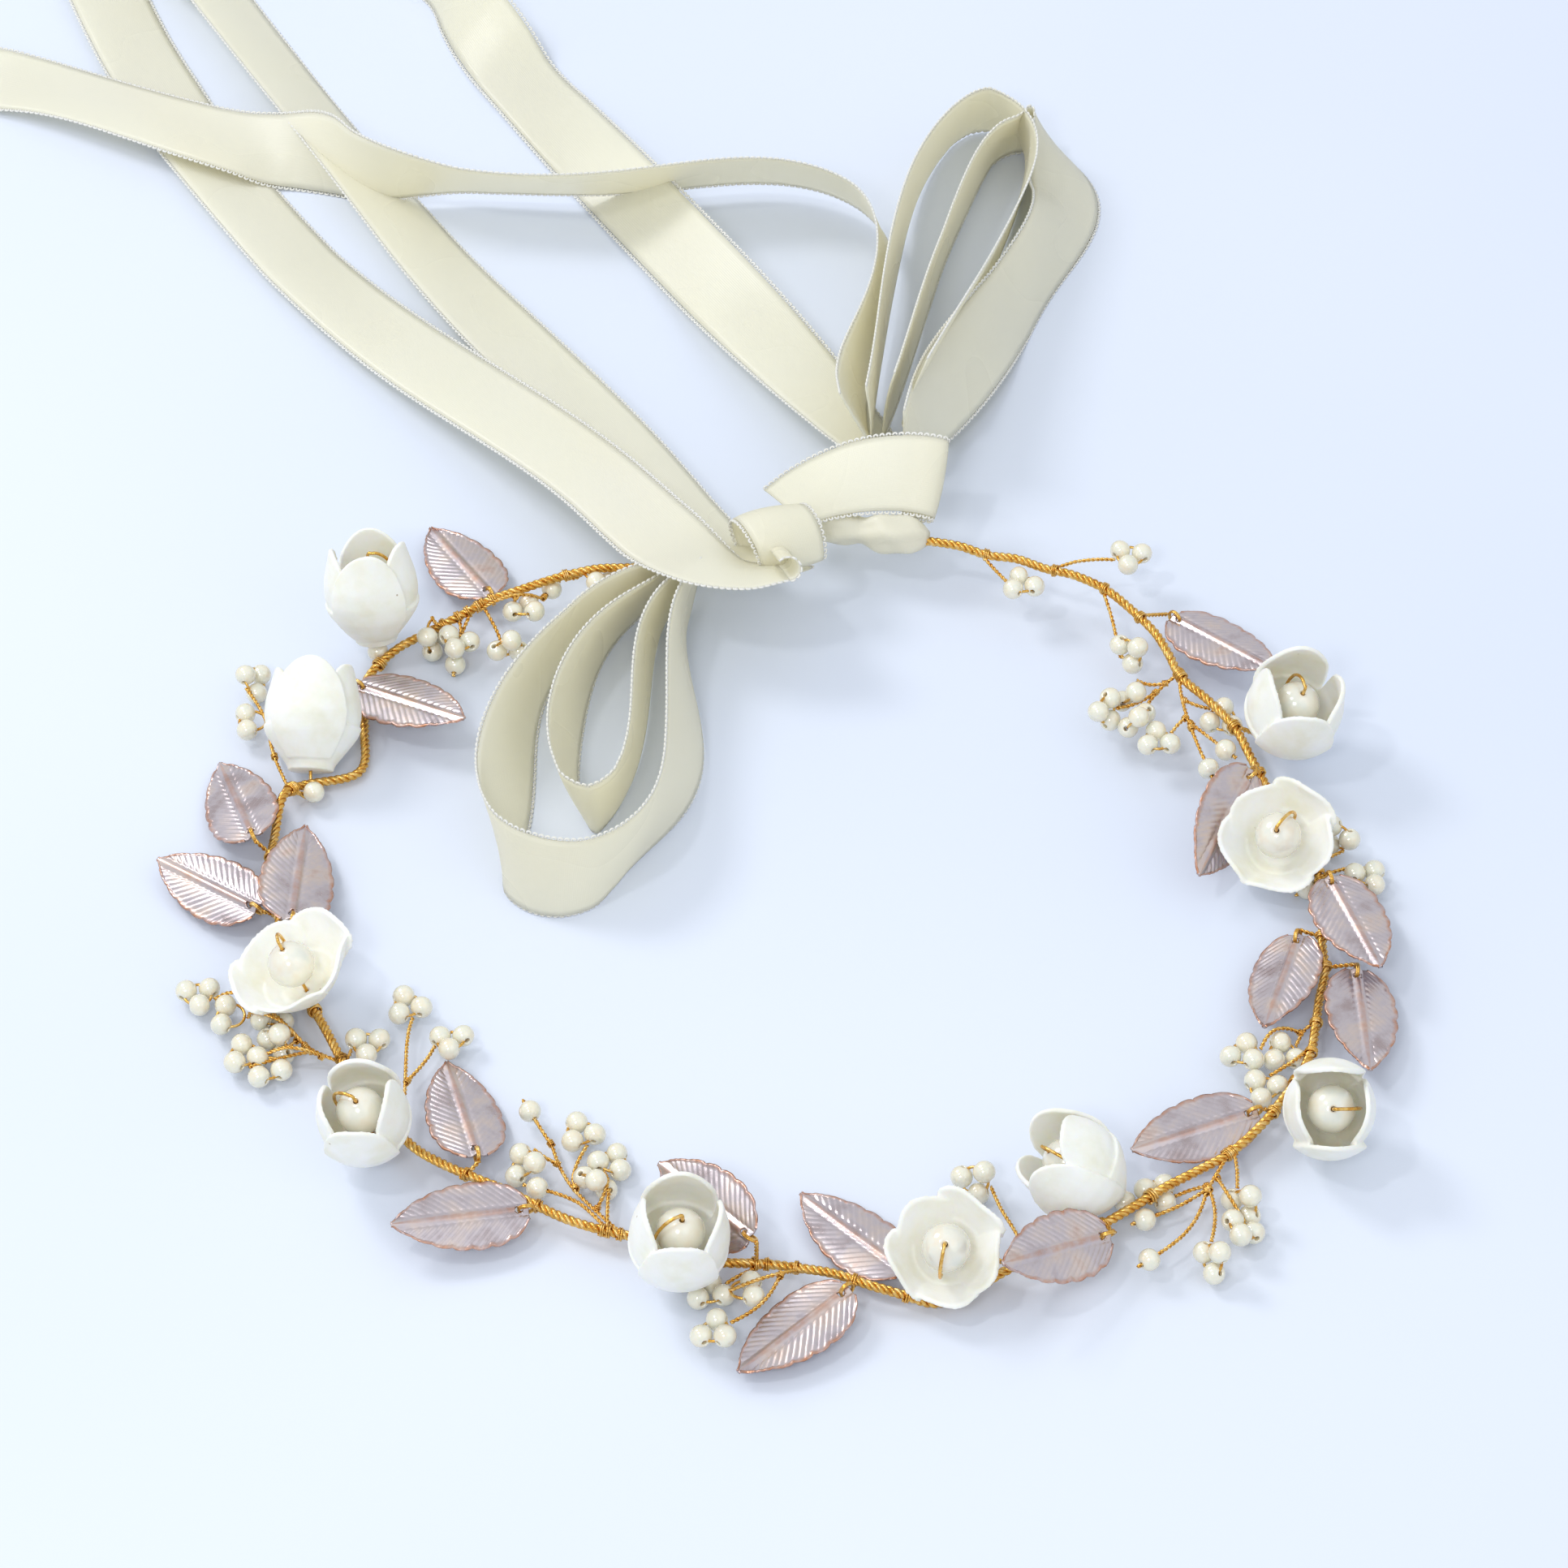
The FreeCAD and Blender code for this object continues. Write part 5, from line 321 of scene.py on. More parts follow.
# ---- ribbon bands: stations of (lower edge, upper edge) ----
RIBBON = {
    "ribbon_front_loop_outer": (
        ((-14.89, 81.18, 2.7), (-12.82, 75.1, 16.26)),
        ((-19.92, 78.49, 2.28), (-17.64, 73.03, 16.06)),
        ((-24.75, 75.65, 2.15), (-22.12, 71.18, 16.23)),
        ((-29.04, 72.71, 2.15), (-26.58, 69.28, 16.54)),
        ((-32.74, 69.72, 2.1), (-31.04, 67.05, 16.76)),
        ((-35.94, 66.69, 1.85), (-35.35, 64.26, 16.64)),
        ((-38.85, 63.48, 1.31), (-39.27, 60.91, 16.08)),
        ((-41.55, 59.93, 0.55), (-42.68, 57.2, 15.26)),
        ((-43.9, 55.95, 0.55), (-45.68, 53.26, 15.2)),
        ((-45.77, 51.51, 0.55), (-48.39, 49.15, 15.13)),
        ((-47.03, 46.64, 0.55), (-50.87, 44.88, 14.94)),
        ((-47.66, 41.42, 0.55), (-53.1, 40.42, 14.5)),
        ((-47.85, 35.88, 0.55), (-54.92, 35.81, 13.78)),
        ((-47.89, 30.08, 0.55), (-56.18, 31.21, 13)),
        ((-48.07, 24.12, 0.55), (-56.79, 26.75, 12.46)),
        ((-48.56, 18.42, 0.55), (-56.78, 22.24, 12.5)),
        ((-49.47, 13.57, 0.55), (-56.23, 17.36, 13.39)),
        ((-50.86, 9.84, 0.55), (-55.16, 12.08, 14.74)),
        ((-52.11, 6.6, 0.55), (-53.1, 7.24, 15.5)),
        ((-51.67, 2.67, 0.55), (-50, 4.29, 15.37)),
        ((-48.02, -1.1, 0.55), (-46.26, 2.69, 14.96)),
        ((-42.25, -2.59, 0.55), (-42.1, 1.48, 14.99)),
        ((-36.74, -0.64, 0.55), (-37.7, 1.11, 15.42)),
        ((-33.32, 3.72, 0.55), (-33.11, 3.22, 15.54)),
        ((-30.56, 8.27, 0.55), (-29.27, 7.03, 15.44)),
        ((-27.59, 12.41, 0.55), (-26.62, 11.47, 15.49)),
        ((-24.53, 16.43, 0.55), (-25.05, 16.26, 15.54)),
        ((-21.7, 20.66, 0.78), (-24.29, 21.1, 15.55)),
        ((-19.5, 25.32, 1.15), (-23.97, 25.82, 15.46)),
        ((-18.23, 30.4, 1.49), (-23.85, 30.48, 15.4)),
        ((-17.92, 35.69, 1.7), (-23.85, 35.26, 15.48)),
        ((-18.26, 41, 1.8), (-23.93, 40.27, 15.67)),
        ((-18.95, 46.23, 1.84), (-24.02, 45.45, 15.94)),
        ((-19.75, 51.34, 1.85), (-23.99, 50.71, 16.22)),
        ((-20.48, 56.3, 1.84), (-23.58, 55.91, 16.51)),
        ((-21.03, 61.13, 1.85), (-22.57, 60.9, 16.77)),
        ((-21.14, 65.93, 1.94), (-20.79, 65.45, 16.93)),
        ((-20.39, 70.77, 2.15), (-18.29, 69.33, 16.94)),
        ((-18.27, 75.5, 2.45), (-15.19, 72.54, 16.83)),
        ((-14.72, 79.62, 2.74), (-11.16, 75.46, 16.7)),
    ),
    "ribbon_front_loop_inner": (
        ((-16.14, 80.4, 2.17), (-14.38, 74.48, 15.84)),
        ((-21.09, 77.98, 1.76), (-18.85, 72.02, 15.34)),
        ((-25.64, 74.87, 1.32), (-22.74, 69.47, 15.01)),
        ((-29.51, 71.18, 0.87), (-26.36, 66.75, 14.85)),
        ((-32.65, 67, 0.55), (-29.79, 63.82, 14.92)),
        ((-35.07, 62.46, 0.55), (-33.04, 60.58, 15.29)),
        ((-36.83, 57.68, 0.55), (-36.09, 56.95, 15.51)),
        ((-38.06, 52.75, 0.55), (-38.83, 52.87, 15.53)),
        ((-38.9, 47.74, 0.55), (-41.13, 48.33, 15.37)),
        ((-39.51, 42.64, 0.55), (-42.9, 43.37, 15.14)),
        ((-39.95, 37.43, 0.55), (-44.06, 38.04, 14.96)),
        ((-40.15, 32.18, 0.55), (-44.58, 32.47, 14.88)),
        ((-39.89, 27.06, 0.55), (-44.35, 26.85, 14.87)),
        ((-38.95, 22.24, 0.55), (-43.27, 21.36, 14.89)),
        ((-37.44, 18.15, 0.55), (-41.03, 16.39, 15.01)),
        ((-36.39, 17.13, 0.55), (-37.35, 14.15, 15.22)),
        ((-35.21, 18.34, 0.62), (-33.97, 16.42, 15.45)),
        ((-33.32, 21.53, 0.76), (-32.04, 20.4, 15.66)),
        ((-31.43, 26.02, 0.89), (-30.95, 25.4, 15.87)),
        ((-29.89, 31.15, 1.05), (-30.42, 30.78, 16.03)),
        ((-28.82, 36.43, 1.23), (-30.24, 36.16, 16.16)),
        ((-28.13, 41.73, 1.4), (-30.14, 41.51, 16.26)),
        ((-27.7, 46.93, 1.53), (-29.88, 46.8, 16.37)),
        ((-27.41, 51.99, 1.6), (-29.21, 51.99, 16.49)),
        ((-27.12, 56.91, 1.62), (-27.93, 56.94, 16.59)),
        ((-26.64, 61.75, 1.64), (-25.95, 61.49, 16.62)),
        ((-25.68, 66.57, 1.74), (-23.28, 65.44, 16.5)),
        ((-23.79, 71.34, 1.92), (-20.07, 68.73, 16.21)),
        ((-20.6, 75.82, 2.1), (-16.42, 71.47, 15.83)),
        ((-16.27, 79.56, 2.2), (-11.87, 74, 15.41)),
    ),
    "ribbon_back_loop_near": (
        ((17.89, 102.53, 5.95), (18.39, 104.07, 20.87)),
        ((21.39, 106.52, 5.56), (19.37, 109.31, 20.16)),
        ((24.7, 110.55, 5.35), (20.43, 114.42, 19.19)),
        ((27.78, 114.67, 5.22), (21.64, 119.35, 18.08)),
        ((30.58, 118.9, 5.08), (23.04, 124.12, 16.95)),
        ((33.11, 123.22, 4.81), (24.67, 128.75, 15.91)),
        ((35.34, 127.63, 4.32), (26.53, 133.26, 15.07)),
        ((37.32, 132.11, 3.6), (28.61, 137.68, 14.47)),
        ((39.12, 136.66, 2.72), (30.87, 142.05, 14.03)),
        ((40.8, 141.28, 1.79), (33.22, 146.38, 13.68)),
        ((42.46, 145.93, 0.88), (35.61, 150.71, 13.34)),
        ((44.17, 150.63, 0.55), (37.98, 155.07, 13.47)),
        ((46.02, 155.33, 0.55), (40.24, 159.49, 13.75)),
        ((48.14, 160.06, 0.55), (42.23, 164.01, 13.76)),
        ((50.53, 164.86, 0.55), (43.73, 168.65, 13.37)),
        ((53.08, 169.87, 0.55), (44.59, 173.39, 12.41)),
        ((55.49, 175.29, 0.55), (44.83, 178.13, 10.72)),
        ((57.3, 181.27, 0.55), (44.66, 182.81, 8.49)),
        ((57.7, 187.58, 0.55), (44.61, 187.29, 7.87)),
        ((56.14, 193.68, 0.55), (44.95, 191.38, 10.28)),
        ((52.83, 198.96, 0.55), (45.22, 194.97, 12.84)),
        ((47.81, 202.45, 0.55), (45.3, 197.8, 14.59)),
        ((42.38, 202.38, 0.55), (44.46, 198.68, 14.94)),
        ((37.97, 199.38, 0.55), (42.38, 196.39, 14.57)),
        ((35.72, 194.53, 0.55), (39.12, 193.62, 15.13)),
        ((33.92, 189.51, 0.55), (36.33, 189.68, 15.35)),
        ((32.25, 184.38, 0.55), (34.1, 185.08, 15.42)),
        ((30.61, 179.26, 0.55), (32.29, 180.25, 15.42)),
        ((29.03, 174.2, 0.55), (30.74, 175.39, 15.4)),
        ((27.57, 169.19, 0.55), (29.33, 170.54, 15.38)),
        ((26.26, 164.2, 0.55), (28.03, 165.71, 15.37)),
        ((25.07, 159.23, 0.55), (26.81, 160.89, 15.36)),
        ((23.97, 154.29, 1.18), (25.66, 156.08, 15.97)),
        ((22.95, 149.38, 1.9), (24.58, 151.26, 16.69)),
        ((21.97, 144.48, 2.65), (23.55, 146.44, 17.43)),
        ((21.02, 139.61, 3.4), (22.57, 141.61, 18.19)),
        ((20.08, 134.75, 4.16), (21.61, 136.76, 18.95)),
        ((19.11, 129.9, 4.93), (20.67, 131.9, 19.71)),
        ((18.1, 125.07, 5.68), (19.74, 127.01, 20.46)),
        ((17.03, 120.25, 6.43), (18.8, 122.1, 21.21)),
        ((15.88, 115.43, 7.16), (17.83, 117.15, 21.93)),
        ((14.66, 110.58, 7.87), (16.79, 112.21, 22.63)),
    ),
    "ribbon_back_loop_far": (
        ((12.05, 105.86, 9.05), (11.48, 107.08, 23.99)),
        ((12.54, 110.93, 8.65), (12.15, 112.17, 23.6)),
        ((13.02, 115.96, 8.23), (12.75, 117.27, 23.17)),
        ((13.51, 120.96, 7.79), (13.29, 122.34, 22.73)),
        ((14, 125.92, 7.33), (13.79, 127.36, 22.26)),
        ((14.51, 130.83, 6.85), (14.26, 132.34, 21.77)),
        ((15.05, 135.7, 6.36), (14.72, 137.25, 21.28)),
        ((15.6, 140.54, 5.86), (15.19, 142.12, 20.77)),
        ((16.18, 145.36, 5.36), (15.69, 146.97, 20.27)),
        ((16.78, 150.2, 4.86), (16.24, 151.8, 19.77)),
        ((17.42, 155.07, 4.37), (16.86, 156.65, 19.27)),
        ((18.08, 160, 3.88), (17.57, 161.52, 18.79)),
        ((18.76, 165.01, 3.4), (18.41, 166.44, 18.33)),
        ((19.47, 170.11, 2.94), (19.39, 171.42, 17.88)),
        ((20.23, 175.28, 2.51), (20.58, 176.43, 17.46)),
        ((21.13, 180.48, 2.11), (22.02, 181.39, 17.06)),
        ((22.24, 185.68, 1.76), (23.73, 186.26, 16.67)),
        ((23.67, 190.82, 1.46), (25.74, 190.96, 16.31)),
        ((25.49, 195.87, 1.21), (28.08, 195.45, 15.98)),
        ((27.75, 200.82, 1.04), (30.84, 199.58, 15.66)),
        ((30.58, 205.3, 0.95), (33.85, 202.73, 15.36)),
        ((34.62, 208.41, 0.89), (36.35, 204, 15.13)),
        ((39.83, 208.09, 0.84), (37.73, 203.64, 15.01)),
        ((43.29, 204.14, 0.7), (39.82, 201.88, 15.11)),
        ((44.46, 198.92, 0.55), (42.46, 198.54, 15.41)),
        ((44.07, 193.7, 0.55), (44.51, 194.11, 15.54)),
        ((43.03, 188.59, 0.79), (45.41, 188.94, 15.6)),
        ((41.78, 183.43, 1.11), (45.19, 183.49, 15.72)),
        ((40.41, 178.2, 1.43), (44.22, 178.11, 15.94)),
        ((38.97, 173.01, 1.78), (42.88, 172.95, 16.26)),
        ((37.51, 168, 2.17), (41.44, 168.06, 16.65)),
        ((35.99, 163.17, 2.63), (39.97, 163.35, 17.09)),
        ((34.41, 158.47, 3.15), (38.48, 158.78, 17.58)),
        ((32.8, 153.85, 3.73), (36.97, 154.28, 18.13)),
        ((31.16, 149.27, 4.37), (35.44, 149.82, 18.74)),
        ((29.53, 144.66, 5.06), (33.86, 145.34, 19.4)),
        ((27.91, 139.98, 5.79), (32.26, 140.81, 20.13)),
        ((26.32, 135.19, 6.58), (30.62, 136.2, 20.91)),
        ((24.74, 130.34, 7.42), (28.98, 131.52, 21.76)),
        ((23.17, 125.45, 8.32), (27.35, 126.82, 22.66)),
        ((21.59, 120.56, 9.28), (25.75, 122.12, 23.6)),
        ((20.01, 115.7, 10.3), (24.21, 117.45, 24.59)),
        ((18.46, 110.95, 11.37), (22.7, 112.79, 25.64)),
    ),
    "ribbon_tail_a": (
        ((-2.54, 60.05, 20.45), (-4.89, 72.54, 12.48)),
        ((-10.21, 58.44, 19.92), (-10.31, 72, 13.51)),
        ((-18.67, 60, 19.55), (-13.14, 73.21, 15.09)),
        ((-25.69, 64.29, 18.45), (-15.9, 75.51, 16.61)),
        ((-30.93, 69.89, 16.66), (-19.3, 79.31, 17.6)),
        ((-35.24, 76.03, 15.57), (-22.88, 84.43, 16.96)),
        ((-39.13, 82.28, 14.48), (-26.58, 90.38, 15.77)),
        ((-42.9, 88.26, 13.33), (-30.5, 96.63, 14.42)),
        ((-46.75, 93.88, 12.13), (-34.67, 102.71, 13.15)),
        ((-50.75, 99.28, 10.87), (-38.99, 108.53, 11.98)),
        ((-54.89, 104.53, 9.61), (-43.42, 114.11, 10.87)),
        ((-59.16, 109.68, 8.38), (-47.91, 119.5, 9.82)),
        ((-63.52, 114.77, 7.21), (-52.43, 124.74, 8.8)),
        ((-67.97, 119.84, 6.13), (-56.94, 129.87, 7.79)),
        ((-72.47, 124.95, 5.17), (-61.4, 134.95, 6.79)),
        ((-77, 130.13, 4.36), (-65.8, 140, 5.77)),
        ((-81.51, 135.41, 3.71), (-70.11, 145.1, 4.75)),
        ((-85.96, 140.81, 3.2), (-74.34, 150.28, 3.75)),
        ((-90.34, 146.3, 2.81), (-78.52, 155.54, 2.8)),
        ((-94.62, 151.88, 2.52), (-82.63, 160.88, 1.93)),
        ((-98.81, 157.55, 2.3), (-86.68, 166.31, 1.18)),
        ((-102.9, 163.3, 2.14), (-90.65, 171.82, 0.57)),
        ((-106.89, 169.12, 2.49), (-94.54, 177.41, 0.55)),
        ((-110.79, 175.01, 2.74), (-98.34, 183.09, 0.55)),
        ((-114.6, 180.96, 2.84), (-102.04, 188.84, 0.55)),
        ((-118.31, 186.99, 2.78), (-105.62, 194.67, 0.55)),
        ((-121.92, 193.08, 2.59), (-109.08, 200.56, 0.55)),
        ((-125.44, 199.26, 2.28), (-112.42, 206.51, 0.55)),
        ((-128.83, 205.5, 2.11), (-115.64, 212.51, 0.71)),
        ((-132.11, 211.82, 2.08), (-118.75, 218.55, 0.95)),
        ((-135.24, 218.2, 2.01), (-121.74, 224.64, 0.98)),
        ((-138.24, 224.64, 1.86), (-124.6, 230.78, 0.75)),
        ((-141.09, 231.13, 1.89), (-127.34, 236.96, 0.55)),
        ((-143.8, 237.66, 2.09), (-129.95, 243.2, 0.55)),
        ((-146.36, 244.23, 2.15), (-132.41, 249.5, 0.55)),
        ((-148.76, 250.76, 2.04), (-134.75, 255.91, 0.55)),
        ((-152.94, 261.4, 1.18), (-138.88, 266.57, 0.58)),
        ((-157.11, 272.05, 0.6), (-143.03, 277.22, 0.6)),
        ((-161.27, 282.7, 0.6), (-147.19, 287.87, 0.6)),
        ((-165.42, 293.35, 0.6), (-151.34, 298.52, 0.6)),
        ((-169.58, 303.99, 0.6), (-155.5, 309.17, 0.6)),
    ),
    "ribbon_tail_b": (
        ((-6.34, 67.41, 14.83), (-6.9, 81.24, 9.05)),
        ((-13.65, 67.78, 14.77), (-8.2, 80.31, 8.58)),
        ((-20.41, 73.23, 14.05), (-9.62, 82.1, 8.58)),
        ((-25.04, 79.55, 13.09), (-12.84, 87.05, 8.63)),
        ((-29, 86.13, 12.49), (-16.43, 93.08, 8.17)),
        ((-32.73, 92.58, 11.71), (-20.02, 99.49, 7.76)),
        ((-36.34, 98.69, 10.82), (-23.58, 105.77, 7.35)),
        ((-39.88, 104.55, 9.88), (-27.1, 111.84, 6.91)),
        ((-43.38, 110.26, 8.92), (-30.62, 117.74, 6.41)),
        ((-46.89, 115.89, 7.98), (-34.16, 123.53, 5.85)),
        ((-50.44, 121.5, 7.08), (-37.74, 129.27, 5.24)),
        ((-54.03, 127.13, 6.24), (-41.37, 135, 4.58)),
        ((-57.66, 132.79, 5.52), (-45.04, 140.72, 3.89)),
        ((-61.33, 138.48, 4.96), (-48.73, 146.43, 3.18)),
        ((-65, 144.2, 4.58), (-52.44, 152.14, 2.49)),
        ((-68.67, 149.95, 4.4), (-56.17, 157.84, 1.84)),
        ((-72.31, 155.74, 4.43), (-59.91, 163.56, 1.27)),
        ((-75.93, 161.57, 4.61), (-63.65, 169.28, 0.8)),
        ((-79.51, 167.43, 5.02), (-67.37, 175.03, 0.55)),
        ((-83.05, 173.33, 5.64), (-71.07, 180.79, 0.55)),
        ((-86.57, 179.26, 6.17), (-74.74, 186.58, 0.55)),
        ((-90.07, 185.22, 6.59), (-78.36, 192.38, 0.55)),
        ((-93.57, 191.21, 6.91), (-81.93, 198.21, 0.55)),
        ((-97.05, 197.2, 7.12), (-85.45, 204.08, 0.55)),
        ((-100.52, 203.19, 7.24), (-88.94, 209.97, 0.55)),
        ((-103.98, 209.19, 7.29), (-92.38, 215.9, 0.55)),
        ((-107.42, 215.19, 7.29), (-95.79, 221.85, 0.55)),
        ((-110.83, 221.19, 7.25), (-99.17, 227.83, 0.55)),
        ((-114.22, 227.2, 7.18), (-102.51, 233.84, 0.55)),
        ((-117.58, 233.2, 7.11), (-105.84, 239.85, 0.55)),
        ((-120.91, 239.21, 7.03), (-109.14, 245.89, 0.55)),
        ((-124.21, 245.22, 7.05), (-112.42, 251.92, 0.64)),
        ((-129.77, 254.46, 4.8), (-117.26, 261.56, 0.55)),
        ((-135.19, 263.77, 2.31), (-122.24, 271.13, 0.55)),
        ((-140.44, 273.18, 0.6), (-127.4, 280.59, 0.6)),
        ((-145.64, 282.62, 0.6), (-132.6, 290.03, 0.6)),
        ((-150.84, 292.06, 0.6), (-137.8, 299.46, 0.6)),
        ((-156.04, 301.49, 0.6), (-143, 308.9, 0.6)),
        ((-161.24, 310.93, 0.6), (-148.2, 318.34, 0.6)),
        ((-166.44, 320.37, 0.6), (-153.4, 327.77, 0.6)),
    ),
    "ribbon_tail_c": (
        ((8.03, 102.22, 12.89), (19.84, 108.15, 5.8)),
        ((4.29, 108.09, 11.49), (16.51, 114.63, 5.76)),
        ((0.59, 113.9, 10.32), (13.1, 121.02, 6.1)),
        ((-3.11, 119.74, 9.21), (9.63, 127.24, 6.68)),
        ((-6.75, 125.61, 8.08), (6.09, 133.33, 7.32)),
        ((-10.32, 131.5, 6.95), (2.45, 139.31, 7.96)),
        ((-13.81, 137.43, 5.84), (-1.27, 145.21, 8.54)),
        ((-17.21, 143.39, 4.72), (-5.07, 151.03, 9.09)),
        ((-20.53, 149.39, 3.61), (-8.93, 156.79, 9.57)),
        ((-23.85, 155.4, 2.66), (-12.77, 162.55, 9.82)),
        ((-27.26, 161.38, 1.99), (-16.47, 168.38, 9.7)),
        ((-30.77, 167.34, 1.51), (-20.02, 174.3, 9.32)),
        ((-34.31, 173.3, 1.08), (-23.49, 180.27, 8.78)),
        ((-37.92, 179.25, 0.78), (-26.85, 186.32, 8.03)),
        ((-41.64, 185.19, 0.69), (-30.11, 192.44, 6.98)),
        ((-45.36, 191.18, 0.69), (-33.35, 198.59, 5.79)),
        ((-49.03, 197.21, 0.63), (-36.67, 204.73, 4.59)),
        ((-52.68, 203.3, 0.55), (-40.07, 210.89, 3.46)),
        ((-56.31, 209.41, 0.55), (-43.54, 217.06, 2.43)),
        ((-59.94, 215.48, 0.55), (-47.11, 223.21, 1.38)),
        ((-63.53, 221.43, 0.55), (-50.82, 229.32, 1.67)),
        ((-66.83, 227.48, 0.55), (-54.94, 235.05, 5.66)),
        ((-69.81, 233.92, 0.55), (-59.52, 240, 9.6)),
        ((-72.48, 240.89, 0.55), (-64.58, 243.94, 12.93)),
        ((-74.73, 247.93, 0.55), (-70.25, 247.18, 14.84)),
        ((-81.23, 256.33, 0.55), (-75.58, 255.38, 14.41)),
        ((-88.08, 264.78, 0.55), (-80.56, 263.53, 13.46)),
        ((-95.55, 273.34, 0.55), (-84.92, 271.57, 10.98)),
        ((-103.34, 281.96, 0.55), (-88.96, 279.56, 4.08)),
        ((-109.47, 290.29, 0.6), (-94.67, 287.83, 0.6)),
        ((-115.38, 298.6, 0.6), (-100.58, 296.13, 0.6)),
        ((-121.3, 306.9, 0.6), (-106.5, 304.43, 0.6)),
        ((-127.21, 315.2, 0.6), (-112.42, 312.74, 0.6)),
        ((-133.13, 323.5, 0.6), (-118.33, 321.04, 0.6)),
        ((-139.04, 331.8, 0.6), (-124.25, 329.34, 0.6)),
        ((-144.96, 340.1, 0.6), (-130.16, 337.64, 0.6)),
        ((-150.87, 348.41, 0.6), (-136.08, 345.94, 0.6)),
        ((-156.79, 356.71, 0.6), (-141.99, 354.24, 0.6)),
    ),
    "ribbon_tail_d": (
        ((13.43, 102.4, 11.33), (6.78, 104.44, 24.62)),
        ((12.21, 109.24, 9.68), (6.24, 111.66, 23.23)),
        ((11.74, 115.9, 8.2), (6.96, 118.67, 22.14)),
        ((11.89, 122.72, 6.9), (8.51, 125.35, 21.27)),
        ((12.66, 129.69, 5.87), (10.35, 131.9, 20.52)),
        ((13.91, 136.79, 5.08), (12.07, 138.53, 19.87)),
        ((15.35, 144.06, 4.5), (13.43, 145.41, 19.32)),
        ((16.67, 151.62, 4.1), (14.18, 152.6, 18.86)),
        ((17.52, 159.38, 3.87), (14, 159.81, 18.45)),
        ((17.41, 167.08, 3.85), (12.58, 166.39, 18.03)),
        ((15.58, 174.47, 4), (9.93, 171.66, 17.6)),
        ((11.34, 180.84, 4.19), (6.18, 175.5, 17.23)),
        ((5.13, 185.4, 4.31), (1.54, 178.31, 17.03)),
        ((-2.17, 187.92, 4.3), (-3.85, 180.08, 16.98)),
        ((-9.77, 188.55, 4.25), (-9.88, 180.64, 16.99)),
        ((-17.33, 187.99, 4.19), (-16.56, 180.17, 16.97)),
        ((-24.75, 186.93, 4.14), (-23.74, 179.06, 16.87)),
        ((-31.96, 185.94, 4.08), (-31.26, 177.81, 16.67)),
        ((-38.95, 185.46, 3.99), (-38.91, 176.99, 16.37)),
        ((-45.88, 185.53, 3.85), (-46.42, 176.81, 16.04)),
        ((-52.85, 185.92, 3.69), (-53.67, 177.14, 15.83)),
        ((-59.86, 186.42, 3.56), (-60.59, 177.84, 15.84)),
        ((-66.82, 186.81, 3.49), (-67.28, 178.81, 16.17)),
        ((-73.18, 186.46, 3.21), (-74.19, 180.67, 17.01)),
        ((-78.57, 186.14, 2.58), (-81.44, 184.24, 17.18)),
        ((-84.51, 187.21, 1.14), (-87.24, 190.04, 15.61)),
        ((-91.65, 189.81, 0.55), (-91.32, 196.39, 14.03)),
        ((-98.88, 191.41, 0.55), (-95.73, 201.52, 11.17)),
        ((-105.3, 191.89, 1.41), (-101.64, 204.85, 8)),
        ((-111.96, 192.82, 3.74), (-107.79, 206.97, 6.42)),
        ((-119.16, 195.13, 4.73), (-113.63, 209.03, 5.78)),
        ((-126.22, 198.35, 4.91), (-119.61, 211.81, 5.2)),
        ((-132.9, 201.85, 4.85), (-125.81, 215.06, 4.45)),
        ((-139.3, 205.35, 4.57), (-132.14, 218.5, 3.72)),
        ((-145.49, 208.65, 4.01), (-138.66, 221.97, 3.18)),
        ((-151.5, 211.54, 3.13), (-145.44, 225.26, 3.02)),
        ((-157.33, 213.91, 1.96), (-152.57, 228.06, 3.34)),
        ((-163.5, 215.83, 0.67), (-159.63, 229.91, 4.09)),
        ((-175.39, 220.23, 0.6), (-171.41, 234.69, 0.6)),
        ((-187.22, 224.81, 0.6), (-183.24, 239.28, 0.6)),
        ((-199.05, 229.4, 0.6), (-195.07, 243.87, 0.6)),
    ),
    "ribbon_wrap_band": (
        ((0.28, 80.01, 14.8), (-7.14, 92.7, 11.84)),
        ((3.96, 82.22, 14.64), (-2.63, 95.66, 13.59)),
        ((7.28, 83.52, 14.43), (2.83, 97.79, 15.69)),
        ((10.85, 84.37, 14.29), (8.47, 98.78, 17.72)),
        ((14.56, 84.73, 14.23), (14.23, 98.83, 19.33)),
        ((18.3, 84.54, 14.22), (20.06, 98.15, 20.28)),
        ((22.55, 83.72, 14.01), (25.34, 96.96, 20.48)),
    ),
}
# ---- knot and hitches: centre, (length, width, height), corner radius, direction ----
STOPPER_BEADS = (
    ((-76.519, 59.872, 2.86), (-0.07, 0.36, 0.93)),
    ((-85.971, 24.43, 3.2), (0.03, 0.808, 0.589)),
    ((52.486, -68.139, 2.261), (-0.763, 0.06, 0.643)),
)
# radius of the broader foot of two of the buds
BASE_WIDE = {"rosebud_1": 3.9, "rosebud_2": 4.1}
KNOT = ((-4.673, 77.188, 13.5), (13, 9, 8), 3.2, (1, 0.25, 0))
HITCH_RIGHT = ((16.25, 82.372, 10.6), (13, 7, 6.5), 2.6, (-9.69, 1.66, -0.02))
HITCH_LEFT = ((-21.218, 73.346, 11.3), (12, 6.5, 6), 2.4, (13.28, -0.23, 1.09))



FLOWER_BODY = {row[0]: row[0] for row in FLOWERS}


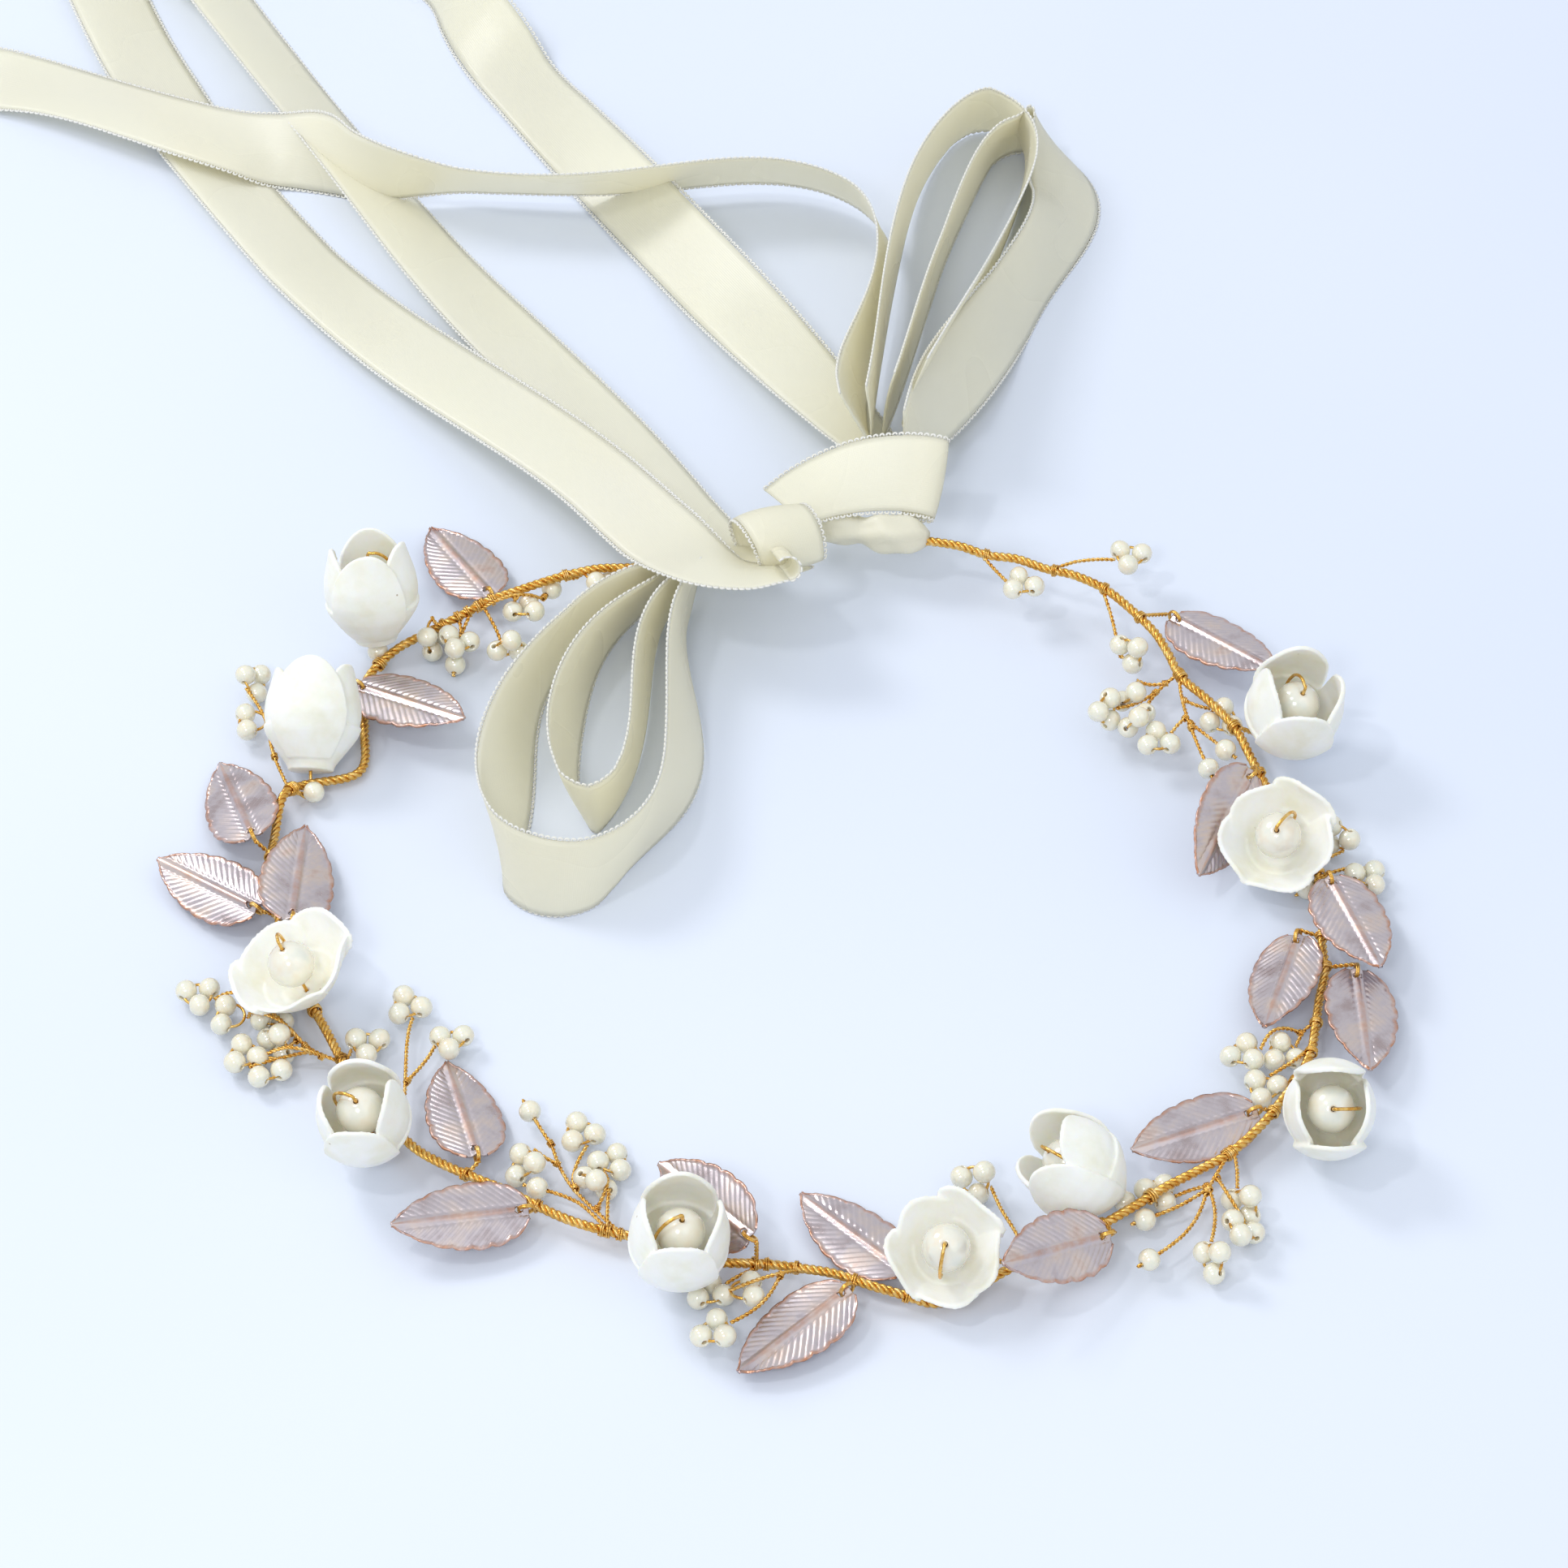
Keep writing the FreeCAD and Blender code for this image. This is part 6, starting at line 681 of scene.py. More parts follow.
def cup_profile(name, kind):
    """The cup's profile, with the broader foot that some buds have."""
    prof = [tuple(p) for p in (BUD if kind == "bud" else ROSE)]
    b = BASE_WIDE.get(name)
    if b:
        prof = [(0, b), (0.8, max(prof[1][1], b + 0.15)), (3, max(prof[2][1], b + 0.9))] + prof[3:]
    return prof


MM = 0.001
A = lambda p: np.array(p, float)


def unit(v):
    v = np.asarray(v, float)
    return v / max(1e-12, np.linalg.norm(v))


def basis(axis):
    a = unit(axis)
    x = A((1, 0, 0)) - a * a[0] if abs(a[0]) < 0.9 else A((0, 1, 0)) - a * a[1]
    x = unit(x)
    return x, np.cross(a, x), a


# ---------------------------------------------------------------- meshes
class Mesh:
    """Vertices in mm, faces, one material index and one UV set, gathered from several parts."""

    def __init__(self):
        self.v, self.f, self.m, self.uv = [], [], [], []
        self.n = 0

    def add(self, verts, faces, mat=0, uv=None):
        verts = np.asarray(verts, float)
        self.v.append(verts)
        for f in faces:
            self.f.append([i + self.n for i in f])
            self.m.append(mat)
        self.uv.append(np.zeros((len(verts), 2)) if uv is None else np.asarray(uv, float))
        self.n += len(verts)

    def make(self, name, mats, smooth=True):
        me = bpy.data.meshes.new(name)
        v = np.concatenate(self.v) * MM
        me.from_pydata(v.tolist(), [], self.f)
        uv = np.concatenate(self.uv)
        layer = me.uv_layers.new(name="uv")
        idx = np.zeros(len(me.loops), dtype=np.int32)
        me.loops.foreach_get("vertex_index", idx)
        layer.data.foreach_set("uv", uv[idx].astype(np.float32).ravel())
        for mt in mats:
            me.materials.append(mt)
        me.polygons.foreach_set("material_index", np.array(self.m, dtype=np.int32))
        me.polygons.foreach_set("use_smooth", np.full(len(me.polygons), smooth))
        me.update()
        ob = bpy.data.objects.new(name, me)
        bpy.context.scene.collection.objects.link(ob)
        return ob


def smooth_path(points, step):
    """Catmull-Rom curve through the points, sampled evenly every step mm."""
    p = A(points)
    if len(p) < 3:
        n = max(2, int(np.linalg.norm(p[1] - p[0]) / step) + 1)
        return p[0] + (p[-1] - p[0]) * np.linspace(0, 1, n)[:, None]
    q = np.vstack([2 * p[0] - p[1], p, 2 * p[-1] - p[-2]])
    out = []
    for i in range(1, len(q) - 2):
        t = np.linspace(0, 1, 24, endpoint=False)[:, None]
        a, b, c, d = q[i - 1], q[i], q[i + 1], q[i + 2]
        out.append(0.5 * (2 * b + (c - a) * t + (2 * a - 5 * b + 4 * c - d) * t ** 2 + (3 * b - a - 3 * c + d) * t ** 3))
    out = np.concatenate(out + [p[-1:]])
    s = np.concatenate([[0], np.cumsum(np.linalg.norm(np.diff(out, axis=0), axis=1))])
    n = max(2, int(s[-1] / step) + 1)
    g = np.linspace(0, s[-1], n)
    return np.stack([np.interp(g, s, out[:, k]) for k in range(3)], 1)


def frames(path):
    """Unit tangent, normal, binormal at each point, turning as little as possible."""
    t = np.gradient(path, axis=0)
    t /= np.maximum(1e-12, np.linalg.norm(t, axis=1))[:, None]
    n = np.zeros_like(t)
    n[0] = unit(np.cross(t[0], (0, 0, 1) if abs(t[0][2]) < 0.9 else (1, 0, 0)))
    for i in range(1, len(t)):
        m = n[i - 1] - t[i] * np.dot(n[i - 1], t[i])
        n[i] = unit(m)
    return t, n, np.cross(t, n)


def tube(mesh, path, radius, sides=8, closed=False, mat=0):
    path = A(path)
    n = len(path)
    if closed:
        c = path.mean(0)
        t = np.roll(path, -1, 0) - np.roll(path, 1, 0)
        t /= np.linalg.norm(t, axis=1)[:, None]
        nn = path - c
        nn -= t * (nn * t).sum(1)[:, None]
        nn /= np.linalg.norm(nn, axis=1)[:, None]
        b = np.cross(t, nn)
    else:
        t, nn, b = frames(path)
    ang = np.linspace(0, 2 * math.pi, sides, endpoint=False)
    r = np.broadcast_to(radius, (n,)) if np.ndim(radius) else np.full(n, radius)
    ring = path[:, None] + r[:, None, None] * (nn[:, None] * np.cos(ang)[None, :, None] + b[:, None] * np.sin(ang)[None, :, None])
    v = ring.reshape(-1, 3)
    s = np.concatenate([[0], np.cumsum(np.linalg.norm(np.diff(path, axis=0), axis=1))])
    uv = np.stack([np.repeat(s * 0.1, sides), np.tile(ang / 6.283, n)], 1)
    f = []
    m = n if closed else n - 1
    for i in range(m):
        j = (i + 1) % n
        for k in range(sides):
            l = (k + 1) % sides
            f.append((i * sides + k, i * sides + l, j * sides + l, j * sides + k))
    if not closed:
        f.append(tuple(range(sides))[::-1])
        f.append(tuple((n - 1) * sides + k for k in range(sides)))
    mesh.add(v, f, mat, uv)


def twisted(mesh, points, strands, wire_r, off, pitch, step, sides, phase=0.0):
    """Wires twisted together along a smooth path."""
    path = smooth_path(points, step)
    t, n, b = frames(path)
    s = np.arange(len(path)) * step
    for k in range(strands):
        a = 2 * math.pi * s / pitch + 2 * math.pi * k / strands + phase
        tube(mesh, path + off * (n * np.cos(a)[:, None] + b * np.sin(a)[:, None]), wire_r, sides)


def coil(mesh, centre, direction, radius, wire_r, turns, sides=6, pitch=None):
    x, y, z = basis(direction)
    pitch = pitch or wire_r * 2.05
    n = int(turns * 14) + 1
    a = np.linspace(0, 2 * math.pi * turns, n)
    rr = radius * (1 + 0.05 * np.sin(a * 0.37 + centre[0]))
    h = (a / (2 * math.pi) - turns / 2) * pitch
    path = A(centre) + rr[:, None] * (x * np.cos(a)[:, None] + y * np.sin(a)[:, None]) + z * h[:, None]
    tube(mesh, path, wire_r, sides)


def revolve(mesh, prof, origin, axis, segs, mat=0):
    """A closed profile of (r, z) turned about the axis."""
    x, y, z = basis(axis)
    prof = A(prof)
    a = np.linspace(0, 2 * math.pi, segs, endpoint=False)
    v = A(origin) + prof[:, 0][:, None, None] * (x[None, None] * np.cos(a)[None, :, None] + y[None, None] * np.sin(a)[None, :, None]) + prof[:, 1][:, None, None] * z
    m = len(prof)
    f = []
    for i in range(m):
        j = (i + 1) % m
        for k in range(segs):
            l = (k + 1) % segs
            f.append((i * segs + k, i * segs + l, j * segs + l, j * segs + k))
    uv = np.stack([np.tile(a / 6.283, m), np.repeat(prof[:, 1] * 0.1, segs)], 1)
    mesh.add(v.reshape(-1, 3), f, mat, uv)


def bead_profile(R, bore, steps, squash=1.0):
    """Outside of a pearl bead with the rim of its hole worn round, and the bore."""
    a0 = math.asin((bore + 0.16 * R ** 0.5) / R)
    out = []
    for a in np.linspace(a0, math.pi - a0, steps):
        out.append((R * math.sin(a), R * math.cos(a) * squash))
    zt = out[0][1]
    out.append((bore * 1.12, -zt + 0.02))
    out.append((bore, -zt + 0.22))
    out.append((bore, zt - 0.22))
    out.append((bore * 1.12, zt - 0.02))
    return out[::-1]


# ---------------------------------------------------------------- materials
def nodes_of(name):
    m = bpy.data.materials.new(name)
    m.use_nodes = True
    nt = m.node_tree
    bs = nt.nodes["Principled BSDF"]
    return m, nt, bs


def noise(nt, scale, detail=3.0, coord="Object", rough=0.55):
    tc = nt.nodes.new("ShaderNodeTexCoord")
    n = nt.nodes.new("ShaderNodeTexNoise")
    n.inputs["Scale"].default_value = scale
    n.inputs["Detail"].default_value = detail
    n.inputs["Roughness"].default_value = rough
    nt.links.new(tc.outputs[coord], n.inputs["Vector"])
    return n


def ramp(nt, fac, stops):
    r = nt.nodes.new("ShaderNodeValToRGB")
    e = r.color_ramp.elements
    while len(e) < len(stops):
        e.new(0.5)
    for k, (p, c) in enumerate(stops):
        e[k].position = p
        e[k].color = (*c, 1)
    nt.links.new(fac, r.inputs["Fac"])
    return r


def lin(h):
    c = [int(h[i:i + 2], 16) / 255 for i in (0, 2, 4)]
    return tuple(x / 12.92 if x <= 0.04045 else ((x + 0.055) / 1.055) ** 2.4 for x in c)


def maprange(nt, src, a, b, c, d):
    m = nt.nodes.new("ShaderNodeMapRange")
    for k, v in zip(("From Min", "From Max", "To Min", "To Max"), (a, b, c, d)):
        m.inputs[k].default_value = v
    nt.links.new(src, m.inputs["Value"])
    return m


def math_node(nt, op, a, b=None):
    m = nt.nodes.new("ShaderNodeMath")
    m.operation = op
    for i, v in enumerate((a, b)):
        if v is None:
            continue
        if isinstance(v, (int, float)):
            m.inputs[i].default_value = v
        else:
            nt.links.new(v, m.inputs[i])
    return m.outputs[0]


def bump(nt, height, strength, dist, prev=None):
    b = nt.nodes.new("ShaderNodeBump")
    b.inputs["Strength"].default_value = strength
    b.inputs["Distance"].default_value = dist
    nt.links.new(height, b.inputs["Height"])
    if prev is not None:
        nt.links.new(prev.outputs["Normal"], b.inputs["Normal"])
    return b


def gold_material():
    m, nt, bs = nodes_of("gold_wire")
    n = noise(nt, 900, 4)
    r = ramp(nt, n.outputs["Fac"], [(0.3, lin("CB9040")), (0.52, lin("E8B75E")), (0.75, lin("F9DC9E"))])
    nt.links.new(r.outputs["Color"], bs.inputs["Base Color"])
    bs.inputs["Metallic"].default_value = 1.0
    rr = maprange(nt, n.outputs["Fac"], 0.3, 0.7, 0.2, 0.36)
    nt.links.new(rr.outputs["Result"], bs.inputs["Roughness"])
    fine = noise(nt, 5200, 2)
    b = bump(nt, fine.outputs["Fac"], 0.35, 0.00004)
    nt.links.new(b.outputs["Normal"], bs.inputs["Normal"])
    bs.inputs["Anisotropic"].default_value = 0.35
    return m


def clay_material():
    m, nt, bs = nodes_of("white_clay")
    n = noise(nt, 160, 4)
    r = ramp(nt, n.outputs["Fac"], [(0.32, lin("F1EEDD")), (0.5, lin("F8F6EC")), (0.7, lin("FCFBF6"))])
    # a few tiny specks caught in the clay
    tc = nt.nodes.new("ShaderNodeTexCoord")
    vo = nt.nodes.new("ShaderNodeTexVoronoi")
    vo.inputs["Scale"].default_value = 150
    nt.links.new(tc.outputs["Object"], vo.inputs["Vector"])
    speck = maprange(nt, vo.outputs["Distance"], 0.018, 0.035, 1.0, 0.0)
    mx = nt.nodes.new("ShaderNodeMix")
    mx.data_type = "RGBA"
    nt.links.new(speck.outputs["Result"], mx.inputs["Factor"])
    nt.links.new(r.outputs["Color"], mx.inputs["A"])
    mx.inputs["B"].default_value = (*lin("B9A98C"), 1)
    nt.links.new(mx.outputs["Result"], bs.inputs["Base Color"])
    bs.inputs["Subsurface Weight"].default_value = 0.35
    bs.inputs["Subsurface Radius"].default_value = (1.0, 0.75, 0.45)
    bs.inputs["Subsurface Scale"].default_value = 0.002
    bs.inputs["Specular IOR Level"].default_value = 0.4
    bs.inputs["Sheen Weight"].default_value = 0.12
    rr = maprange(nt, n.outputs["Fac"], 0.3, 0.7, 0.46, 0.62)
    nt.links.new(rr.outputs["Result"], bs.inputs["Roughness"])
    fine = noise(nt, 1500, 5)
    b = bump(nt, fine.outputs["Fac"], 0.22, 0.00012)
    wide = noise(nt, 240, 2)
    b2 = bump(nt, wide.outputs["Fac"], 0.18, 0.0006, b)
    nt.links.new(b2.outputs["Normal"], bs.inputs["Normal"])
    return m


def pearl_material(name, painted_rim_shade, mid, light, glow, small):
    m, nt, bs = nodes_of(name)
    # painted shade: the base colour darkens from the pearl's face towards its rim as the surface turns away from the
    # view; this is partly the nacre's own lustre and partly painted rim shade
    lw = nt.nodes.new("ShaderNodeLayerWeight")
    lw.inputs["Blend"].default_value = 0.35
    r = ramp(nt, lw.outputs["Facing"], [(0.0, lin(light)), (0.45, lin(mid)), (0.9, lin(painted_rim_shade))])
    n = noise(nt, 420 if small else 260, 3)
    tint = ramp(nt, n.outputs["Fac"], [(0.3, lin("FFF3E2")), (0.5, lin("FFFDF6")), (0.72, lin("EFF4F2"))])
    mx = nt.nodes.new("ShaderNodeMix")
    mx.data_type = "RGBA"
    mx.blend_type = "MULTIPLY"
    mx.inputs["Factor"].default_value = 0.8
    nt.links.new(r.outputs["Color"], mx.inputs["A"])
    nt.links.new(tint.outputs["Color"], mx.inputs["B"])
    nt.links.new(mx.outputs["Result"], bs.inputs["Base Color"])
    rr = maprange(nt, n.outputs["Fac"], 0.3, 0.7, 0.14, 0.22)
    nt.links.new(rr.outputs["Result"], bs.inputs["Roughness"])
    bs.inputs["Metallic"].default_value = 0.12
    bs.inputs["Subsurface Weight"].default_value = 0.3
    bs.inputs["Subsurface Radius"].default_value = glow
    bs.inputs["Subsurface Scale"].default_value = 0.0012
    bs.inputs["Coat Weight"].default_value = 1.0
    bs.inputs["Coat Roughness"].default_value = 0.06
    bs.inputs["Sheen Weight"].default_value = 0.15
    bs.inputs["IOR"].default_value = 1.6
    fine = noise(nt, 2600, 3)
    b = bump(nt, fine.outputs["Fac"], 0.08, 0.00005)
    nt.links.new(b.outputs["Normal"], bs.inputs["Normal"])
    return m


def uv_parts(nt):
    tc = nt.nodes.new("ShaderNodeTexCoord")
    sp = nt.nodes.new("ShaderNodeSeparateXYZ")
    nt.links.new(tc.outputs["UV"], sp.inputs["Vector"])
    return tc, sp.outputs["X"], sp.outputs["Y"]


def leaf_material():
    m, nt, bs = nodes_of("leaf_metal")
    tc, u, v = uv_parts(nt)
    n = noise(nt, 170, 4)
    base = ramp(nt, n.outputs["Fac"], [(0.3, lin("B7A6A6")), (0.48, lin("CFC4C8")), (0.62, lin("DCCBC4")), (0.8, lin("C9A595"))])
    # copper shows on the rim and along the mid vein
    side = math_node(nt, "ABSOLUTE", v)
    rim = maprange(nt, side, 0.86, 0.97, 0.0, 1.0)
    vein = maprange(nt, side, 0.04, 0.11, 0.55, 0.0)
    both = math_node(nt, "MAXIMUM", rim.outputs["Result"], vein.outputs["Result"])
    worn = noise(nt, 700, 3)
    both = math_node(nt, "MULTIPLY", both, maprange(nt, worn.outputs["Fac"], 0.3, 0.65, 0.25, 1.0).outputs["Result"])
    mx = nt.nodes.new("ShaderNodeMix")
    mx.data_type = "RGBA"
    nt.links.new(both, mx.inputs["Factor"])
    nt.links.new(base.outputs["Color"], mx.inputs["A"])
    mx.inputs["B"].default_value = (*lin("C99070"), 1)
    nt.links.new(mx.outputs["Result"], bs.inputs["Base Color"])
    bs.inputs["Metallic"].default_value = 0.92
    rr = maprange(nt, n.outputs["Fac"], 0.3, 0.7, 0.24, 0.4)
    nt.links.new(rr.outputs["Result"], bs.inputs["Roughness"])
    bs.inputs["Coat Weight"].default_value = 0.25
    bs.inputs["Coat Roughness"].default_value = 0.15
    bs.inputs["Anisotropic"].default_value = 0.25
    fine = noise(nt, 2200, 4)
    b = bump(nt, fine.outputs["Fac"], 0.3, 0.00008)
    nt.links.new(b.outputs["Normal"], bs.inputs["Normal"])
    return m


def ribbon_material(name, picot=False):
    m, nt, bs = nodes_of(name)
    tc, u, v = uv_parts(nt)
    n = noise(nt, 30, 1)
    r = ramp(nt, n.outputs["Fac"], [(0.1, lin("FBF8E5" if not picot else "FCFAEF")), (0.5, lin("FCFAEB" if not picot else "FDFBF4")), (0.9, lin("FDFBF0" if not picot else "FEFDF9"))])
    nt.links.new(r.outputs["Color"], bs.inputs["Base Color"])
    bs.inputs["Sheen Weight"].default_value = 0.4
    bs.inputs["Sheen Roughness"].default_value = 0.3
    bs.inputs["Specular IOR Level"].default_value = 0.75
    bs.inputs["Subsurface Weight"].default_value = 0.12
    bs.inputs["Subsurface Radius"].default_value = (1.0, 0.95, 0.75)
    bs.inputs["Subsurface Scale"].default_value = 0.0012
    if not picot:
        bs.inputs["Anisotropic"].default_value = 0.7
        tg = nt.nodes.new("ShaderNodeTangent")
        tg.direction_type = "UV_MAP"
        tg.uv_map = "uv"
        nt.links.new(tg.outputs["Tangent"], bs.inputs["Tangent"])
    rr = maprange(nt, n.outputs["Fac"], 0.3, 0.7, 0.24, 0.33)
    nt.links.new(rr.outputs["Result"], bs.inputs["Roughness"])
    # warp and weft of the satin
    w1 = math_node(nt, "SINE", math_node(nt, "MULTIPLY", u, 6.2832 * 46))
    w2 = math_node(nt, "SINE", math_node(nt, "MULTIPLY", v, 6.2832 * 26 if not picot else 200.0))
    weave = math_node(nt, "ADD", math_node(nt, "MULTIPLY", w1, 0.5), math_node(nt, "MULTIPLY", w2, 0.6))
    b = bump(nt, weave, 0.28, 0.00005)
    soft = noise(nt, 60, 1)
    b2 = bump(nt, soft.outputs["Fac"], 0.02, 0.0005, b)
    nt.links.new(b2.outputs["Normal"], bs.inputs["Normal"])
    # light comes through the thin cloth
    tr = nt.nodes.new("ShaderNodeBsdfTranslucent")
    tr.inputs["Color"].default_value = (*lin("FFFAE4"), 1)
    ms = nt.nodes.new("ShaderNodeMixShader")
    ms.inputs["Fac"].default_value = 0.36 if not picot else 0.12
    out = nt.nodes["Material Output"]
    nt.links.new(bs.outputs["BSDF"], ms.inputs[1])
    nt.links.new(tr.outputs["BSDF"], ms.inputs[2])
    nt.links.new(ms.outputs["Shader"], out.inputs["Surface"])
    return m


GOLD = gold_material()
CLAY = clay_material()
# the first colour of each pearl is the painted shade at its rim; the other two run towards its face
PEARL = pearl_material("centre_pearl", "D2CEBE", "EAE7DB", "F7F5EC", (1.0, 0.9, 0.7), False)
SMALL = pearl_material("small_pearl", "D6CFB6", "EBE6D3", "F6F3E6", (1.0, 0.88, 0.6), True)
LEAFM = leaf_material()
SATIN = ribbon_material("satin_ribbon")
PICOT = ribbon_material("satin_picot", True)


def finish_piece(ob, body, node):
    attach(ob, body)
    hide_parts(node)


# ---------------------------------------------------------------- vine and wires
vine_path = smooth_path(VINE, 1.0)


def nearest_vine(p):
    d = np.linalg.norm(vine_path - A(p), axis=1)
    i = int(d.argmin())
    j0, j1 = max(0, i - 1), min(len(vine_path) - 1, i + 1)
    return vine_path[i], unit(vine_path[j1] - vine_path[j0]), float(d[i])


m = Mesh()
twisted(m, VINE, 3, 0.41, 0.44, 3.6, 0.3, 8)
finish_piece(m.make("main_vine_twisted", [GOLD]), "vine", "main_vine_wire")

m = Mesh()
for i, (name, kind, base, axis, s, hp, root, elbow) in enumerate(FLOWERS):
    x, y, z = basis(axis)
    o = A(base) + z * hp
    side = x * math.cos(0.9 * i) + y * math.sin(0.9 * i)
    top = 4.0 if True else 0
    up = [A(base) + z * 0.2, o - z * 2, o + z * 4.9]
    arc = [o + z * 5.55 + side * 0.9, o + z * 5.35 + side * 2.1, o + z * 4.3 + side * 3.4, o + z * 2.4 + side * 4.4,
           o - z * 0.8 + side * 4.85, o - z * 3.2 + side * 4.1]
    tube(m, smooth_path([A(root), A(elbow)] + up[:1], 0.3), 0.3, 8)
    tube(m, smooth_path([up[0], up[1], up[2]] + arc, 0.3), 0.3, 8)
    # the stem below the flower is two wires twisted
    twisted(m, [A(root), (A(root) + A(elbow)) / 2, A(elbow)], 2, 0.24, 0.26, 2.0, 0.25, 6)
    c, d, dist = nearest_vine(root)
    coil(m, c, d, 1.08, 0.22, 3)
finish_piece(m.make("flower_stems_looped", [GOLD]), "vine", "flower_stem_wires")

m = Mesh()
for pts in SPRAY_STEMS:
    twisted(m, pts, 2, 0.2, 0.17, 1.7, 0.22, 6, phase=pts[0][0])
    for end in (pts[0],):
        c, d, dist = nearest_vine(end)
        if dist < 1.8:
            coil(m, c, d, 1.02, 0.17, 2.5)
        else:
            coil(m, end, A(pts[1]) - A(pts[0]), 0.5, 0.15, 3)
finish_piece(m.make("spray_stems_twisted", [GOLD]), "vine", "spray_wires")

m = Mesh()
for node, florets in SPRAYS:
    for centres, hold in florets:
        if len(hold) == 3:
            c, nrm, rad = hold
            x, y, z = basis(nrm)
            a = np.linspace(0, 2 * math.pi, 40, endpoint=False)
            r = rad * (1 + 0.02 * np.sin(3 * a + c[0]))
            tube(m, A(c) + r[:, None] * (x * np.cos(a)[:, None] + y * np.sin(a)[:, None]), 0.26, 6, closed=True)
finish_piece(m.make("floret_wire_loops", [GOLD]), "vine", "floret_loops")

m = Mesh()
for name, hole, u, v, n, s in LEAVES:
    u_, v_ = unit(u), unit(v)
    n_ = np.cross(u_, v_)
    c = A(hole) - u_ * 1.3
    a = np.linspace(0, 2 * math.pi * 1.9, 46)
    off = np.linspace(-0.24, 0.24, 46)
    tube(m, c + 1.3 * (u_ * np.cos(a)[:, None] + n_ * np.sin(a)[:, None]) + v_ * off[:, None], 0.24, 6)
for a, b in TIE_STEMS:
    twisted(m, [a, (A(a) + A(b)) / 2, b], 2, 0.22, 0.2, 1.8, 0.22, 6)
    c, d, dist = nearest_vine(b)
    if dist < 2.2:
        coil(m, c, d, 1.05, 0.19, 2.5)
finish_piece(m.make("leaf_ties_wound", [GOLD]), "vine", "leaf_tie_wires")

# ---------------------------------------------------------------- pearl beads
def spread(k):
    return math.sin(k * 12.9898 + 4.1) * 0.5


small_prof = {q: bead_profile(1.9, 0.42, 15, q) for q in (0.95, 0.98, 1.0)}
k = 0
for node, florets in SPRAYS:
    m = Mesh()
    for centres, hold in florets:
        for p in centres:
            if len(hold) == 3:
                c, nrm, rad = hold
                along = np.cross(A(nrm), A(p) - A(c))
            else:
                along = A(hold[0])
            q = (0.95, 0.98, 1.0)[k % 3]
            revolve(m, A(small_prof[q]) * (1 + 0.02 * spread(k)), p, along, 24)
            k += 1
    finish_piece(m.make("beads_" + node, [SMALL]), "vine", node)

m = Mesh()
for centre, along in STOPPER_BEADS:
    revolve(m, small_prof[0.98], centre, along, 24)
finish_piece(m.make("beads_under_flowers", [SMALL]), "vine", "stopper_beads")

big_prof = bead_profile(4.0, 0.42, 30)
for i, (name, kind, base, axis, s, hp, root, elbow) in enumerate(FLOWERS):
    m = Mesh()
    x, y, z = basis(axis)
    revolve(m, big_prof, A(base) + z * hp, z, 48)
    finish_piece(m.make("pearl_in_" + name, [PEARL]), FLOWER_BODY[name], "centre_pearl_%d" % (i + 1))


# ---------------------------------------------------------------- clay flowers
def radius_at(prof, h):
    h_, r_ = A(prof)[:, 0], A(prof)[:, 1]
    n = 60
    g = np.linspace(h_[0], h_[-1], n)
    r = np.interp(g, h_, r_)
    for _ in range(6):
        r[1:-1] = (r[:-2] + 2 * r[1:-1] + r[2:]) / 4
    return np.interp(h, g, r)


def petal(mesh, kind, prof, s, centre, half, shift, H, base_h, seed, x, y, z, o):
    """One thick petal: a curved patch with a squared rim, which the remesh later rounds, standing shift mm outside or
    inside the cup's radius.
    """
    nt_, nq = 27, 25
    T, Q = np.meshgrid(np.linspace(-1, 1, nt_), np.linspace(0, 1, nq), indexing="ij")
    edge = np.sqrt(np.maximum(0, 1 - np.abs(T) ** 2.2))
    if kind == "bud":
        top = H * ((0.60 + 0.40 * edge) if shift > -0.5 else (0.70 + 0.29 * edge)) + 0.25 * np.sin(2.2 * T + seed)
        grow = 1.0 - 0.1 * Q ** 2
        flare = 0.0
    else:
        top = H * (0.70 + 0.30 * edge) + 0.5 * np.sin(3.1 * T + 1.7 * seed) * edge
        grow = 1.0 + 0.03 * Q
        flare = 0.75 * Q ** 5 + 0.42 * np.sin(4.2 * T + 2.3 * seed) * Q ** 3
    hh = base_h + (top - base_h) * Q
    ang = np.radians(centre + T * half * grow + 2.0 * math.sin(seed * 3.1))
    r_out = radius_at(prof, hh / s) * s + shift + flare + 0.3 * T ** 2 * Q
    th = CLAY_WALL * (1.02 - 0.25 * Q)
    r_in = np.maximum(0.6, r_out - th)
    pts = []
    for r in (r_out, r_in):
        p = o + r[..., None] * (x * np.cos(ang)[..., None] + y * np.sin(ang)[..., None]) + hh[..., None] * z
        pts.append(p)
    # the outer and inner layers, joined by walls round the edge
    n = nt_ * nq
    v = np.concatenate([pts[0].reshape(-1, 3), pts[1].reshape(-1, 3)])
    idx = lambda i, j, l: l * n + i * nq + j
    f = []
    for i in range(nt_ - 1):
        for j in range(nq - 1):
            f.append((idx(i, j, 0), idx(i + 1, j, 0), idx(i + 1, j + 1, 0), idx(i, j + 1, 0)))
            f.append((idx(i, j, 1), idx(i, j + 1, 1), idx(i + 1, j + 1, 1), idx(i + 1, j, 1)))
    for i in range(nt_ - 1):
        f.append((idx(i, 0, 0), idx(i, 0, 1), idx(i + 1, 0, 1), idx(i + 1, 0, 0)))
        f.append((idx(i, nq - 1, 0), idx(i + 1, nq - 1, 0), idx(i + 1, nq - 1, 1), idx(i, nq - 1, 1)))
    for j in range(nq - 1):
        f.append((idx(0, j, 0), idx(0, j + 1, 0), idx(0, j + 1, 1), idx(0, j, 1)))
        f.append((idx(nt_ - 1, j, 0), idx(nt_ - 1, j, 1), idx(nt_ - 1, j + 1, 1), idx(nt_ - 1, j + 1, 0)))
    mesh.add(v, f)


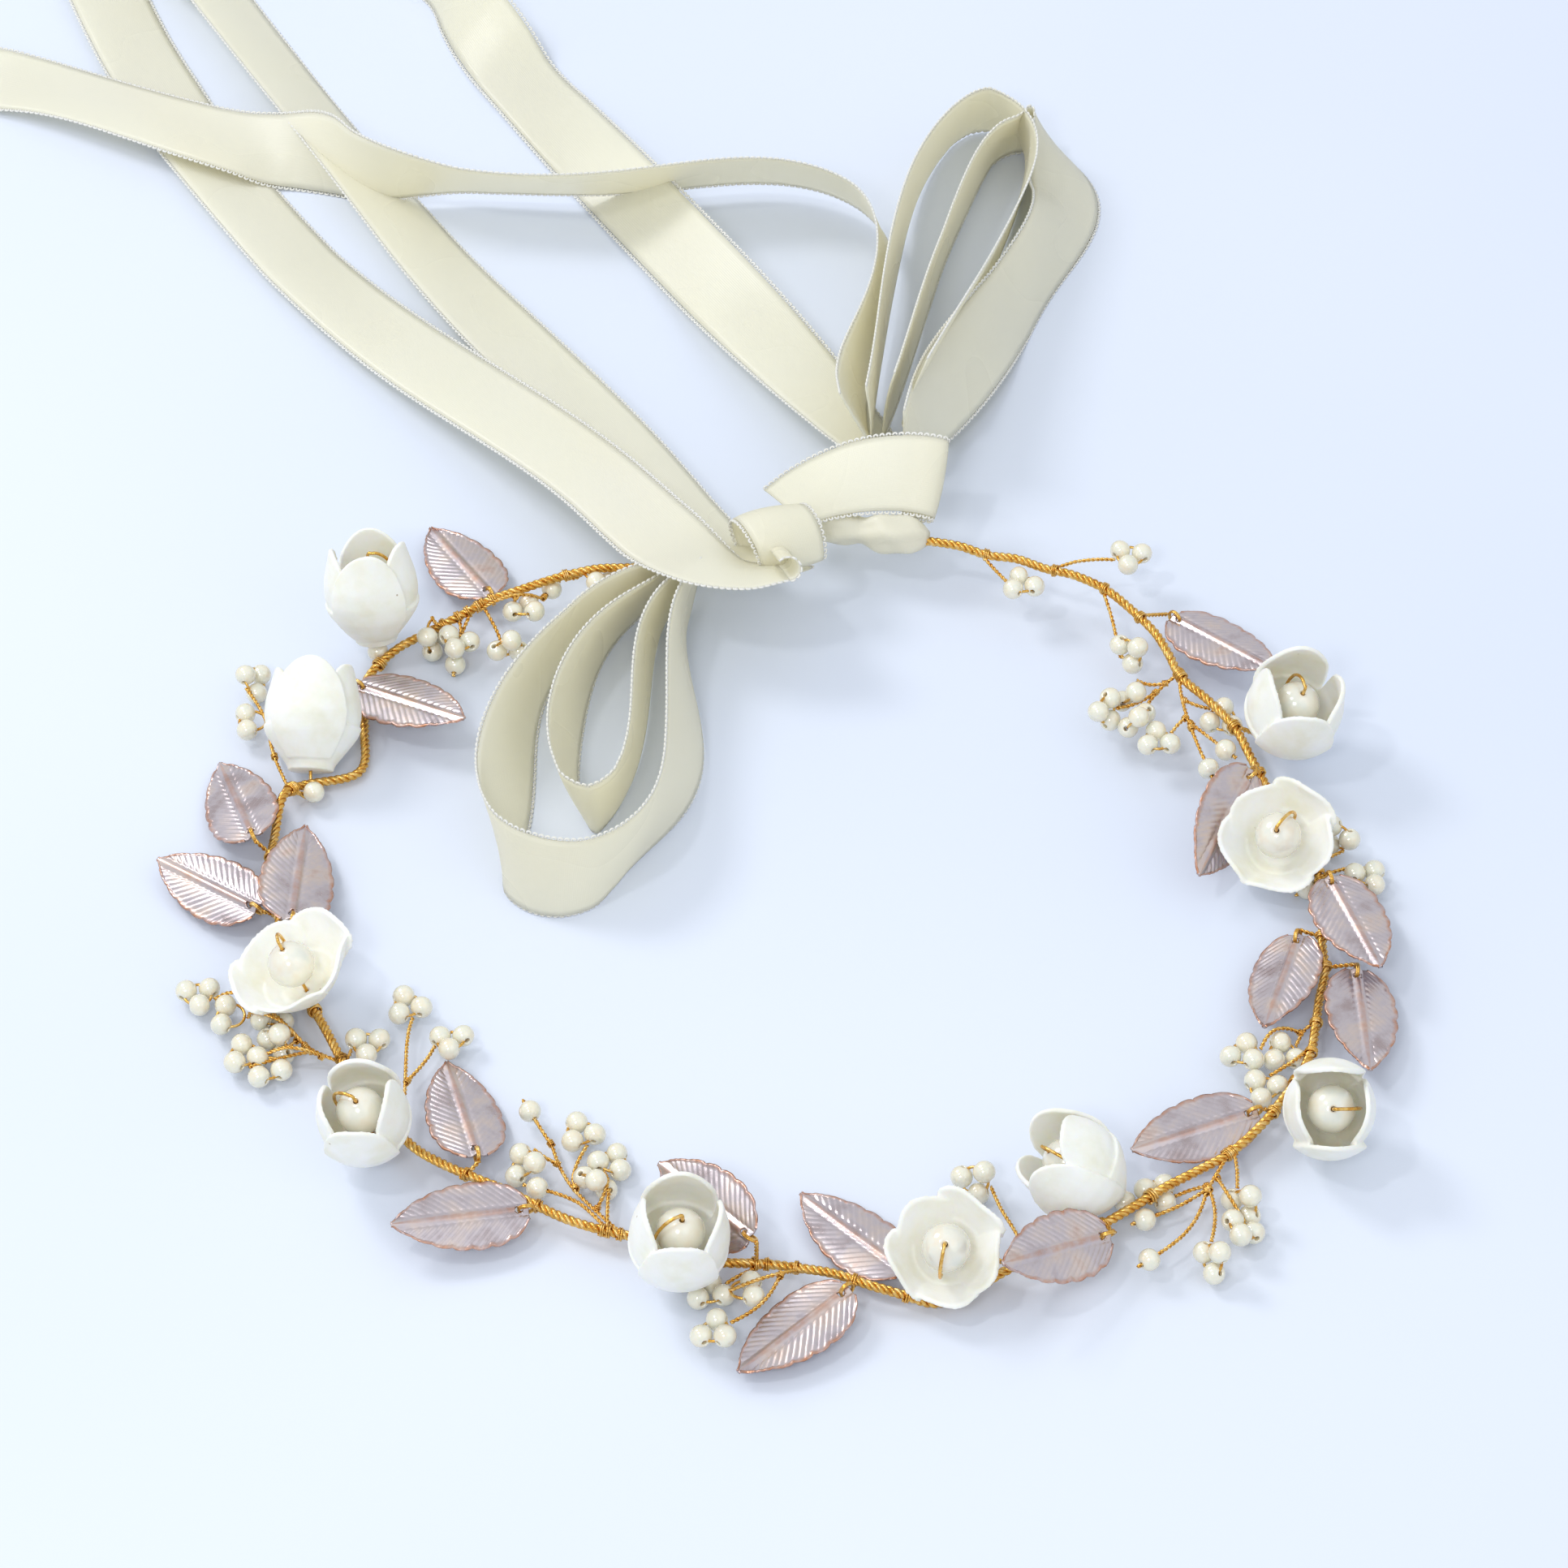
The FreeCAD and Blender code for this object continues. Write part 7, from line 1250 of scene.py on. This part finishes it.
for i, (name, kind, base, axis, s, hp, root, elbow) in enumerate(FLOWERS):
    x, y, z = basis(axis)
    o = A(base)
    prof = cup_profile(name, kind)
    m = Mesh()
    H = A(prof)[-1, 0] * s
    if kind == "bud":
        for k, (c, sh) in enumerate(((270, 0.15), (90, 0.0), (193, -0.9), (347, -0.9))):
            petal(m, kind, prof, s, c, 48 if sh > -0.5 else 57, sh, H * (1.0 - 0.05 * ((k * 7 + i * 3) % 3) / 2), 1.6 * s, i * 1.3 + k, x, y, z, o)
        band_top, floor = 7.5, 1.8
    else:
        for k in range(5):
            petal(m, kind, prof, s, 270 + 72 * k, 43, -0.15 - 0.5 * (k % 2), H * (1.04 - 0.05 * ((k * 5 + i) % 3)), 1.0 * s, i * 1.7 + k, x, y, z, o)
        band_top, floor = 4.2, 1.6
    # the closed foot of the flower, under the petals
    hs = np.linspace(0, band_top * s, 14)
    ro = radius_at(prof, hs / s) * s - 0.35
    ro[0] = radius_at(prof, 0) * s - 0.25
    ri = np.maximum(1.4, ro - CLAY_WALL)
    ring = [(0.42, 0.0)] + [(a, b) for a, b in zip(ro, hs)]
    ring += [(a, b) for a, b in list(zip(ri, hs))[::-1] if b > floor + 0.8] + [(1.6, floor), (0.42, floor)]
    revolve(m, ring, o, axis, 56)
    ob = m.make("petals_" + name, [CLAY])
    rm = ob.modifiers.new("one_lump", "REMESH")
    rm.mode = "VOXEL"
    rm.voxel_size = 0.00024
    sm = ob.modifiers.new("soften", "SMOOTH")
    sm.factor = 0.6
    sm.iterations = 3
    bpy.context.view_layer.update()
    dg = bpy.context.evaluated_depsgraph_get()
    me = bpy.data.meshes.new_from_object(ob.evaluated_get(dg))
    ob.modifiers.clear()
    ob.data = me
    me.polygons.foreach_set("use_smooth", np.full(len(me.polygons), True))
    if len(me.materials) == 0:
        me.materials.append(CLAY)
    finish_piece(ob, FLOWER_BODY[name], name)


# ---------------------------------------------------------------- leaves
def leaf_mesh(mesh, hole, u, v, n, s, seed):
    nu, nv = 132, 45
    t = np.linspace(0, 1, nu)
    lt, lw = A(LEAF)[:, 0], A(LEAF)[:, 1]
    w = np.interp(t, lt, lw)
    for _ in range(5):
        w[1:-1] = (w[:-2] + 2 * w[1:-1] + w[2:]) / 4
    w = w * LEAF_HALF_WIDTH * s
    lobes = np.abs(np.sin(math.pi * (7.0 * t + 0.35 * seed))) ** 0.55
    w = np.maximum(0.3, w * (0.925 + 0.075 * lobes))
    T, V_ = np.meshgrid(t, np.linspace(-1, 1, nv), indexing="ij")
    L = LEAF_LENGTH * s
    X = T * L - LEAF_HOLE_IN
    Y = V_ * w[:, None]
    aY = np.abs(Y)
    mask = np.clip((aY - 0.75) / 0.5, 0, 1) * np.clip((1 - np.abs(V_)) / 0.1, 0, 1) * np.clip(T / 0.1, 0, 1) * np.clip((1 - T) / 0.06, 0, 1)
    ph = 17.5 * (T - 0.27 * np.abs(V_) * (w[:, None] / (LEAF_HALF_WIDTH * s)) ** 0.6) * 2 * math.pi
    ribs = 0.15 * (0.5 + 0.5 * np.cos(ph + 0.4 * np.sin(3 * V_))) ** 1.5 * mask
    stem = 0.46 * np.exp(-(Y / 0.5) ** 2) * (1 - 0.55 * T) - 0.13 * np.exp(-((aY - 1.05) / 0.3) ** 2)
    rim = 0.24 * np.clip((np.abs(V_) - 0.88) / 0.06, 0, 1) * (0.8 + 0.2 * np.sin(40 * T + seed))
    R = LEAF_BEND_R
    Z = np.sqrt(np.maximum(1, R * R - Y * Y)) - R + ribs + stem + rim
    Z = Z + 0.25 * np.sin(2.4 * T + seed) * np.abs(V_) ** 2 * np.clip(T * 3, 0, 1)
    # clear the wire's hole
    rad = np.hypot(X, Y)
    near = rad < LEAF_HOLE_R
    keep = ~near
    u_, v_ = unit(u), unit(v)
    n_ = np.cross(u_, v_)
    f_ok = np.ones((nu - 1, nv - 1), bool)
    allin = near[:-1, :-1] & near[1:, :-1] & near[:-1, 1:] & near[1:, 1:]
    f_ok[allin] = False
    anyin = near[:-1, :-1] | near[1:, :-1] | near[:-1, 1:] | near[1:, 1:]
    edge = np.zeros_like(near)
    for di in (0, 1):
        for dj in (0, 1):
            sub = edge[di:nu - 1 + di, dj:nv - 1 + dj]
            sub |= anyin & f_ok
    snap = edge & near
    k = LEAF_HOLE_R / np.maximum(rad, 1e-6)
    X = np.where(snap, X * k, X)
    Y = np.where(snap, Y * k, Y)
    P = A(hole) + X[..., None] * u_ + Y[..., None] * v_ + Z[..., None] * n_
    faces = []
    use = np.zeros((nu, nv), bool)
    for i in range(nu - 1):
        for j in range(nv - 1):
            if f_ok[i, j]:
                faces.append((i * nv + j, (i + 1) * nv + j, (i + 1) * nv + j + 1, i * nv + j + 1))
                use[i, j] = use[i + 1, j] = use[i, j + 1] = use[i + 1, j + 1] = True
    remap = -np.ones(nu * nv, int)
    remap[use.ravel()] = np.arange(use.sum())
    faces = [[int(remap[q]) for q in f] for f in faces]
    uv = np.stack([T.ravel(), V_.ravel()], 1)[use.ravel()]
    mesh.add(P.reshape(-1, 3)[use.ravel()], faces, 0, uv)


for k, (name, hole, u, v, n, s) in enumerate(LEAVES):
    m = Mesh()
    leaf_mesh(m, hole, u, v, n, s, k * 1.37)
    ob = m.make("embossed_" + name, [LEAFM])
    so = ob.modifiers.new("sheet", "SOLIDIFY")
    so.thickness = 0.00042
    so.offset = 0
    finish_piece(ob, name, name)


# ---------------------------------------------------------------- ribbon
def curve_edges(stations, step):
    """Both edges of a ribbon as smooth curves sampled together."""
    st = A(stations)
    mid = st.mean(1)
    d = np.concatenate([[0], np.cumsum(np.linalg.norm(np.diff(mid, axis=0), axis=1))])
    n = max(3, int(d[-1] / step) + 1)
    g = np.linspace(0, d[-1], n)
    out = []
    for e in (0, 1):
        p = st[:, e]
        tan = np.gradient(p, d, axis=0)
        k = np.clip(np.searchsorted(d, g, side="right") - 1, 0, len(d) - 2)
        h = (d[k + 1] - d[k])[:, None]
        t = ((g - d[k])[:, None]) / h
        q = (2 * t ** 3 - 3 * t ** 2 + 1) * p[k] + (t ** 3 - 2 * t ** 2 + t) * h * tan[k] + (-2 * t ** 3 + 3 * t ** 2) * p[k + 1] + (t ** 3 - t ** 2) * h * tan[k + 1]
        out.append(q)
    return out[0], out[1], g


def strip(mesh, low, up, g, seed, cut=0.0, camber=0.0, wave=0.22, width=15.0, nw=13):
    """The cloth of a ribbon between its two edges; cut slants the far end."""
    n = len(low)
    mid = (low + up) / 2
    tan = np.gradient(mid, axis=0)
    across = up - low
    nrm = np.cross(tan, across)
    nrm /= np.maximum(1e-9, np.linalg.norm(nrm, axis=1))[:, None]
    w = np.linspace(0, 1, nw)
    L = g[-1]
    P = np.zeros((n, nw, 3))
    gg = np.zeros((n, nw))
    for j, q in enumerate(w):
        gs = g * (L - cut * q) / L
        line = low + across * q
        bow = camber * (1 - (2 * q - 1) ** 2)
        ripple = wave * (math.sin(seed) * np.sin(g / 17.0 + 2.1 * q + seed) + 0.5 * np.sin(g / 7.3 - 3.0 * q + 2 * seed)) * min(1, 4 * q * (1 - q) + 0.35)
        # no ripple that would push the cloth into the ground
        ripple = np.where((nrm[:, 2] * ripple < 0) & (line[:, 2] < 1.0), 0, ripple)
        pts = line + nrm * (bow + ripple)[:, None]
        P[:, j] = np.stack([np.interp(gs, g, pts[:, c]) for c in range(3)], 1)
        gg[:, j] = gs
    P[..., 2] = np.maximum(P[..., 2], 0.35)
    f = []
    for i in range(n - 1):
        for j in range(nw - 1):
            f.append((i * nw + j, (i + 1) * nw + j, (i + 1) * nw + j + 1, i * nw + j + 1))
    uv = np.stack([gg.ravel() * 0.1, np.tile(w * width * 0.1, n)], 1)
    mesh.add(P.reshape(-1, 3), f, 0, uv)
    return P


def picots(mesh, P, pitch=1.15, out=0.62, wire=0.2):
    """Loops of thread standing out from both woven edges."""
    for j, k in ((0, 1), (P.shape[1] - 1, P.shape[1] - 2)):
        e, inner = P[:, j], P[:, k]
        s = np.concatenate([[0], np.cumsum(np.linalg.norm(np.diff(e, axis=0), axis=1))])
        n = int(s[-1] / pitch)
        if n < 2:
            continue
        g = (np.arange(n) + 0.5) * s[-1] / n
        at = lambda q: np.stack([np.interp(q, s, e[:, c]) for c in range(3)], 1)
        ain = lambda q: np.stack([np.interp(q, s, inner[:, c]) for c in range(3)], 1)
        c = at(g)
        o = c - ain(g)
        o /= np.maximum(1e-9, np.linalg.norm(o, axis=1))[:, None]
        t = at(g + 0.3) - at(g - 0.3)
        t /= np.maximum(1e-9, np.linalg.norm(t, axis=1))[:, None]
        nn = np.cross(t, o)
        for i in range(n):
            a = np.linspace(-0.25 * math.pi, 1.25 * math.pi, 8)
            path = c[i] + (0.36 * np.cos(a))[:, None] * t[i] + (0.12 + 0.5 * out * (1 + np.sin(a)) * 0.8)[:, None] * o[i] + 0.1 * nn[i]
            path[:, 2] = np.maximum(path[:, 2], 0.2)
            tube(mesh, path, wire, 5)


def ribbon_piece(node, parts):
    """parts: list of (P grid builder arguments). Cloth and its picot edging."""
    m, e = Mesh(), Mesh()
    for st, kw in parts:
        low, up, g = curve_edges(st, kw.pop("step", 1.5))
        P = strip(m, low, up, g, **kw)
        picots(e, P)
    ob = m.make("satin_" + node, [SATIN])
    so = ob.modifiers.new("cloth", "SOLIDIFY")
    so.thickness = 0.0003
    so.offset = 0
    ed = e.make("picots_" + node, [PICOT])
    finish_piece(ob, "vine", node)
    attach(ed, "vine")
    return ob, ed


FLOOR_NAME = "ground"
gm, gnt, gbs = nodes_of("ground_gloss")
gn = noise(gnt, 3.0, 2)
gr = ramp(gnt, gn.outputs["Fac"], [(0.35, lin("DDE4F3")), (0.65, lin("E3E9F6"))])
gnt.links.new(gr.outputs["Color"], gbs.inputs["Base Color"])
gbs.inputs["Roughness"].default_value = 0.28
gbs.inputs["Specular IOR Level"].default_value = 0.35
gf = Mesh()
gf.add([(-2500, -2500, 0), (2500, -2500, 0), (2500, 2500, 0), (-2500, 2500, 0)], [(0, 1, 2, 3)])
ground = gf.make(FLOOR_NAME, [gm], smooth=False)

TAILS = ("ribbon_tail_a", "ribbon_tail_b", "ribbon_tail_c", "ribbon_tail_d")
for q, (node, st) in enumerate(RIBBON.items()):
    if node == "ribbon_wrap_band":
        continue
    tail = node in TAILS
    if node.startswith("ribbon_front_loop"):
        st = st[2:-2]
    ribbon_piece(node, [(st, dict(seed=0.8 + 1.3 * q, cut=8.0 if tail else 0.0, wave=0.25, camber=0.0 if tail else 0.35))])


def puff(mesh, centre, direction, profile, seed, pleats=5):
    """Gathered ribbon round a wire: (distance along, radius) with soft pleats."""
    x, y, z = basis(direction)
    pr = A(profile)
    zz = np.linspace(pr[0, 0], pr[-1, 0], 34)
    rr = np.interp(zz, pr[:, 0], pr[:, 1])
    for _ in range(3):
        rr[1:-1] = (rr[:-2] + 2 * rr[1:-1] + rr[2:]) / 4
    a = np.linspace(0, 2 * math.pi, 56, endpoint=False)
    Z, AA = np.meshgrid(zz, a, indexing="ij")
    R = rr[:, None] * (1 + 0.07 * np.sin(pleats * AA + 0.35 * Z + seed) + 0.05 * np.sin(3 * AA - 0.8 * Z + 2 * seed))
    P = A(centre) + R[..., None] * (x * np.cos(AA)[..., None] + y * np.sin(AA)[..., None]) + Z[..., None] * z
    n, k = P.shape[:2]
    f = []
    for i in range(n - 1):
        for j in range(k):
            l = (j + 1) % k
            f.append((i * k + j, i * k + l, (i + 1) * k + l, (i + 1) * k + j))
    uv = np.stack([AA.ravel() * 0.35, Z.ravel() * 0.1], 1)
    mesh.add(P.reshape(-1, 3), f, 0, uv)
    area = 0.0
    for i in range(n - 1):
        d1 = P[i + 1] - P[i]
        d2 = np.roll(P[i], -1, 0) - P[i]
        area += float(np.linalg.norm(np.cross(d1, d2), axis=1).sum())
    return area


def strip_area(P):
    d1 = P[1:, :-1] - P[:-1, :-1]
    d2 = P[:-1, 1:] - P[:-1, :-1]
    return float(np.linalg.norm(np.cross(d1, d2), axis=2).sum())


def cloth_piece(node, m, e):
    ob = m.make("satin_" + node, [SATIN])
    so = ob.modifiers.new("cloth", "SOLIDIFY")
    so.thickness = 0.0003
    so.offset = 0
    finish_piece(ob, "vine", node)
    if e is not None:
        ed = e.make("picots_" + node, [PICOT])
        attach(ed, "vine")
    return ob


# left hitch: ribbon gathered round the left end of the vine
m = Mesh()
area = puff(m, HITCH_LEFT[0], HITCH_LEFT[3], [(-6, 1.2), (-5, 2.2), (-2, 3.1), (2, 3.2), (6, 2.8)], 0.4)
cloth_piece("ribbon_hitch_left", m, None)

# right hitch: two puffs round the right end of the vine and the flat band over them
m, e = Mesh(), Mesh()
area = puff(m, HITCH_RIGHT[0], HITCH_RIGHT[3], [(-6.6, 1.0), (-5.4, 2.4), (-3, 3.3), (2.0, 3.4), (4.2, 2.7), (5.6, 1.9), (7.4, 2.6), (11.5, 2.9), (14.5, 2.5)], 1.1)
st = A(RIBBON["ribbon_wrap_band"])
end, prev = st[-1], st[-2]
tang = unit(end.mean(0) - prev.mean(0))
wide = unit(end[1] - end[0])
dn = np.cross(tang, wide)
dn = dn if dn[2] < 0 else -dn
more = []
for a in np.radians((35, 75, 115, 150, 180)):
    more.append(end + tang * 1.1 * math.sin(a) + dn * 1.1 * (1 - math.cos(a)))
more.append(more[-1] - tang * 5 - dn * 0.3)
st2 = np.concatenate([st, A(more)])
low, up, g = curve_edges(st2, 0.9)
P = strip(m, low, up, g, seed=1.9, wave=0.12, camber=0.5)
picots(e, P)
area += strip_area(P)
cloth_piece("ribbon_hitch_right", m, e)

# knot: a band wrapped over the crossing ribbons and the curled end of the front tail
m, e = Mesh(), Mesh()
kc, kd = A(KNOT[0]), unit(KNOT[3])
ky = unit(np.cross((0, 0, 1), kd))
kz = np.cross(kd, ky)
sts = []
for a in np.radians(np.arange(-205, 96, 15)):
    c = kc + ky * (-5.9 * math.sin(a)) + kz * (5.6 * math.cos(a)) + kd * (1.4 * math.sin(a))
    half = 5.6 + 0.7 * math.cos(a)
    tilt = kd + ky * 0.12 * math.cos(a)
    sts.append([c - unit(tilt) * half, c + unit(tilt) * half])
low, up, g = curve_edges(sts, 0.9)
P = strip(m, low, up, g, seed=2.6, wave=0.3, camber=0.9)
picots(e, P)
area = strip_area(P)
ta = A(RIBBON["ribbon_tail_a"])
e0 = ta[0]
tang = unit(ta[0].mean(0) - ta[1].mean(0))
wide = unit(e0[1] - e0[0])
dn = np.cross(tang, wide)
dn = dn if dn[2] > 0 else -dn
sts = [e0 + tang * 0.1]
for a in np.radians(range(20, 231, 15)):
    c = e0 + tang * (0.1 + 2.1 * math.sin(a)) + dn * (2.0 * (1 - math.cos(a)))
    mid = c.mean(0)
    sts.append(mid + (c - mid) * (1 - 0.12 * a / 3))
low, up, g = curve_edges(sts, 0.7)
P = strip(m, low, up, g, seed=0.7, wave=0.1, camber=0.3)
picots(e, P)
area += strip_area(P)
cloth_piece("ribbon_knot", m, e)

# ---------------------------------------------------------------- light and camera
w = bpy.data.worlds.new("studio")
bpy.context.scene.world = w
w.use_nodes = True
w.node_tree.nodes["Background"].inputs["Color"].default_value = (0.91, 0.955, 1.0, 1)
w.node_tree.nodes["Background"].inputs["Strength"].default_value = 0.8


def area_light(name, loc, aim, size, power, colour):
    ld = bpy.data.lights.new(name, "AREA")
    ld.energy = power
    ld.shape = "RECTANGLE"
    ld.size, ld.size_y = size
    ld.color = colour
    ob = bpy.data.objects.new(name, ld)
    ob.location = loc
    ob.rotation_euler = (Vector(aim) - Vector(loc)).to_track_quat("-Z", "Y").to_euler()
    bpy.context.scene.collection.objects.link(ob)
    return ob


area_light("key", (-0.62, 0.42, 0.75), (0, 0, 0), (0.3, 0.3), 2.9, (0.99, 0.99, 1.0))
area_light("fill", (0.7, -0.5, 0.8), (0, 0, 0), (0.9, 0.9), 0.9, (0.93, 0.96, 1.0))
area_light("window", (-0.25, -0.8, 0.9), (0, 0, 0), (0.2, 0.17), 2.0, (1, 1, 1))
area_light("spark", (-0.45, -0.2, 1.0), (0, 0, 0), (0.09, 0.09), 1.2, (1, 1, 1))

cd = bpy.data.cameras.new("camera")
cd.lens = 131.4
cd.sensor_width = 36
cd.clip_start, cd.clip_end = 0.05, 20
cam = bpy.data.objects.new("camera", cd)
el = math.radians(46)
aim = Vector((-0.0035, 0.0295, 0))
cam.location = aim + Vector((0, -math.cos(el), math.sin(el))) * 1.010
cam.rotation_euler = (aim - cam.location).to_track_quat("-Z", "Y").to_euler()
bpy.context.scene.collection.objects.link(cam)
bpy.context.scene.camera = cam
bpy.context.scene.view_settings.view_transform = "Standard"
